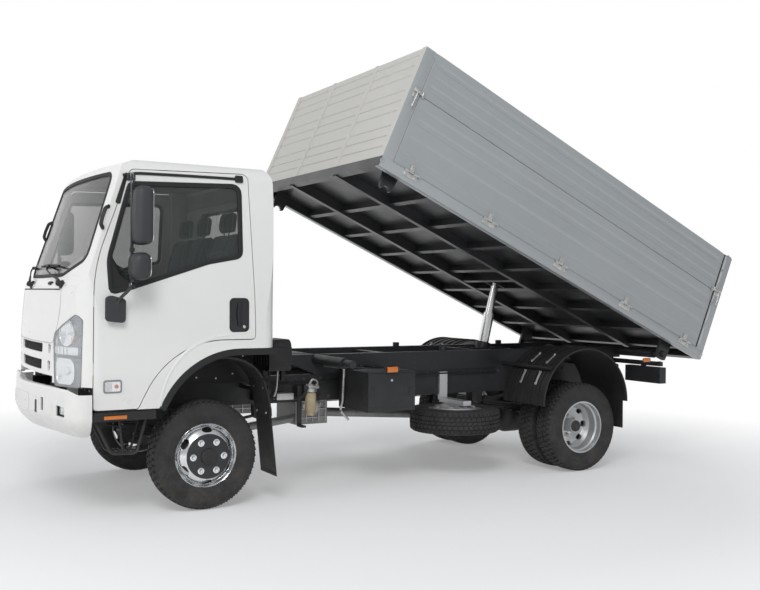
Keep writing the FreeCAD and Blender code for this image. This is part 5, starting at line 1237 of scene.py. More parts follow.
class TIPPER_OT_windows(bpy.types.Operator):
    """Rubber seals of all windows, the dark lower band of the windscreen, corner panels and door rails"""
    bl_idname = "tipper.windows"
    bl_label = "Window seals"

    def execute(self, context):
        seal = context.scene.tipper_sizes.seal
        solid("screen_seal", ribbon(even(WINDSCREEN, 0.03), front_place, band(seal, 0.006, -0.0055, 0.0025)),
              "seal_rubber", "cab")
        low = np.stack([np.linspace(-0.8, 0.8, 33), np.zeros(33)], -1)
        edge = WINDSCREEN[(WINDSCREEN[:, 1] < 1.76) & (np.abs(WINDSCREEN[:, 0]) < 0.86)]
        edge = edge[np.argsort(edge[:, 0])]
        low[:, 1] = np.interp(low[:, 0], edge[:, 0], edge[:, 1])
        hem = np.concatenate([low + [0, 0.012], (low + [0, 0.056])[::-1]])
        points = np.stack([over(front_place, hem, lift) for lift in (-0.0056, -0.0042)])
        solid("screen_hem", sound(rings(points)), "black_gloss", "cab")
        both("window_seal", ribbon(even(SIDE_WINDOW, 0.025), side_place, band(seal + 0.004, 0.008, -0.009, 0.0025)),
             "seal_rubber", "*_door")
        solid("rear_window_seal", ribbon(even(REAR_WINDOW, 0.04), rear_place, band(seal, 0.01, -0.0055, 0.004)),
              "seal_rubber", "cab")
        corner = cornered([(0.694, 1.54, 0.02), (0.708, 1.75), (0.698, 1.8), (0.655, 1.69, 0.15), (0.6, 1.59, 0.05),
                           (0.545, 1.566)])
        both("window_corner", patch(corner, side_place, -0.0105, -0.004), "black_plastic", "*_door")
        rail = np.array([(0.6, 2.318), (0.5, 2.338), (0.2, 2.343), (-0.1, 2.346), (-0.215, 2.346)])
        both("door_rail", ribbon(even(rail, 0.03, False), side_place, rounded(0.019, 0.012, 0.004) + [0, 0.004],
                                 False), "black_plastic", "*_door")
        end = cornered([(-0.205, 2.322, 0.006), (-0.205, 2.368, 0.006), (-0.262, 2.368, 0.006),
                        (-0.262, 2.322, 0.006)])
        both("door_rail_end", patch(end, side_place, -0.001, 0.016, 0.003), "black_plastic", "*_door")
        pillar = cornered([(0.655, 2.13, 0.01), (0.585, 2.335, 0.02), (0.545, 2.335, 0.02), (0.575, 2.285),
                           (0.622, 2.12, 0.01)])
        both("pillar_cover", patch(pillar, side_place, -0.001, 0.007, 0.003), "black_plastic", "*_door")
        return {"FINISHED"}


def wiper(across):
    """A wiper: pivot cap, tapering arm and parked blade, its places (y, z, lift) shifted across the windscreen."""
    def spot(y, z, lift):
        return over(front_place, [(y + across, z)], lift)[0]
    arm = np.array([spot(0.674, 1.579, 0.022), spot(0.62, 1.592, 0.034), spot(0.4, 1.632, 0.032),
                    spot(0.189, 1.676, 0.028), spot(0.155, 1.7, 0.024)])
    blade = np.stack([np.linspace(-0.11, 0.42, 24) + across, 1.709 + 0.008 * np.sin(np.linspace(0, math.pi, 24))], -1)
    path = over(front_place, blade, 0.013)
    up = facing(front_place, blade, AWAY[front_place])
    pivot = at(spot(0.674, 1.579, 0.0), up[0])
    cap = lathe([(0, -0.004), (0.03, -0.004), (0.03, 0.006), (0.02, 0.012), (0.018, 0.034), (0.012, 0.04),
                 (0, 0.041)], 20)
    head = moved(slab(rounded(0.075, 0.034, 0.012), 0.016, 0.004), at(spot(0.645, 1.584, 0.018), up[0], (0, -1, 0.2)))
    return joined(moved(cap, pivot), head, pipe(arm[:3], 0.0085, 0.02, 8), pipe(arm[2:], 0.0058, 0.02, 8),
                  sound(carried(rounded(0.012, 0.014, 0.004, 3), path, up)),
                  sound(carried(rounded(0.005, 0.012, 0.002, 3) + [0, -0.011], path[1:-1], up[1:-1])),
                  moved(slab(rounded(0.06, 0.02, 0.006), 0.02, 0.004), at(spot(0.155, 1.709, 0.008), up[0], (0, 1, 0))))


class TIPPER_OT_wipers(bpy.types.Operator):
    """Two parked wipers, the washer nozzle between them, and ribbons that paint the shade of the groove over the front
    panel and of the seam round it
    """
    bl_idname = "tipper.wipers"
    bl_label = "Wipers"

    def execute(self, context):
        for name, across in (("near", 0.0), ("far", -0.824)):
            solid(f"wiper_{name}", wiper(across), "black_plastic", "cab", smooth=40)
            plinth = cornered([(0.71 + across, 1.562, 0.012), (0.715 + across, 1.59, 0.01),
                               (0.6 + across, 1.603, 0.012), (0.58 + across, 1.59, 0.012)])
            solid(f"wiper_plinth_{name}", patch(plinth, front_place, -0.002, 0.006, 0.003), "black_plastic", "cab")
        nozzle = cornered([(0.455, 1.575, 0.006), (0.46, 1.595, 0.008), (0.35, 1.596, 0.008), (0.4, 1.577, 0.006)])
        solid("washer_nozzle", patch(nozzle, front_place, -0.002, 0.012, 0.004), "black_plastic", "cab")
        # A dark ribbon along the cowl line paints the shade in the groove over the front panel.
        groove = np.stack([np.linspace(-0.66, 0.66, 45), np.full(45, 1.546)], -1)
        solid("panel_groove", ribbon(groove, front_place, rounded(0.009, 0.003, 0.0014, 3), False), "seam_dark", "cab")
        # Grey ribbons along the front panel's edges paint the shade of its seam and creases.
        crease = cornered([(0.68, 1.546), (0.7, 1.35, 0.3), (0.6, 1.178, 0.04), (0, 1.178), (-0.6, 1.178, 0.04),
                           (-0.7, 1.35, 0.3), (-0.68, 1.546)], False)
        solid("panel_seam", ribbon(even(crease, 0.03, False), front_place, rounded(0.005, 0.002, 0.001, 3), False),
              "seam_grey", "cab")
        return {"FINISHED"}


def mirror_shell(low, high, y_in, y_out, x_rear, x_front, round_by):
    """A mirror housing: rounded plan section x(a), y(a), drawn in towards top and bottom by quarter circles.

    Half way up it bulges."""
    t = np.concatenate([[0.0, 0.03, 0.1, 0.25, 0.45, 0.7], np.linspace(1, 9, 9),
                        [9.3, 9.55, 9.75, 9.9, 9.97, 10.0]]) / 10
    z = low + (high - low) * t
    near = np.minimum(z - low, high - z)
    draw = np.where(near < round_by, round_by - np.sqrt(np.maximum(round_by ** 2 - (round_by - near) ** 2, 0)), 0)
    bulge = 0.006 * np.sin(math.pi * t)
    half_x, half_y = (x_front - x_rear) / 2, (y_out - y_in) / 2
    section = rounded(2 * half_x, 2 * half_y, min(half_x, half_y) * 0.72, 9)
    shape = section / [half_x, half_y]
    scale = np.stack([half_x - 0.006 - draw * 0.8 + bulge, half_y - draw * 0.8 - 0.006 + bulge], -1)
    plan = shape[None] * scale[:, None]
    flat = -half_x + 0.012
    plan[..., 0] = np.where(plan[..., 0] < flat, flat + (plan[..., 0] - flat) * 0.35, plan[..., 0])
    centre = np.array([(x_front + x_rear) / 2, (y_in + y_out) / 2])
    loops = np.concatenate([plan + centre, np.broadcast_to(z[:, None, None], (*plan.shape[:2], 1))], -1)
    return sound(rings(row(loops)))


class TIPPER_OT_mirrors(bpy.types.Operator):
    """Main and wide-angle mirrors on their bent tubes, with brackets and mirror glass"""
    bl_idname = "tipper.mirrors"
    bl_label = "Mirrors"

    def execute(self, context):
        head = mirror_shell(1.842, 2.222, 1.062, 1.257, 0.476, 0.6, 0.045)
        low = mirror_shell(1.614, 1.79, 1.07, 1.254, 0.486, 0.614, 0.05)
        tube = row([(0.668, 1.022, 1.405), (0.66, 1.04, 1.475), (0.594, 1.128, 1.56), (0.594, 1.128, 1.9),
                    (0.594, 1.128, 2.262), (0.585, 1.085, 2.306), (0.56, 0.985, 2.318), (0.548, 0.918, 2.308)])
        boss = [(0, 0), (0.021, 0), (0.021, 0.03), (0.014, 0.036), (0, 0.036)]
        collar = [(0, 0), (0.018, 0), (0.018, 0.024), (0, 0.024)]
        arm = joined(pipe(tube, 0.0115, 0.05, 12), spun(boss, 16, (0.594, 1.128, 1.56)),
                     spun(collar, 16, (0.594, 1.128, 1.795)))
        foot_outline = cornered([(0.614, 1.332, 0.02), (0.726, 1.345, 0.018), (0.726, 1.49, 0.016), (0.7, 1.5, 0.02),
                                 (0.614, 1.478, 0.016)])[::-1]
        foot = slab(foot_outline, 0.044, 0.007, 4)
        foot = (np.stack([foot[0][:, 0] + FRONT_AXLE, 1.0 + foot[0][:, 2], foot[0][:, 1]], -1), foot[1])
        panes = (("main", 1.862, 2.204, 1.08, 1.24, 0.4865), ("wide", 1.634, 1.772, 1.088, 1.236, 0.4985))
        cleat = slab(rounded(0.06, 0.05, 0.012), 0.02, 0.005)
        cleat = moved(cleat, at(row((0.546, 0.902, 2.308)), (-0.1, 1, 0.1)))
        for side, sign in SIDES:
            solid(f"mirror_housing_{side}", sided(head, sign), "mirror_shell", f"{side}_door", smooth=50,
                  replaces=[f"mirror_{side}"])
            solid(f"mirror_low_{side}", sided(low, sign), "mirror_shell", f"{side}_door", smooth=50)
            solid(f"mirror_arm_{side}", sided(sound(arm), sign), "black_gloss", f"{side}_door", smooth=50)
            solid(f"mirror_foot_{side}", sided(joined(sound(foot), sound(cleat)), sign), "mirror_shell",
                  f"{side}_door")
            for name, z_low, z_high, y_in, y_out, x in panes:
                pane = slab(rounded(z_high - z_low, y_out - y_in, 0.03, 6), 0.004, 0.001)
                pane = moved(pane, at(row((x, (y_in + y_out) / 2, (z_low + z_high) / 2)), (-1, 0, 0), (0, 0, 1)))
                solid(f"mirror_{name}_glass_{side}", sided(pane, sign), "mirror_silver", f"{side}_door")
        return {"FINISHED"}


class TIPPER_OT_door_fittings(bpy.types.Operator):
    """Handles, side repeaters, grab handles and the creases of the doors"""
    bl_idname = "tipper.door_fittings"
    bl_label = "Door fittings"

    def execute(self, context):
        centre = np.array([-0.2095, 1.375])
        bezel = rounded(0.148, 0.242, 0.034, 7)
        well = rounded(0.126, 0.22, 0.026, 7)
        both("handle_bezel", patch(bezel + centre, side_place, -0.001, 0.0035, 0.002), "black_plastic", "*_door")
        both("handle_well", patch(well + centre, side_place, 0.0034, 0.0042, 0.0004), "black_gloss", "*_door")
        z = np.linspace(-0.085, 0.085, 15)
        grip = over(side_place, np.stack([centre[0] + 0.006 - 0.01 * (z / 0.085) ** 2, centre[1] + 0.004 + z], -1),
                    0.0075 + 0.006 * (1 - (z / 0.085) ** 2))
        both("handle_grip", sound(carried(rounded(0.012, 0.03, 0.005, 4), grip, (1, 0, 0))), "black_plastic", "*_door")
        lock = moved(lathe([(0, 0), (0.011, 0), (0.011, 0.003), (0.008, 0.005), (0, 0.005)], 16),
                     at(over(side_place, [(-0.246, 1.292)], 0.003)[0], (0, 1, 0.02)))
        both("handle_lock", lock, "zinc", "*_door")
        lamp = np.array([0.6795, 0.905])
        edge = rounded(0.122, 0.086, 0.016, 6) + lamp
        both("repeater_frame", patch(edge, side_place, -0.001, 0.008, 0.003), "lamp_trim", "*_door")
        lens = rounded(0.106, 0.07, 0.012, 5) + lamp
        both("repeater_lens", patch(lens, side_place, 0.0078, 0.0115, 0.002), "lamp_glass", "*_door")
        bowl = rounded(0.1, 0.064, 0.01, 5) + lamp
        both("repeater_bowl", patch(bowl, side_place, 0.0076, 0.0084, 0.0003), "lamp_bowl", "*_door")
        bulb = lathe([(0, 0), (0.013, 0), (0.014, 0.0015), (0.01, 0.003), (0, 0.0034)], 18)
        both("repeater_bulb", moved(bulb, at(over(side_place, [(0.655, lamp[1])], 0.0082)[0], (0, 1, 0))), "amber_lens",
             "*_door")
        ribs = [moved(brick((-0.0015, -0.03, 0), (0.0015, 0.03, 0.0012), 0.0005, 1),
                      at(over(side_place, [(x, lamp[1])], 0.0084)[0], (0, 1, 0))) for x in np.linspace(0.69, 0.724, 5)]
        both("repeater_ribs", joined(*ribs), "lamp_trim", "*_door")
        line = even(cornered([(0.36, 0.76), (0.26, 1.19, 0.5), (-0.325, 1.262)], False, 15), 0.03, False)
        fold = [(-0.016, -0.004), (0.016, -0.004), (0.01, 0.0012), (0, 0.0028), (-0.01, 0.0012)]
        both("door_crease", ribbon(line, side_place, fold, False), "cab_paint", "*_door", smooth=70)
        spots = ((0.928, 2.1, 0.002), (0.934, 2.085, 0.022), (0.944, 2.02, 0.026), (0.95, 1.972, 0.022),
                 (0.952, 1.956, 0.002))
        bar = np.array([over(front_place, [(y, z)], lift)[0] for y, z, lift in spots])
        feet = [moved(lathe([(0, 0), (0.015, 0), (0.013, 0.006), (0, 0.007)], 14), at(bar[k], (1, 0.6, 0)))
                for k in (0, -1)]
        grab = joined(sound(carried(rounded(0.026, 0.013, 0.005, 4), eased(bar, 0.012), (0.4, 1, 0.1))), *feet)
        both("pillar_grab", grab, "black_plastic", "cab")
        return {"FINISHED"}


# ---------------------------------------------------------------- lamps, grille and bumper
def shell(outside, inside, holes=(), wrap=False):
    """A wall between two (m, n, 3) grids, closed along its edges and round its holes (i0, i1, j0, j1)."""
    m, n = outside.shape[:2]
    kept = np.ones((m - (not wrap), n - 1), bool)
    for i0, i1, j0, j1 in holes:
        kept[i0:i1, j0:j1] = False
    i, j = np.nonzero(kept)
    corner = np.arange(m * n).reshape(m, n)
    i2 = (i + 1) % m
    top = np.stack([corner[i, j], corner[i2, j], corner[i2, j + 1], corner[i, j + 1]], -1)
    around = np.pad(np.pad(kept, ((1, 1), (0, 0)), mode="wrap" if wrap else "constant"), ((0, 0), (1, 1)))
    faces = [top, top[:, ::-1] + m * n]
    for k, (di, dj) in enumerate(((0, -1), (1, 0), (0, 1), (-1, 0))):
        edge = ~around[i + 1 + di, j + 1 + dj]
        p, q = top[edge, k], top[edge, (k + 1) % 4]
        faces.append(np.stack([q, p, p + m * n, q + m * n], -1))
    return sound((np.concatenate([outside.reshape(-1, 3), inside.reshape(-1, 3)]), faces))


LAMP_OUTLINE = cornered([(0.64, 0.893, 0.03), (0.955, 0.893, 0.025), (0.962, 1.345, 0.03), (0.928, 1.387, 0.04),
                         (0.612, 1.245, 0.05)])
GRILLE_SLOTS = ((-0.37, 0.37, 1.105, 1.168), (-0.35, 0.35, 0.985, 1.055), (0.512, 0.555, 1.105, 1.168),
                (0.5, 0.545, 0.985, 1.055))


class TIPPER_OT_headlamps(bpy.types.Operator):
    """Headlamps: clear lens, housing, two bowls with bulbs, the bar between them and the fluted outer edge"""
    bl_idname = "tipper.headlamps"
    bl_label = "Headlamps"

    def execute(self, context):
        place = front_place
        back, bowl_floor = -0.0272, -0.0255
        outline = even(offset_loop(LAMP_OUTLINE, 0.0006), 0.012)
        for side, sign in SIDES:
            def put(name, part, kind, **extra):
                solid(f"{name}_{side}", sided(part, sign), kind, "cab", **extra)
            put("lamp_lens", patch(outline, place, -0.0042, 0.0004, 0.002, 9), "lamp_glass",
                replaces=["headlamps"] if sign > 0 else [])
            put("lamp_housing", tray(outline, place, 0.0275, -0.0045, 0.0016, 8), "lamp_trim")
            rim = ribbon(outline, place, rounded(0.004, 0.003, 0.001, 3) + [-0.002, -0.0015])
            put("lamp_edge", rim, "lamp_body")
            upper = circle(0.092, 40) * [1.0, 0.95] + [0.8, 1.258]
            lower = rounded(0.235, 0.165, 0.055, 8) + [0.782, 0.999]
            dishes = joined(*(patch(line, place, back, lambda s: bowl_floor + 0.018 * s ** 2, 0.001, 10)
                              for line in (upper, lower)))
            put("lamp_bowls", dishes, "lamp_bowl", smooth=60)
            rims = [ribbon(even(line, 0.012), place, rounded(0.006, 0.004, 0.0015, 3) + [0.001, -0.006])
                    for line in (upper, lower)]
            put("lamp_rims", joined(*rims), "chrome")
            # A dark arc over the upper edge of the upper bowl paints the shade inside the bowl.
            hood = [(0.706, 1.262), (0.722, 1.305), (0.755, 1.336), (0.8, 1.348), (0.845, 1.337), (0.872, 1.315)]
            put("lamp_hood", ribbon(eased(np.c_[hood, np.zeros(6)], 0.03)[:, :2], place,
                                    rounded(0.01, 0.012, 0.003, 3) + [0, -0.012], False), "lamp_body")
            bulbs = []
            for y, z, radius in ((0.8, 1.262, 0.022), (0.785, 1.0, 0.025)):
                cap = lathe([(0, 0), (radius, 0), (radius, 0.009), (radius * 0.85, 0.014), (radius * 0.4, 0.017),
                             (0, 0.0175)], 24)
                way = facing(place, np.array([[y, z]]), (1, 0, 0))[0]
                bulbs.append(moved(cap, at(over(place, [(y, z)], bowl_floor)[0], way, (0, 0, 1))))
            put("lamp_bulbs", joined(*bulbs), "white_lens")
            amber = lathe([(0, 0), (0.017, 0), (0.019, 0.006), (0.014, 0.013), (0, 0.016)], 20)
            spot = over(place, [(0.872, 1.216)], -0.024)[0]
            put("lamp_amber", moved(amber, at(spot, facing(place, np.array([[0.872, 1.216]]), (1, 0, 0))[0])),
                "amber_lens")
            bar = cornered([(0.628, 1.108, 0.008), (0.934, 1.108, 0.008), (0.936, 1.162, 0.008), (0.624, 1.162, 0.008)])
            put("lamp_bar", patch(even(bar, 0.012), place, back, -0.0085, 0.004, 8), "white_lens")
            fins = [ribbon(np.stack([np.full(5, y), np.linspace(1.112, 1.158, 5)], -1), place,
                           rounded(0.005, 0.004, 0.0012, 3) + [0, -0.0075], False) for y in (0.672, 0.718, 0.764, 0.81)]
            put("lamp_fins", joined(*fins), "lamp_trim")
            line = np.stack([np.linspace(0.64, 0.955, 22), np.full(22, 1.096)], -1)
            put("lamp_divide", ribbon(line, place, rounded(0.007, 0.004, 0.001, 3) + [0, -0.0065], False), "lamp_body")
            ribs = []
            for y in (0.9325, 0.9405, 0.9485):
                for low, high in ((0.906, 1.088), (1.104, 1.352)):
                    spots = np.stack([np.full(24, y), np.linspace(low, high, 24)], -1)
                    ribs.append(ribbon(spots, place, rounded(0.0042, 0.004, 0.0012, 3) + [0, -0.0085], False))
            put("lamp_flutes", joined(*ribs), "lamp_trim")
        return {"FINISHED"}


class TIPPER_OT_grille(bpy.types.Operator):
    """Dark mesh of crossed bars in the grille slots, over black backs"""
    bl_idname = "tipper.grille"
    bl_label = "Grille"

    def execute(self, context):
        bars, backs = [], []
        for start, end, low, high in GRILLE_SLOTS:
            reach = 0.008
            outline = even(cornered([(start, low, 0.012), (end, low, 0.012), (end + reach, high, 0.012),
                                     (start - reach, high, 0.012)]), 0.02)
            part = patch(offset_loop(outline, 0.0004), front_place, -0.0298, -0.019, 0.001, 4)
            wide = end - start > 0.1
            mesh = []
            step, lean = 0.0155, (high - low) * 0.55
            for sign in (1, -1):
                for y in np.arange(start - lean + 0.004, end + lean, step):
                    t = np.linspace(0, 1, 7)
                    spots = np.stack([y + sign * lean * (t - 0.5), low + 0.001 + (high - low - 0.002) * t], -1)
                    spread = reach * t - 0.003
                    inside = (spots[:, 0] > start - spread) & (spots[:, 0] < end + spread)
                    if inside.sum() > 2:
                        mesh.append(ribbon(spots[inside], front_place, rounded(0.0034, 0.004, 0.001, 3) + [0, -0.013],
                                           False))
            backs += [part] if wide else [part, mirrored(part)]
            bars += mesh if wide else mesh + [mirrored(bar) for bar in mesh]
        solid("grille_backs", joined(*backs), "seal_rubber", "cab")
        solid("grille_mesh", joined(*bars), "seam_dark", "cab")
        return {"FINISHED"}


class TIPPER_OT_bumper(bpy.types.Operator):
    """Bumper with its top shelf, air slots, fog lamps, blank plate, and the near-black radiator behind it, which also
    paints the shade in the gap under the cab
    """
    bl_idname = "tipper.bumper"
    bl_label = "Bumper"

    def execute(self, context):
        run = np.concatenate([[0], np.cumsum(np.linalg.norm(np.diff(BUMPER_LINE, axis=0), axis=1))])
        holes_y = [(-0.907, -0.766), (-0.53, -0.488), (-0.472, -0.388), (0.388, 0.472), (0.488, 0.53), (0.766, 0.907)]
        marks = np.interp(np.ravel(holes_y), BUMPER_LINE[:, 1], run)
        stations = np.linspace(0, run[-1], 105)
        stations = stations[np.abs(stations[:, None] - marks[None]).min(1) > 0.006]
        stations = np.sort(np.concatenate([stations, marks]))
        path = np.stack([np.interp(stations, run, BUMPER_LINE[:, k]) for k in (0, 1)], -1)
        ahead = unit(np.gradient(path, stations, axis=0))
        out = np.stack([ahead[:, 1], -ahead[:, 0]], -1)
        outer = np.array([(0.068, 0.88), (0.03, 0.886), (0.014, 0.8875), (0.006, 0.8855), (0.0012, 0.88), (0, 0.868),
                          (0, 0.835), (0, 0.805), (0, 0.773), (0, 0.716), (0, 0.705), (0.0012, 0.69), (0.006, 0.672),
                          (0.016, 0.648), (0.031, 0.624), (0.05, 0.602), (0.068, 0.585), (0.082, 0.571)])
        t = unit(np.gradient(outer, axis=0))
        wall = 0.009
        inner = outer + wall * np.stack([-t[:, 1], t[:, 0]], -1)
        top = np.interp(path[:, 0], [0.905, 0.965], [0.856, 0.888])[:, None]
        wide = np.interp(np.abs(path[:, 1]), [0.66, 0.78], [1, 0])[:, None]

        shelf = 0.82

        def skin(rows):
            depth, z = rows[:, 0][None], rows[:, 1][None]
            tight = np.where(z > shelf, np.minimum(depth, 0.0095 + 0.0588 * depth), depth)
            depth = wide * depth + (1 - wide) * tight
            lifted = np.where(z > shelf, shelf + (z - shelf) * (top - shelf) / 0.068, z)
            flat = path[:, None] - out[:, None] * depth[..., None]
            return row(np.concatenate([flat, lifted[..., None]], -1))
        row_at = {0.805: 7, 0.773: 8, 0.716: 9, 0.705: 10}
        holes = []
        for (start, end), mark in zip(holes_y, marks.reshape(-1, 2)):
            i0, i1 = (int(np.abs(stations - m).argmin()) for m in mark)
            low, high = (0.773, 0.705) if abs(start) > 0.7 else (0.805, 0.716)
            holes.append((i0, i1, 0, 1) if abs(start + end) < 0.9 else (i0, i1, row_at[low], row_at[high]))
        solid("bumper_skin", shell(skin(outer), skin(inner), holes), "bumper_paint", "chassis", smooth=40,
              replaces=["front_bumper"])
        wells, lenses, bowls, arms = [], [], [], []
        for sign in (1, -1):
            slot = rounded(0.05, 0.097, 0.01, 5) + [0.509, 0.7605]
            fog = rounded(0.151, 0.078, 0.016, 6) + [0.8365, 0.739]
            wells += [sided(tray(slot, bumper_place, 0.05, -0.0094, 0.002), sign),
                      sided(tray(even(fog, 0.01), bumper_place, 0.045, -0.0094, 0.002), sign)]
            lens = even(rounded(0.108, 0.06, 0.012, 6) + [0.851, 0.744], 0.01)
            lenses.append(sided(patch(lens, bumper_place, -0.0155, -0.0125, 0.001, 6), sign))
            bowl = patch(lens, bumper_place, -0.0445, lambda s: -0.04 + 0.02 * s ** 2, 0.001, 8)
            bowls.append(sided(bowl, sign))
            arms.append(sided(block((0.9, 0.362, 0.69), (1.058, 0.41, 0.78), 0.004), sign))
        solid("bumper_wells", joined(*wells), "seam_dark", "chassis")
        solid("fog_lenses", joined(*lenses), "lamp_glass", "chassis")
        solid("fog_bowls", joined(*bowls), "lamp_bowl", "chassis", smooth=60)
        solid("bumper_arms", joined(*arms), "frame_paint", "chassis")
        plate_z = 0.756
        bead = even(rounded(0.1, 0.105, 0.02, 5) * [7.7, 1.22] + [0, plate_z], 0.02)
        section = [(-0.004, -0.001), (0.004, -0.001), (0.002, 0.0016), (-0.002, 0.0016)]
        solid("bumper_bead", ribbon(bead, bumper_place, section), "bumper_paint", "chassis", smooth=60)
        edge = even(rounded(0.52, 0.112, 0.008, 4) + [0, plate_z], 0.02)
        solid("plate_front", patch(edge, bumper_place, 0.0006, 0.0032, 0.0008, 5), "plate_blank", "chassis")
        screw = lathe([(0, 0), (0.006, 0), (0.005, 0.002), (0, 0.0024)], 12)
        screws = [moved(screw, at(over(bumper_place, [(y, plate_z)], 0.003)[0], (1, 0, 0), (0, 0, 1)))
                  for y in (-0.19, 0.19)]
        solid("plate_screws", joined(*screws), "zinc", "chassis")
        # The radiator is near-black: a real part that also paints the shade seen through the gap between bumper and
        # cab.
        core = [brick((0.772, -0.325, 0.62), (0.806, 0.325, 0.915), 0.003)]
        core += [brick((0.804, -0.318, z), (0.8085, 0.318, z + 0.0035), 0.001) for z in np.arange(0.632, 0.905, 0.011)]
        solid("radiator_core", from_axle(*core), "seam_dark", "chassis")
        tanks = [brick((0.765, -0.35, 0.6), (0.815, -0.32, 0.93), 0.008),
                 brick((0.765, 0.32, 0.6), (0.815, 0.35, 0.93), 0.008),
                 brick((0.762, -0.335, 0.905), (0.818, 0.335, 0.94), 0.01)]
        # Plain black sheets out to the cab's sides paint the shade in the gap above the bumper.
        tanks += [brick((0.768, s * a, b), (0.774, s * 0.592, 0.946), 0.002)
                  for s in (1, -1) for a, b in ((0.47, 0.6), (0.01, 0.886))]
        tanks.append(pipe([(0.79, 0.2, 0.9), (0.84, 0.2, 0.905), (0.85, 0.1, 0.86), (0.85, -0.05, 0.84)],
                          0.022, 0.04, 14))
        solid("radiator_tanks", from_axle(*tanks), "black_plastic", "chassis")
        return {"FINISHED"}


# ---------------------------------------------------------------- wheels
def nut_ring(count, radius, across, height, turn=0.0):
    """Wheel nuts on studs with their washers, round the z axis."""
    washer = lathe([(0, 0), (across * 0.95, 0), (across * 0.95, 0.003), (across * 0.72, 0.0045), (0, 0.0045)], 18)
    stud = lathe([(0, height), (across * 0.27, height), (across * 0.27, height + 0.011),
                  (across * 0.2, height + 0.013), (0, height + 0.013)], 12)
    nut = joined(washer, moved(hex_bolt(across, height, False), at((0, 0, 0.004))), stud)
    places = [np.array(Matrix.Rotation(2 * math.pi * (i + turn) / count, 4, "Z") @ Matrix.Translation((radius, 0, 0)))
              for i in range(count)]
    return repeated(nut, places)


def front_wheel():
    """Front wheel about the z axis, outside up: a convex disc with six oval hand holes, and a rolled outer lip.

    Round each hole the grid's square rings p become ellipses, p / |p| * max(|px|, |py|), and this fades out by twice
    the hole's size."""
    outer = np.array([(0.062, 0.1255), (0.11, 0.1255), (0.15, 0.1245), (0.157, 0.1225), (0.161, 0.1195),
                      (0.1655, 0.116), (0.175, 0.1083), (0.1845, 0.1005), (0.194, 0.0912), (0.203, 0.079),
                      (0.207, 0.07), (0.2098, 0.06), (0.2115, 0.052), (0.2145, 0.0495), (0.2165, 0.054),
                      (0.2175, 0.066), (0.2195, 0.077), (0.2255, 0.083), (0.234, 0.0862), (0.2405, 0.0858),
                      (0.2435, 0.0825), (0.2438, 0.076)])
    t = unit(np.gradient(outer, axis=0))
    sheet = 0.0055
    inner = outer + sheet * np.stack([t[:, 1], -t[:, 0]], -1)
    inner[-1] = (0.2385, 0.0775)
    j0, j1 = 5, 9
    centre, half_r, half_a = 0.1845, 0.019, 0.212
    steps = np.array([-0.5236, -0.45, -0.375, -0.3, -0.212, -0.106, 0.0, 0.106, 0.212, 0.3, 0.375, 0.45])
    angle = (np.arange(6)[:, None] * math.pi / 3 + steps[None]).reshape(-1)
    local = np.tile(steps, 6)

    def skin(rows):
        r, z = np.broadcast_arrays(rows[:, 0][None], rows[:, 1][None])
        a, b = local[:, None] / half_a, (outer[:, 0][None] - centre) / half_r
        a, b = np.broadcast_arrays(a, b)
        square = np.maximum(np.abs(a), np.abs(b))
        long = np.maximum(np.hypot(a, b), 1e-6)
        weight = np.clip(2 - square, 0, 1) * (square > 0.01)
        scale = weight * square / long + (1 - weight)
        r2 = r + (b * scale - b) * half_r
        z2 = z + (b * scale - b) * half_r * -0.75
        theta = angle[:, None] + (a * scale - a) * half_a
        return np.stack([r2 * np.cos(theta), r2 * np.sin(theta), z2], -1)
    holes = [(12 * k + 4, 12 * k + 8, j0, j1) for k in range(6)]
    return shell(skin(outer), skin(inner), holes, True)


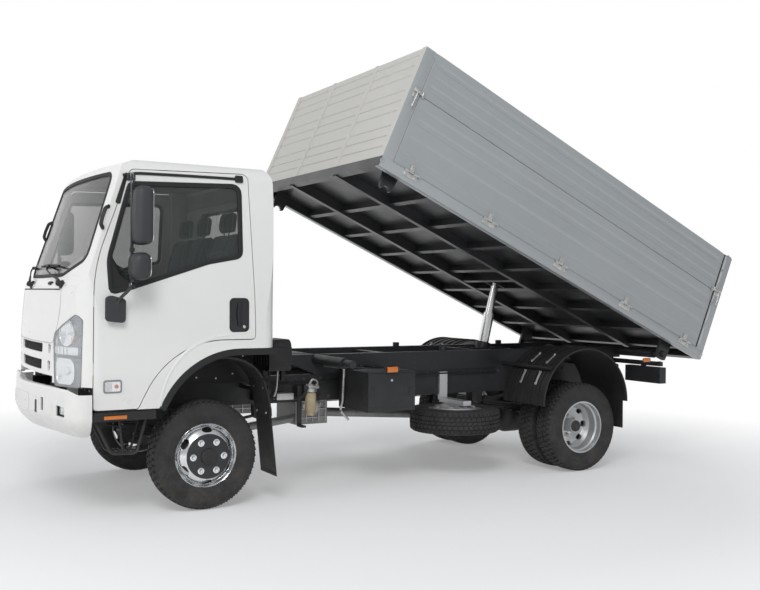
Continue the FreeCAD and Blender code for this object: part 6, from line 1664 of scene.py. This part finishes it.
class TIPPER_OT_wheels(bpy.types.Operator):
    """Front wheels with hand holes, hub plates, nuts and caps; rear hubs with nuts, caps and valves"""
    bl_idname = "tipper.wheels"
    bl_label = "Wheels"

    def execute(self, context):
        wheel = front_wheel()
        barrel = ringed([(0.218, -0.08), (0.2435, -0.083), (0.2435, -0.076), (0.224, -0.073), (0.2225, -0.04),
                         (0.2145, -0.028), (0.2145, 0.02), (0.2225, 0.032), (0.2235, 0.07), (0.2195, 0.074),
                         (0.2155, 0.06), (0.214, 0.045), (0.2045, 0.02), (0.2045, -0.03), (0.2135, -0.045)], 72)
        plate = lathe([(0.05, 0.1265), (0.156, 0.1265), (0.1575, 0.128), (0.1565, 0.1335), (0.152, 0.1355),
                       (0.098, 0.1385), (0.066, 0.14), (0.05, 0.14)], 72)
        cap = lathe([(0, 0.112), (0.058, 0.112), (0.058, 0.15), (0.055, 0.156), (0.046, 0.159), (0.04, 0.1575),
                     (0.022, 0.159), (0, 0.1592)], 48)
        drum = lathe([(0, -0.075), (0.155, -0.075), (0.158, -0.07), (0.158, 0.075), (0.15, 0.08), (0, 0.08)], 48)
        nuts = moved(nut_ring(6, 0.112, 0.025, 0.016, 0.5), at((0, 0, 0.1365)))
        c, s, rim = math.cos(0.35), math.sin(0.35), 0.2385
        weight = moved(brick((-0.018, -0.003, -0.003), (0.018, 0.003, 0.006), 0.002),
                       at((rim * c, rim * s, 0.0865), (0, 0, 1), (-s, c, 0)))
        for side, sign in SIDES:
            low, high = span(f"front_tyre_{side}")
            place = at((low + high) / 2, (0, sign, 0), (0, 0, 1))
            body = f"front_wheel_{side}"
            solid(f"front_wheel_disc_{side}", moved(wheel, place), "rim_polished", body, smooth=40,
                  replaces=[f"front_rim_{side}"])
            solid(f"front_wheel_barrel_{side}", moved(barrel, place), "rim_silver", body)
            solid(f"front_hub_plate_{side}", moved(plate, place), "hub_plate", body, smooth=30)
            solid(f"front_hub_cap_{side}", moved(cap, place), "black_plastic", body)
            solid(f"front_hub_drum_{side}", moved(drum, place), "casting", body)
            solid(f"front_nuts_{side}", moved(joined(nuts, weight), place), "chrome", body)
            low, high = span(f"rear_tyres_{side}")
            y_out = high[1] - TYRE_WIDTH / 2 if sign > 0 else low[1] + TYRE_WIDTH / 2
            place = at(((low[0] + high[0]) / 2, y_out, AXLE_HEIGHT), (0, sign, 0), (0, 0, 1))
            rear_nuts = moved(nut_ring(6, 0.086, 0.022, 0.016), at((0, 0, -0.1145)))
            around = [np.array(Matrix.Rotation(k * math.pi / 4, 4, "Z") @ Matrix.Translation((0.039, 0, 0.009)))
                      for k in range(8)]
            hub = joined(lathe([(0, -0.0005), (0.05, -0.0005), (0.05, 0.006), (0.046, 0.01), (0.03, 0.012),
                                (0.028, 0.018), (0, 0.019)], 40), repeated(hex_bolt(0.011, 0.006), around))
            solid(f"rear_nuts_{side}", moved(rear_nuts, place), "zinc", f"rear_wheels_{side}")
            solid(f"rear_hub_cap_{side}", moved(hub, place), "casting", f"rear_wheels_{side}")
            lip = ringed([(0.23, 0.085), (0.2425, 0.0853), (0.2448, 0.087), (0.2435, 0.0893), (0.237, 0.09),
                          (0.2305, 0.0885)], 72)
            solid(f"rear_lip_{side}", moved(lip, place), "rim_polished", f"rear_wheels_{side}")
            valve = pipe([(0.19, 0, -0.06), (0.2, 0, 0.02), (0.205, 0, 0.06)], 0.0035, 0.02, 8)
            solid(f"rear_valve_{side}", moved(valve, place), "zinc", f"rear_wheels_{side}")
        return {"FINISHED"}


# ---------------------------------------------------------------- arches, steps and units on the chassis
def xz_sheet(line, y_low, y_high, thick=0.005):
    """A bent sheet: a line of (x, z) spots from the front axle, made wide across the truck."""
    line = np.asarray(line, float)
    path = row(np.stack([line[:, 0], np.full(len(line), (y_low + y_high) / 2), line[:, 1]], -1))
    return sound(carried(rounded(thick, y_high - y_low, thick * 0.3, 3), path, (0, 1, 0)))


ARCH = cornered([(CAB_REAR, 1.138), (0.144, 1.138, 0.62), (0.362, 0.745)], False, 17)


class TIPPER_OT_arches(bpy.types.Operator):
    """Edges and liners of the front wheel arches, the guards behind the wheels, the steps and the flaps' hems"""
    bl_idname = "tipper.arches"
    bl_label = "Wheel arches"

    def execute(self, context):
        arch = even(ARCH, 0.03, False)
        ahead = unit(np.gradient(arch, axis=0))
        down = np.stack([ahead[:, 1], -ahead[:, 0]], -1)
        down *= np.sign(down[:1, 1]) * -1
        edge = arch + down * 0.026
        both("arch_edge", ribbon(edge, side_place, rounded(0.046, 0.01, 0.004) + [0, -0.006], False), "black_plastic",
             "cab")
        both("arch_liner", xz_sheet(arch + down * 0.008, 0.64, 0.985, 0.004), "seam_dark", "cab")
        wall = block((-0.455, 0.64, 0.865), (0.3, 0.645, 1.132), 0.001)
        both("arch_wall", wall, "seal_rubber", "cab")
        specks = [(-0.38, 1.06), (-0.3, 0.93), (-0.21, 1.08), (-0.17, 0.9), (-0.06, 1.03), (-0.02, 0.91), (0.05, 1.09),
                  (0.09, 0.95), (0.12, 1.0), (0.19, 0.9), (0.23, 1.02)]
        bolts = [moved(hex_bolt(0.009, 0.004), at(row((x, 0.6445, z)), (0, 1, 0), (0, 0, 1))) for x, z in specks]
        both("arch_bolts", joined(*bolts), "zinc", "cab")
        guard = cornered([(-0.02, 1.075), (-0.34, 1.055, 0.3), (-0.455, 0.79, 0.9), (-0.462, 0.7)], False, 13)
        both("front_guard", joined(xz_sheet(even(guard, 0.03, False), 0.69, 0.985, 0.005),
                                   xz_sheet(even(guard, 0.03, False) + [0, 0.004], 0.972, 0.99, 0.014)),
             "black_plastic", "chassis")
        bolts = [moved(hex_bolt(0.012, 0.005), at(row(place), (1, 0, 0.3), (0, 1, 0))) for place in
                 ((-0.43, 0.93, 0.845), (-0.43, 0.76, 0.845), (-0.452, 0.93, 0.66), (-0.452, 0.76, 0.66))]
        both("guard_bolts", joined(*bolts), "zinc", "chassis")
        well = block((0.8062, 0.615, 0.8), (0.8115, 0.983, 0.896), 0.002)
        both("step_well", well, "seam_dark", "cab")
        white = [moved(hex_bolt(0.01, 0.004), at(row((0.8112, y, 0.874)), (1, 0, 0), (0, 0, 1)))
                 for y in (0.72, 0.8, 0.93)]
        both("well_bolts", joined(*white), "zinc", "cab")
        skirt = block((0.372, 0.988, 0.7385), (0.778, 0.9975, 0.7445), 0.002)
        both("sill_rubber", skirt, "seal_rubber", "*_door")
        treads = [brick((0.4 + 0.038 * k, 0.8, 0.7348), (0.412 + 0.038 * k, 0.985, 0.7375), 0.001) for k in range(10)]
        both("step_ribs", from_axle(*treads), "black_plastic", "chassis")
        reflector = block((0.582, 0.9995, 0.686), (0.734, 1.006, 0.711), 0.003)
        both("step_reflector", reflector, "amber_lens", "chassis")
        tubes = [hose([(0.779, y, 0.68), (0.757, y, 0.63), (0.672, y, 0.452), (0.5, y, 0.445), (0.438, y, 0.68)],
                      radius, 0.03, 10) for y, radius in ((0.945, 0.011), (0.79, 0.009))]
        tubes.append(hose([(0.592, 0.945, 0.45), (0.62, 0.945, 0.68)], 0.008, 0, 8))
        slats = [block((x, 0.785, 0.455), (x + 0.016, 0.948, 0.467), 0.003)
                 for x in np.linspace(0.512, 0.64, 5)]
        both("lower_step", joined(*tubes, *slats), "black_plastic", "chassis")
        flap = moved(brick((-0.004, -0.13, 0), (0.004, 0.13, 0.018), 0.002),
                     at(row((-0.5135, 0.8425, 0.215)), (0.11, 0, 1), (1, 0, -0.11)))
        both("flap_hem", flap, "seal_rubber", "chassis")
        return {"FINISHED"}


class TIPPER_OT_side_units(bpy.types.Operator):
    """Tool box, tank, air cleaner, filter, reservoir, hand shaft, casting ribs and pipes beside the chassis"""
    bl_idname = "tipper.side_units"
    bl_label = "Side units"

    def execute(self, context):
        box = [brick((-1.716, 0.9495, 0.655), (-1.291, 0.953, 0.916), 0.003),
               brick((-1.7, 0.952, 0.735), (-1.66, 0.957, 0.8), 0.002),
               brick((-1.35, 0.952, 0.735), (-1.31, 0.957, 0.8), 0.002),
               brick((-1.722, 0.466, 0.918), (-1.285, 0.956, 0.928), 0.003),
               brick((-1.565, 0.945, 0.924), (-1.435, 0.956, 0.968), 0.003)]
        solid("tool_box_skin", from_axle(*box), "frame_paint", "chassis")
        lock = spun([(0, 0), (0.011, 0), (0.01, 0.005), (0, 0.006)], 16, (-1.5, 0.9525, 0.86), (0, 1, 0))
        solid("tool_box_lock", lock, "zinc", "chassis")
        solid("box_lamp", block((-1.548, 0.955, 0.921), (-1.452, 0.974, 0.967), 0.008, 4), "amber_lens",
              "chassis")
        solid("box_lamp_base", block((-1.556, 0.953, 0.915), (-1.444, 0.962, 0.973), 0.004),
              "black_plastic", "chassis")
        straps = []
        for x in (-2.68, -2.3):
            hoop = cornered([(-0.952, 0.534, 0.066), (-0.474, 0.534, 0.066), (-0.474, 0.876, 0.066),
                             (-0.952, 0.876, 0.066)])
            path = row(np.stack([np.full(len(hoop), x), hoop[:, 0], hoop[:, 1]], -1))
            straps.append(sound(carried(rounded(0.004, 0.042, 0.001, 3), path, (1, 0, 0), True)))
            straps.append(moved(hex_bolt(0.016, 0.012), at(row((x, -0.953, 0.84)), (0, -1, 0))))
        cap = spun([(0, 0), (0.045, 0), (0.045, 0.02), (0.04, 0.035), (0.012, 0.038), (0.012, 0.048), (0, 0.05)], 24,
                   (-2.49, -0.9, 0.868), (0, -0.7, 0.7))
        solid("tank_straps", joined(*straps), "zinc", "chassis")
        solid("tank_cap", cap, "black_plastic", "chassis")
        cleaner = [brick((-0.706, 0.52 + 0.05 * k, 0.985), (-0.5145, 0.532 + 0.05 * k, 1.15), 0.003) for k in range(6)]
        cleaner += [brick((-0.703, 0.815, 1.02), (-0.517, 0.824, 1.13), 0.006)]
        solid("air_cleaner_ribs", from_axle(*cleaner), "black_plastic", "chassis")
        post = [brick((-0.735, 0.585, 0.985), (-0.672, 0.65, 1.178), 0.012, 4),
                brick((-0.735, 0.6, 0.86), (-0.7, 0.64, 0.99), 0.004)]
        solid("reservoir", from_axle(*post), "black_plastic", "chassis")
        blue = spun([(0, 0), (0.017, 0), (0.018, 0.004), (0.018, 0.03), (0.014, 0.036), (0, 0.036)], 20,
                    (-0.735, 0.645, 1.09), (-0.8, 0.6, 0))
        solid("reservoir_cap", blue, "blue_cap", "chassis")
        can = lathe([(0, 0), (0.041, 0), (0.045, 0.006), (0.045, 0.135), (0.041, 0.15), (0.022, 0.156), (0, 0.156)], 32)
        solid("filter_can", moved(can, at(row((-1.018, 0.5, 0.592)))), "filter_card", "chassis")
        collar = spun([(0, 0), (0.05, 0), (0.05, 0.026), (0.03, 0.04), (0.018, 0.062), (0, 0.064)], 24,
                      (-1.018, 0.5, 0.75))
        head = joined(collar, block((-1.085, 0.44, 0.775), (-0.985, 0.53, 0.8), 0.006, 3),
                      hose([(-0.99, 0.52, 0.8), (-1.02, 0.53, 0.855), (-1.07, 0.52, 0.835), (-1.09, 0.47, 0.79)],
                           0.008, 0.02, 10),
                      from_axle(repeated(hex_bolt(0.013, 0.008), [at((-1.07, 0.5, 0.8)), at((-1.0, 0.47, 0.8))])))
        solid("filter_head", head, "zinc", "chassis")
        foot = moved(sound(lathe([(0, -0.03), (0.028, -0.03), (0.038, -0.004), (0.038, 0), (0, 0)], 24)),
                     at(row((-1.018, 0.5, 0.591))))
        solid("filter_foot", foot, "filter_card", "chassis")
        hanger = from_axle(brick((-0.955, 0.46, 0.475), (-0.915, 0.475, 0.8), 0.003),
                           brick((-0.955, 0.46, 0.475), (-0.915, 0.56, 0.49), 0.003))
        solid("filter_hanger", hanger, "frame_paint", "chassis")
        sleeve = [(0, 0), (0.036, 0), (0.039, 0.006), (0.039, 0.245), (0.03, 0.256), (0, 0.256)]
        rod = [(0, 0), (0.018, 0), (0.018, 0.05), (0.026, 0.05), (0.026, 0.085), (0.017, 0.09), (0.017, 0.25),
               (0, 0.25)]
        shaft = joined(spun(sleeve, 28, (-1.085, 0.58, 0.992), (-0.245, 0, -0.04)),
                       spun(rod, 20, (-1.355, 0.6, 0.933), (-0.245, 0, -0.018)))
        solid("hand_shaft", shaft, "black_gloss", "chassis")
        solid("shaft_brackets", from_axle(brick((-1.15, 0.42, 0.952), (-1.13, 0.6, 0.966), 0.003),
                                          brick((-1.56, 0.42, 0.93), (-1.54, 0.6, 0.942), 0.003)),
              "frame_paint", "chassis")
        drains = [hose([(-1.262, 0.6, 0.95), (-1.265, 0.6, 0.9), (-1.265, 0.58, 0.66), (-1.25, 0.56, 0.6),
                        (-1.33, 0.56, 0.515)], 0.01, 0.03, 10),
                  hose([(-0.668, 0.655, 0.985), (-0.662, 0.655, 0.93), (-0.655, 0.655, 0.8), (-0.66, 0.6, 0.74)],
                       0.007, 0.03, 10)]
        solid("drain_tube", joined(*drains), "zinc", "chassis")
        ribs = [brick((-0.16 - 0.085 * k, -0.156, 0.565), (-0.16 - 0.085 * k + 0.01, 0.158, 0.72 + 0.015 * (5 - k)),
                      0.002) for k in range(6)]
        ribs += [brick((-0.7, 0.148, z), (-0.08, 0.16, z + 0.008), 0.002) for z in (0.6, 0.64, 0.68)]
        ribs += [brick((-1.292 + 0.058 * k, 0.216, 0.47), (-1.292 + 0.058 * k + 0.009, 0.232, 0.775), 0.003)
                 for k in range(5)]
        ribs += [brick((-1.3, 0.216, z), (-1.03, 0.23, z + 0.009), 0.003) for z in (0.5, 0.57, 0.64, 0.71)]
        ribs.append(moved(lathe([(0, 0), (0.085, 0), (0.085, 0.012), (0.06, 0.02), (0.03, 0.04), (0, 0.04)], 30),
                          at((-1.165, 0.216, 0.62), (0, 1, 0))))
        for k in range(10):
            a = 2 * math.pi * k / 10
            spot = (-1.165 + 0.075 * math.cos(a), 0.229, 0.62 + 0.075 * math.sin(a))
            ribs.append(moved(hex_bolt(0.014, 0.007), at(spot, (0, 1, 0))))
        solid("casting_ribs", from_axle(*ribs), "zinc", "chassis")
        lines = (([(-0.6, 0.44, 0.83), (-0.95, 0.455, 0.81), (-1.24, 0.45, 0.83), (-1.6, 0.45, 0.845),
                   (-2.9, 0.44, 0.85)], 0.007, 0.08, 8),
                 ([(-0.6, 0.445, 0.79), (-0.78, 0.52, 0.7), (-0.93, 0.53, 0.7), (-0.985, 0.52, 0.79)], 0.011, 0.08, 10),
                 ([(-0.72, 0.62, 1.06), (-0.76, 0.6, 1.0), (-0.74, 0.56, 0.94), (-0.7, 0.47, 0.9)], 0.006, 0.04, 8),
                 ([(-0.56, 0.62, 0.96), (-0.6, 0.58, 0.9), (-0.62, 0.47, 0.87)], 0.028, 0.06, 14))
        solid("chassis_hoses", joined(*(hose(*line) for line in lines)), "hose_rubber", "chassis")
        solid("junction_box", block((-0.845, 0.47, 0.702), (-0.7, 0.56, 0.752), 0.004), "zinc", "chassis")
        spots = []
        rail_face = 0.4195
        for x in np.concatenate([np.arange(-0.62, -1.25, -0.075), np.arange(-1.8, -4.25, -0.19)]):
            for z in (0.845, 0.7) if x > -1.3 else (0.845,):
                spots.append(at(row((x, rail_face, z)), (0, 1, 0)))
        bolts = repeated(hex_bolt(0.018, 0.009), spots)
        solid("rail_bolts_left", bolts, "casting", "chassis")
        solid("rail_bolts_right", mirrored(bolts), "casting", "chassis")
        return {"FINISHED"}


# ---------------------------------------------------------------- seats and cabin
def pad(length, width, low, high, crown=0.012, bolster=0.0, rows=(), rise=0.0, pinch=0.035, count=72):
    """A closed cushion about z, x along and y across, with its seam round z = 0 and an almost flat underside.

    Top: high * f(u) * f(v) + crown * (1 - u^2) * (1 - v^2), with f(t) = (1 - |t|^3.2)^(1 / 2.4). Its sides pull in by
    pinch * (1 - v^2) between corners that are rounded by (u * v)^8. Channels sink by 0.011 * exp(-(d / 0.007)^2)."""
    t = np.sin(np.linspace(-1, 1, count) * math.pi / 2)
    u, v = np.meshgrid(t, t, indexing="ij")

    def dome(share, power, root):
        return np.clip(1 - np.abs(share) ** power, 0, 1) ** (1 / root)
    corner = 1 - 0.085 * (u * v) ** 8
    x = u * corner * (1 - pinch * (1 - v ** 2) * u ** 2) * length / 2
    y = v * corner * (1 - pinch * (1 - u ** 2) * v ** 2) * width / 2
    edge = 0.6 * width / 2
    fade = dome(u, 8, 2) * dome(v, 8, 2)
    top = (high + rise * u) * dome(u, 3.2, 2.4) * dome(v, 3.2, 2.4) + crown * (1 - u ** 2) * (1 - v ** 2)
    top += bolster * np.clip((np.abs(y) - edge) / 0.03, 0, 1) * fade
    top -= 0.011 * np.exp(-((np.abs(y) - edge) / 0.007) ** 2) * fade
    inside = 1 / (1 + np.exp((np.abs(y) - edge) / 0.004))
    for share in rows:
        top -= 0.009 * np.exp(-((x - share * length / 2) / 0.007) ** 2) * fade * inside
    under = -low * dome(u, 7, 2.2) * dome(v, 7, 2.2)
    upper = np.stack([x, y, top], -1)
    lower = np.stack([x, y, under], -1)
    index = np.arange(count ** 2).reshape(count, count)
    below = index.copy()
    below[1:-1, 1:-1] = count ** 2 + np.arange((count - 2) ** 2).reshape(count - 2, count - 2)

    def quads(lattice):
        return np.stack([lattice[:-1, :-1], lattice[1:, :-1], lattice[1:, 1:], lattice[:-1, 1:]], -1).reshape(-1, 4)
    points = np.concatenate([upper.reshape(-1, 3), lower[1:-1, 1:-1].reshape(-1, 3)])
    seam = np.concatenate([upper[:-1, 0], upper[-1, :-1], upper[:0:-1, -1], upper[0, :0:-1]])
    return sound((points, [quads(index), quads(below)[:, ::-1]])), seam


SEATS = (("driver", 0.18, 0.7), ("middle", -0.3, 0.12), ("outer", -0.76, -0.31))


class TIPPER_OT_seats(bpy.types.Operator):
    """Crowned seat cushions, backs and head rests with seams, piping and sewn channels, on moulded bases"""
    bl_idname = "tipper.seats"
    bl_label = "Seats"

    def execute(self, context):
        floor = span("seats")[0][2]
        first = True
        for name, low, high in SEATS:
            wide, mid = high - low, (low + high) / 2
            bolster = 0.01 if wide > 0.43 else 0.004
            forms = {
                "cushion": (at(row((-0.02, mid, floor + 0.146)), (-0.035, 0, 1), (1, 0, 0.035)),
                            dict(length=0.556, low=0.04, high=0.074, rise=0.004, crown=0.008, rows=(-0.35, 0.0, 0.35))),
                "back": (at(row((-0.2825, mid, floor + 0.517)), (0.983, 0, 0.183), (-0.183, 0, 0.983)),
                         dict(length=0.562, low=0.052, high=0.064, crown=0.01, rows=(-0.5, -0.2, 0.1, 0.4))),
                "head_rest": (at(row((-0.332, mid, floor + 0.881)), (0.994, 0, 0.109), (-0.109, 0, 0.994)),
                              dict(length=0.154, low=0.04, high=0.044, crown=0.006, rows=(), pinch=0.05)),
            }
            for form, (place, sizes) in forms.items():
                across = (wide * 0.44 if form == "head_rest" else wide) - 0.01
                part, seam = pad(width=across, bolster=0.0 if form == "head_rest" else bolster,
                                 count=40 if form == "head_rest" else 72, **sizes)
                piece = solid(f"{name}_{form}", moved(part, place), "seat_cloth", "cab", smooth=60,
                              replaces=["seats"] if first else [])
                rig.padded(piece, 0.85 if form == "head_rest" else 0.7)
                first = False
                cord = sound(carried(circle(0.0035, 8), even(seam, 0.012, True), (0, 0, 1), True))
                solid(f"{name}_{form}_piping", moved(cord, place), "trim_plastic", "cab")
            base = block((-0.295, low + 0.006, floor + 0.001), (0.245, high - 0.006, floor + 0.112), 0.018, 5)
            shell_back = moved(brick((-0.265, -wide / 2 + 0.02, -0.062), (0.265, wide / 2 - 0.02, -0.05), 0.005, 3),
                               forms["back"][0])
            solid(f"{name}_seat_base", joined(base, shell_back), "dash_plastic", "cab")
            stays = [hose([(-0.318, mid + s * 0.05, floor + 0.775), (-0.33, mid + s * 0.05, floor + 0.835)], 0.006, 0,
                          10) for s in (1, -1)]
            solid(f"{name}_head_stays", joined(*stays), "zinc", "cab")
        return {"FINISHED"}


class TIPPER_OT_cabin(bpy.types.Operator):
    """Dashboard pads, vents and dials, steering wheel grip, pedals and levers, door cards and headlining"""
    bl_idname = "tipper.cabin"
    bl_label = "Cabin"

    def execute(self, context):
        hood = from_axle(brick((0.64, 0.25, 1.515), (0.8, 0.59, 1.6), 0.03, 5),
                         brick((0.72, -0.8, 1.535), (0.9, 0.2, 1.572), 0.014, 4),
                         brick((0.585, -0.16, 1.22), (0.66, 0.14, 1.5), 0.016, 4))
        solid("dash_hood", hood, "trim_plastic", "cab")
        dials = [spun([(0, 0), (0.055, 0), (0.055, 0.006), (0.05, 0.004), (0, 0.004)], 28, (0.643, y, 1.562),
                      (-1, 0, 0.18)) for y in (0.34, 0.5)]
        vents = [brick((0.578, y - 0.055, 1.405 + 0.016 * k), (0.59, y + 0.055, 1.411 + 0.016 * k), 0.002)
                 for y in (-0.72, -0.21, 0.19, 0.76) for k in range(5)]
        solid("dash_vents", joined(from_axle(*vents), *dials), "black_gloss", "cab")
        turn = np.array(Matrix.Rotation(math.radians(-38), 4, "Y"))[:3, :3]
        centre = row((0.42, 0.42, 1.61))
        place = np.eye(4)
        place[:3, :3], place[:3, 3] = turn, centre
        grip = lathe([(0, 0.02), (0.052, 0.02), (0.07, 0.03), (0.066, 0.044), (0.048, 0.05), (0, 0.052)], 36)
        spokes = [sound(moved(brick((0.05, -0.018, 0.0), (0.205, 0.018, 0.015), 0.006, 3),
                              np.array(Matrix.Rotation(a, 4, "Z")))) for a in (0.35, 2.79, 4.71)]
        solid("steering_pad", moved(joined(grip, *spokes), place), "black_gloss", "cab")
        levers = [hose([(0.3, 0.03, 1.2), (0.34, 0.03, 1.42), (0.33, 0.03, 1.5)], 0.01, 0.05, 10),
                  spun([(0, 0), (0.018, 0), (0.026, 0.02), (0.026, 0.045), (0.014, 0.062), (0, 0.064)], 20,
                       (0.33, 0.03, 1.495))]
        pedals = [moved(brick((-0.02, -0.035, 0), (0.06, 0.035, 0.012), 0.004),
                        at(row((0.5, y, 1.24)), (-1, 0, 0.6), (0, 0, 1))) for y in (0.28, 0.42, 0.55)]
        solid("cab_levers", joined(*levers, *pedals), "black_plastic", "cab")
        roof = [brick((-0.44, -0.84, 2.396), (0.5, 0.84, 2.404), 0.003),
                brick((-0.447, -0.88, 1.2), (-0.441, 0.88, 1.62), 0.002),
                brick((-0.447, -0.88, 2.25), (-0.441, 0.88, 2.38), 0.002)]
        solid("cab_lining", from_axle(*roof), "headlining", "cab")
        card = block((-0.27, 0.92, 1.2), (0.72, 0.927, 1.555), 0.003)
        rest = block((-0.2, 0.868, 1.43), (0.45, 0.922, 1.475), 0.016, 4)
        pocket = block((-0.1, 0.885, 1.2), (0.55, 0.922, 1.27), 0.012, 4)
        both("door_card", joined(card, rest, pocket), "dash_plastic", "*_door")
        return {"FINISHED"}


# ---------------------------------------------------------------- rear of the truck
class TIPPER_OT_rear(bpy.types.Operator):
    """Rear lamps with lenses and plate, mudguard beads and clips, and marker lamps on their brackets"""
    bl_idname = "tipper.rear"
    bl_label = "Rear"

    def execute(self, context):
        rear = span("rear_lamps")[0][0]

        def on_rear(y0, y1, z0, z1, deep=0.014, bevel=0.005):
            return brick((rear - deep, y0, z0), (rear + 0.001, y1, z1), bevel, 3)
        foot, top = 0.738, 0.858
        both("rear_red_lens", joined(on_rear(0.865, 1.008, foot, top), on_rear(0.6, 0.66, foot, 0.79)), "red_lens",
             "chassis")
        both("rear_amber_lens", on_rear(0.77, 0.855, foot, top), "amber_lens", "chassis")
        both("rear_white_lens", joined(on_rear(0.67, 0.76, foot, top), on_rear(0.6, 0.66, 0.8, top)), "white_lens",
             "chassis")
        both("rear_lens_frame", on_rear(0.588, 1.014, 0.73, 0.866, 0.007, 0.003), "black_gloss", "chassis")
        plate = brick((rear + 0.06, -0.262, 0.77), (rear + 0.0635, 0.262, 0.884), 0.001)
        solid("rear_plate", plate, "plate_blank", "chassis")
        low, high = span("rear_mudguards")
        guard_height, guard_reach = 0.6, 0.474
        mid = np.array([(low[0] + high[0]) / 2 - FRONT_AXLE, guard_height])
        angles = np.radians(np.arange(0, 181, 6.0))
        round_line = mid + guard_reach * np.stack([np.cos(angles), np.sin(angles)], -1)
        beads = [xz_sheet(round_line, y - 0.008, y + 0.008, 0.01) for y in (0.62, 0.72, 0.82, 0.92, 1.02)]
        edge = mid + 0.473 * np.stack([np.cos(angles), np.sin(angles)], -1)
        beads.append(xz_sheet(edge, 1.098, 1.122, 0.016))
        both("mudguard_beads", joined(*beads), "black_plastic", "chassis")
        clips = []
        for y in (0.77, 0.97):
            for a in (22, 48):
                arc = np.radians(np.linspace(a, a + 13, 6))
                line = mid + 0.4775 * np.stack([np.cos(arc), np.sin(arc)], -1)
                clips.append(xz_sheet(line, y - 0.011, y + 0.011, 0.006))
                ends = [at(row((spot[0], y, spot[1])), (spot[0] - mid[0], 0, spot[1] - mid[1]), (0, 1, 0))
                        for spot in line[[0, -1]]]
                clips.append(repeated(hex_bolt(0.016, 0.01), ends))
        both("mudguard_clips", joined(*clips), "zinc", "chassis")
        lamp = moved(brick((-0.046, -0.019, 0), (0.046, 0.019, 0.022), 0.008, 4),
                     at(row((-4.19, 1.0, 0.948)), (0, 1, 0), (1, 0, 0)))
        both("tail_marker_lamp", lamp, "amber_lens", "chassis")
        bracket = block((-4.39, 0.985, 0.9245), (-4.14, 1.001, 0.929), 0.001)
        both("tail_marker_bracket", bracket, "frame_paint", "chassis")
        return {"FINISHED"}


# ---------------------------------------------------------------- add-on
OPERATORS = [value for value in list(globals().values())
             if isinstance(value, type) and issubclass(value, bpy.types.Operator)]


class TIPPER_PT_panel(bpy.types.Panel):
    """Sizes, colours and pieces of the truck"""
    bl_idname = "TIPPER_PT_panel"
    bl_label = "Tipper truck"
    bl_space_type = "VIEW_3D"
    bl_region_type = "UI"
    bl_category = "Tipper"

    def draw(self, context):
        for group in (context.scene.tipper_sizes, context.scene.tipper_colours):
            for key in group.__annotations__:
                self.layout.prop(group, key)
        for operator in OPERATORS:
            self.layout.operator(operator.bl_idname)


def register():
    """Register the settings, the operators and the panel."""
    for group in (TipperColours, TipperSizes, *OPERATORS, TIPPER_PT_panel):
        bpy.utils.register_class(group)
    bpy.types.Scene.tipper_colours = bpy.props.PointerProperty(type=TipperColours)
    bpy.types.Scene.tipper_sizes = bpy.props.PointerProperty(type=TipperSizes)


def unregister():
    """Take the settings, the operators and the panel away again."""
    del bpy.types.Scene.tipper_colours, bpy.types.Scene.tipper_sizes
    for group in (TIPPER_PT_panel, *reversed(OPERATORS), TipperSizes, TipperColours):
        bpy.utils.unregister_class(group)


def main():
    """Make every piece in order and note the boxes of the frame and of the finished model."""
    register()
    for operator in OPERATORS:
        getattr(bpy.ops.tipper, operator.bl_idname.split(".")[1])()
    boxes = {"cad": [list(corner) for corner in CAD_BOX], "visual": [list(corner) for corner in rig.bounds()]}
    with open("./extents.json", "w") as out:
        json.dump(boxes, out)


if __name__ == "__main__":
    main()
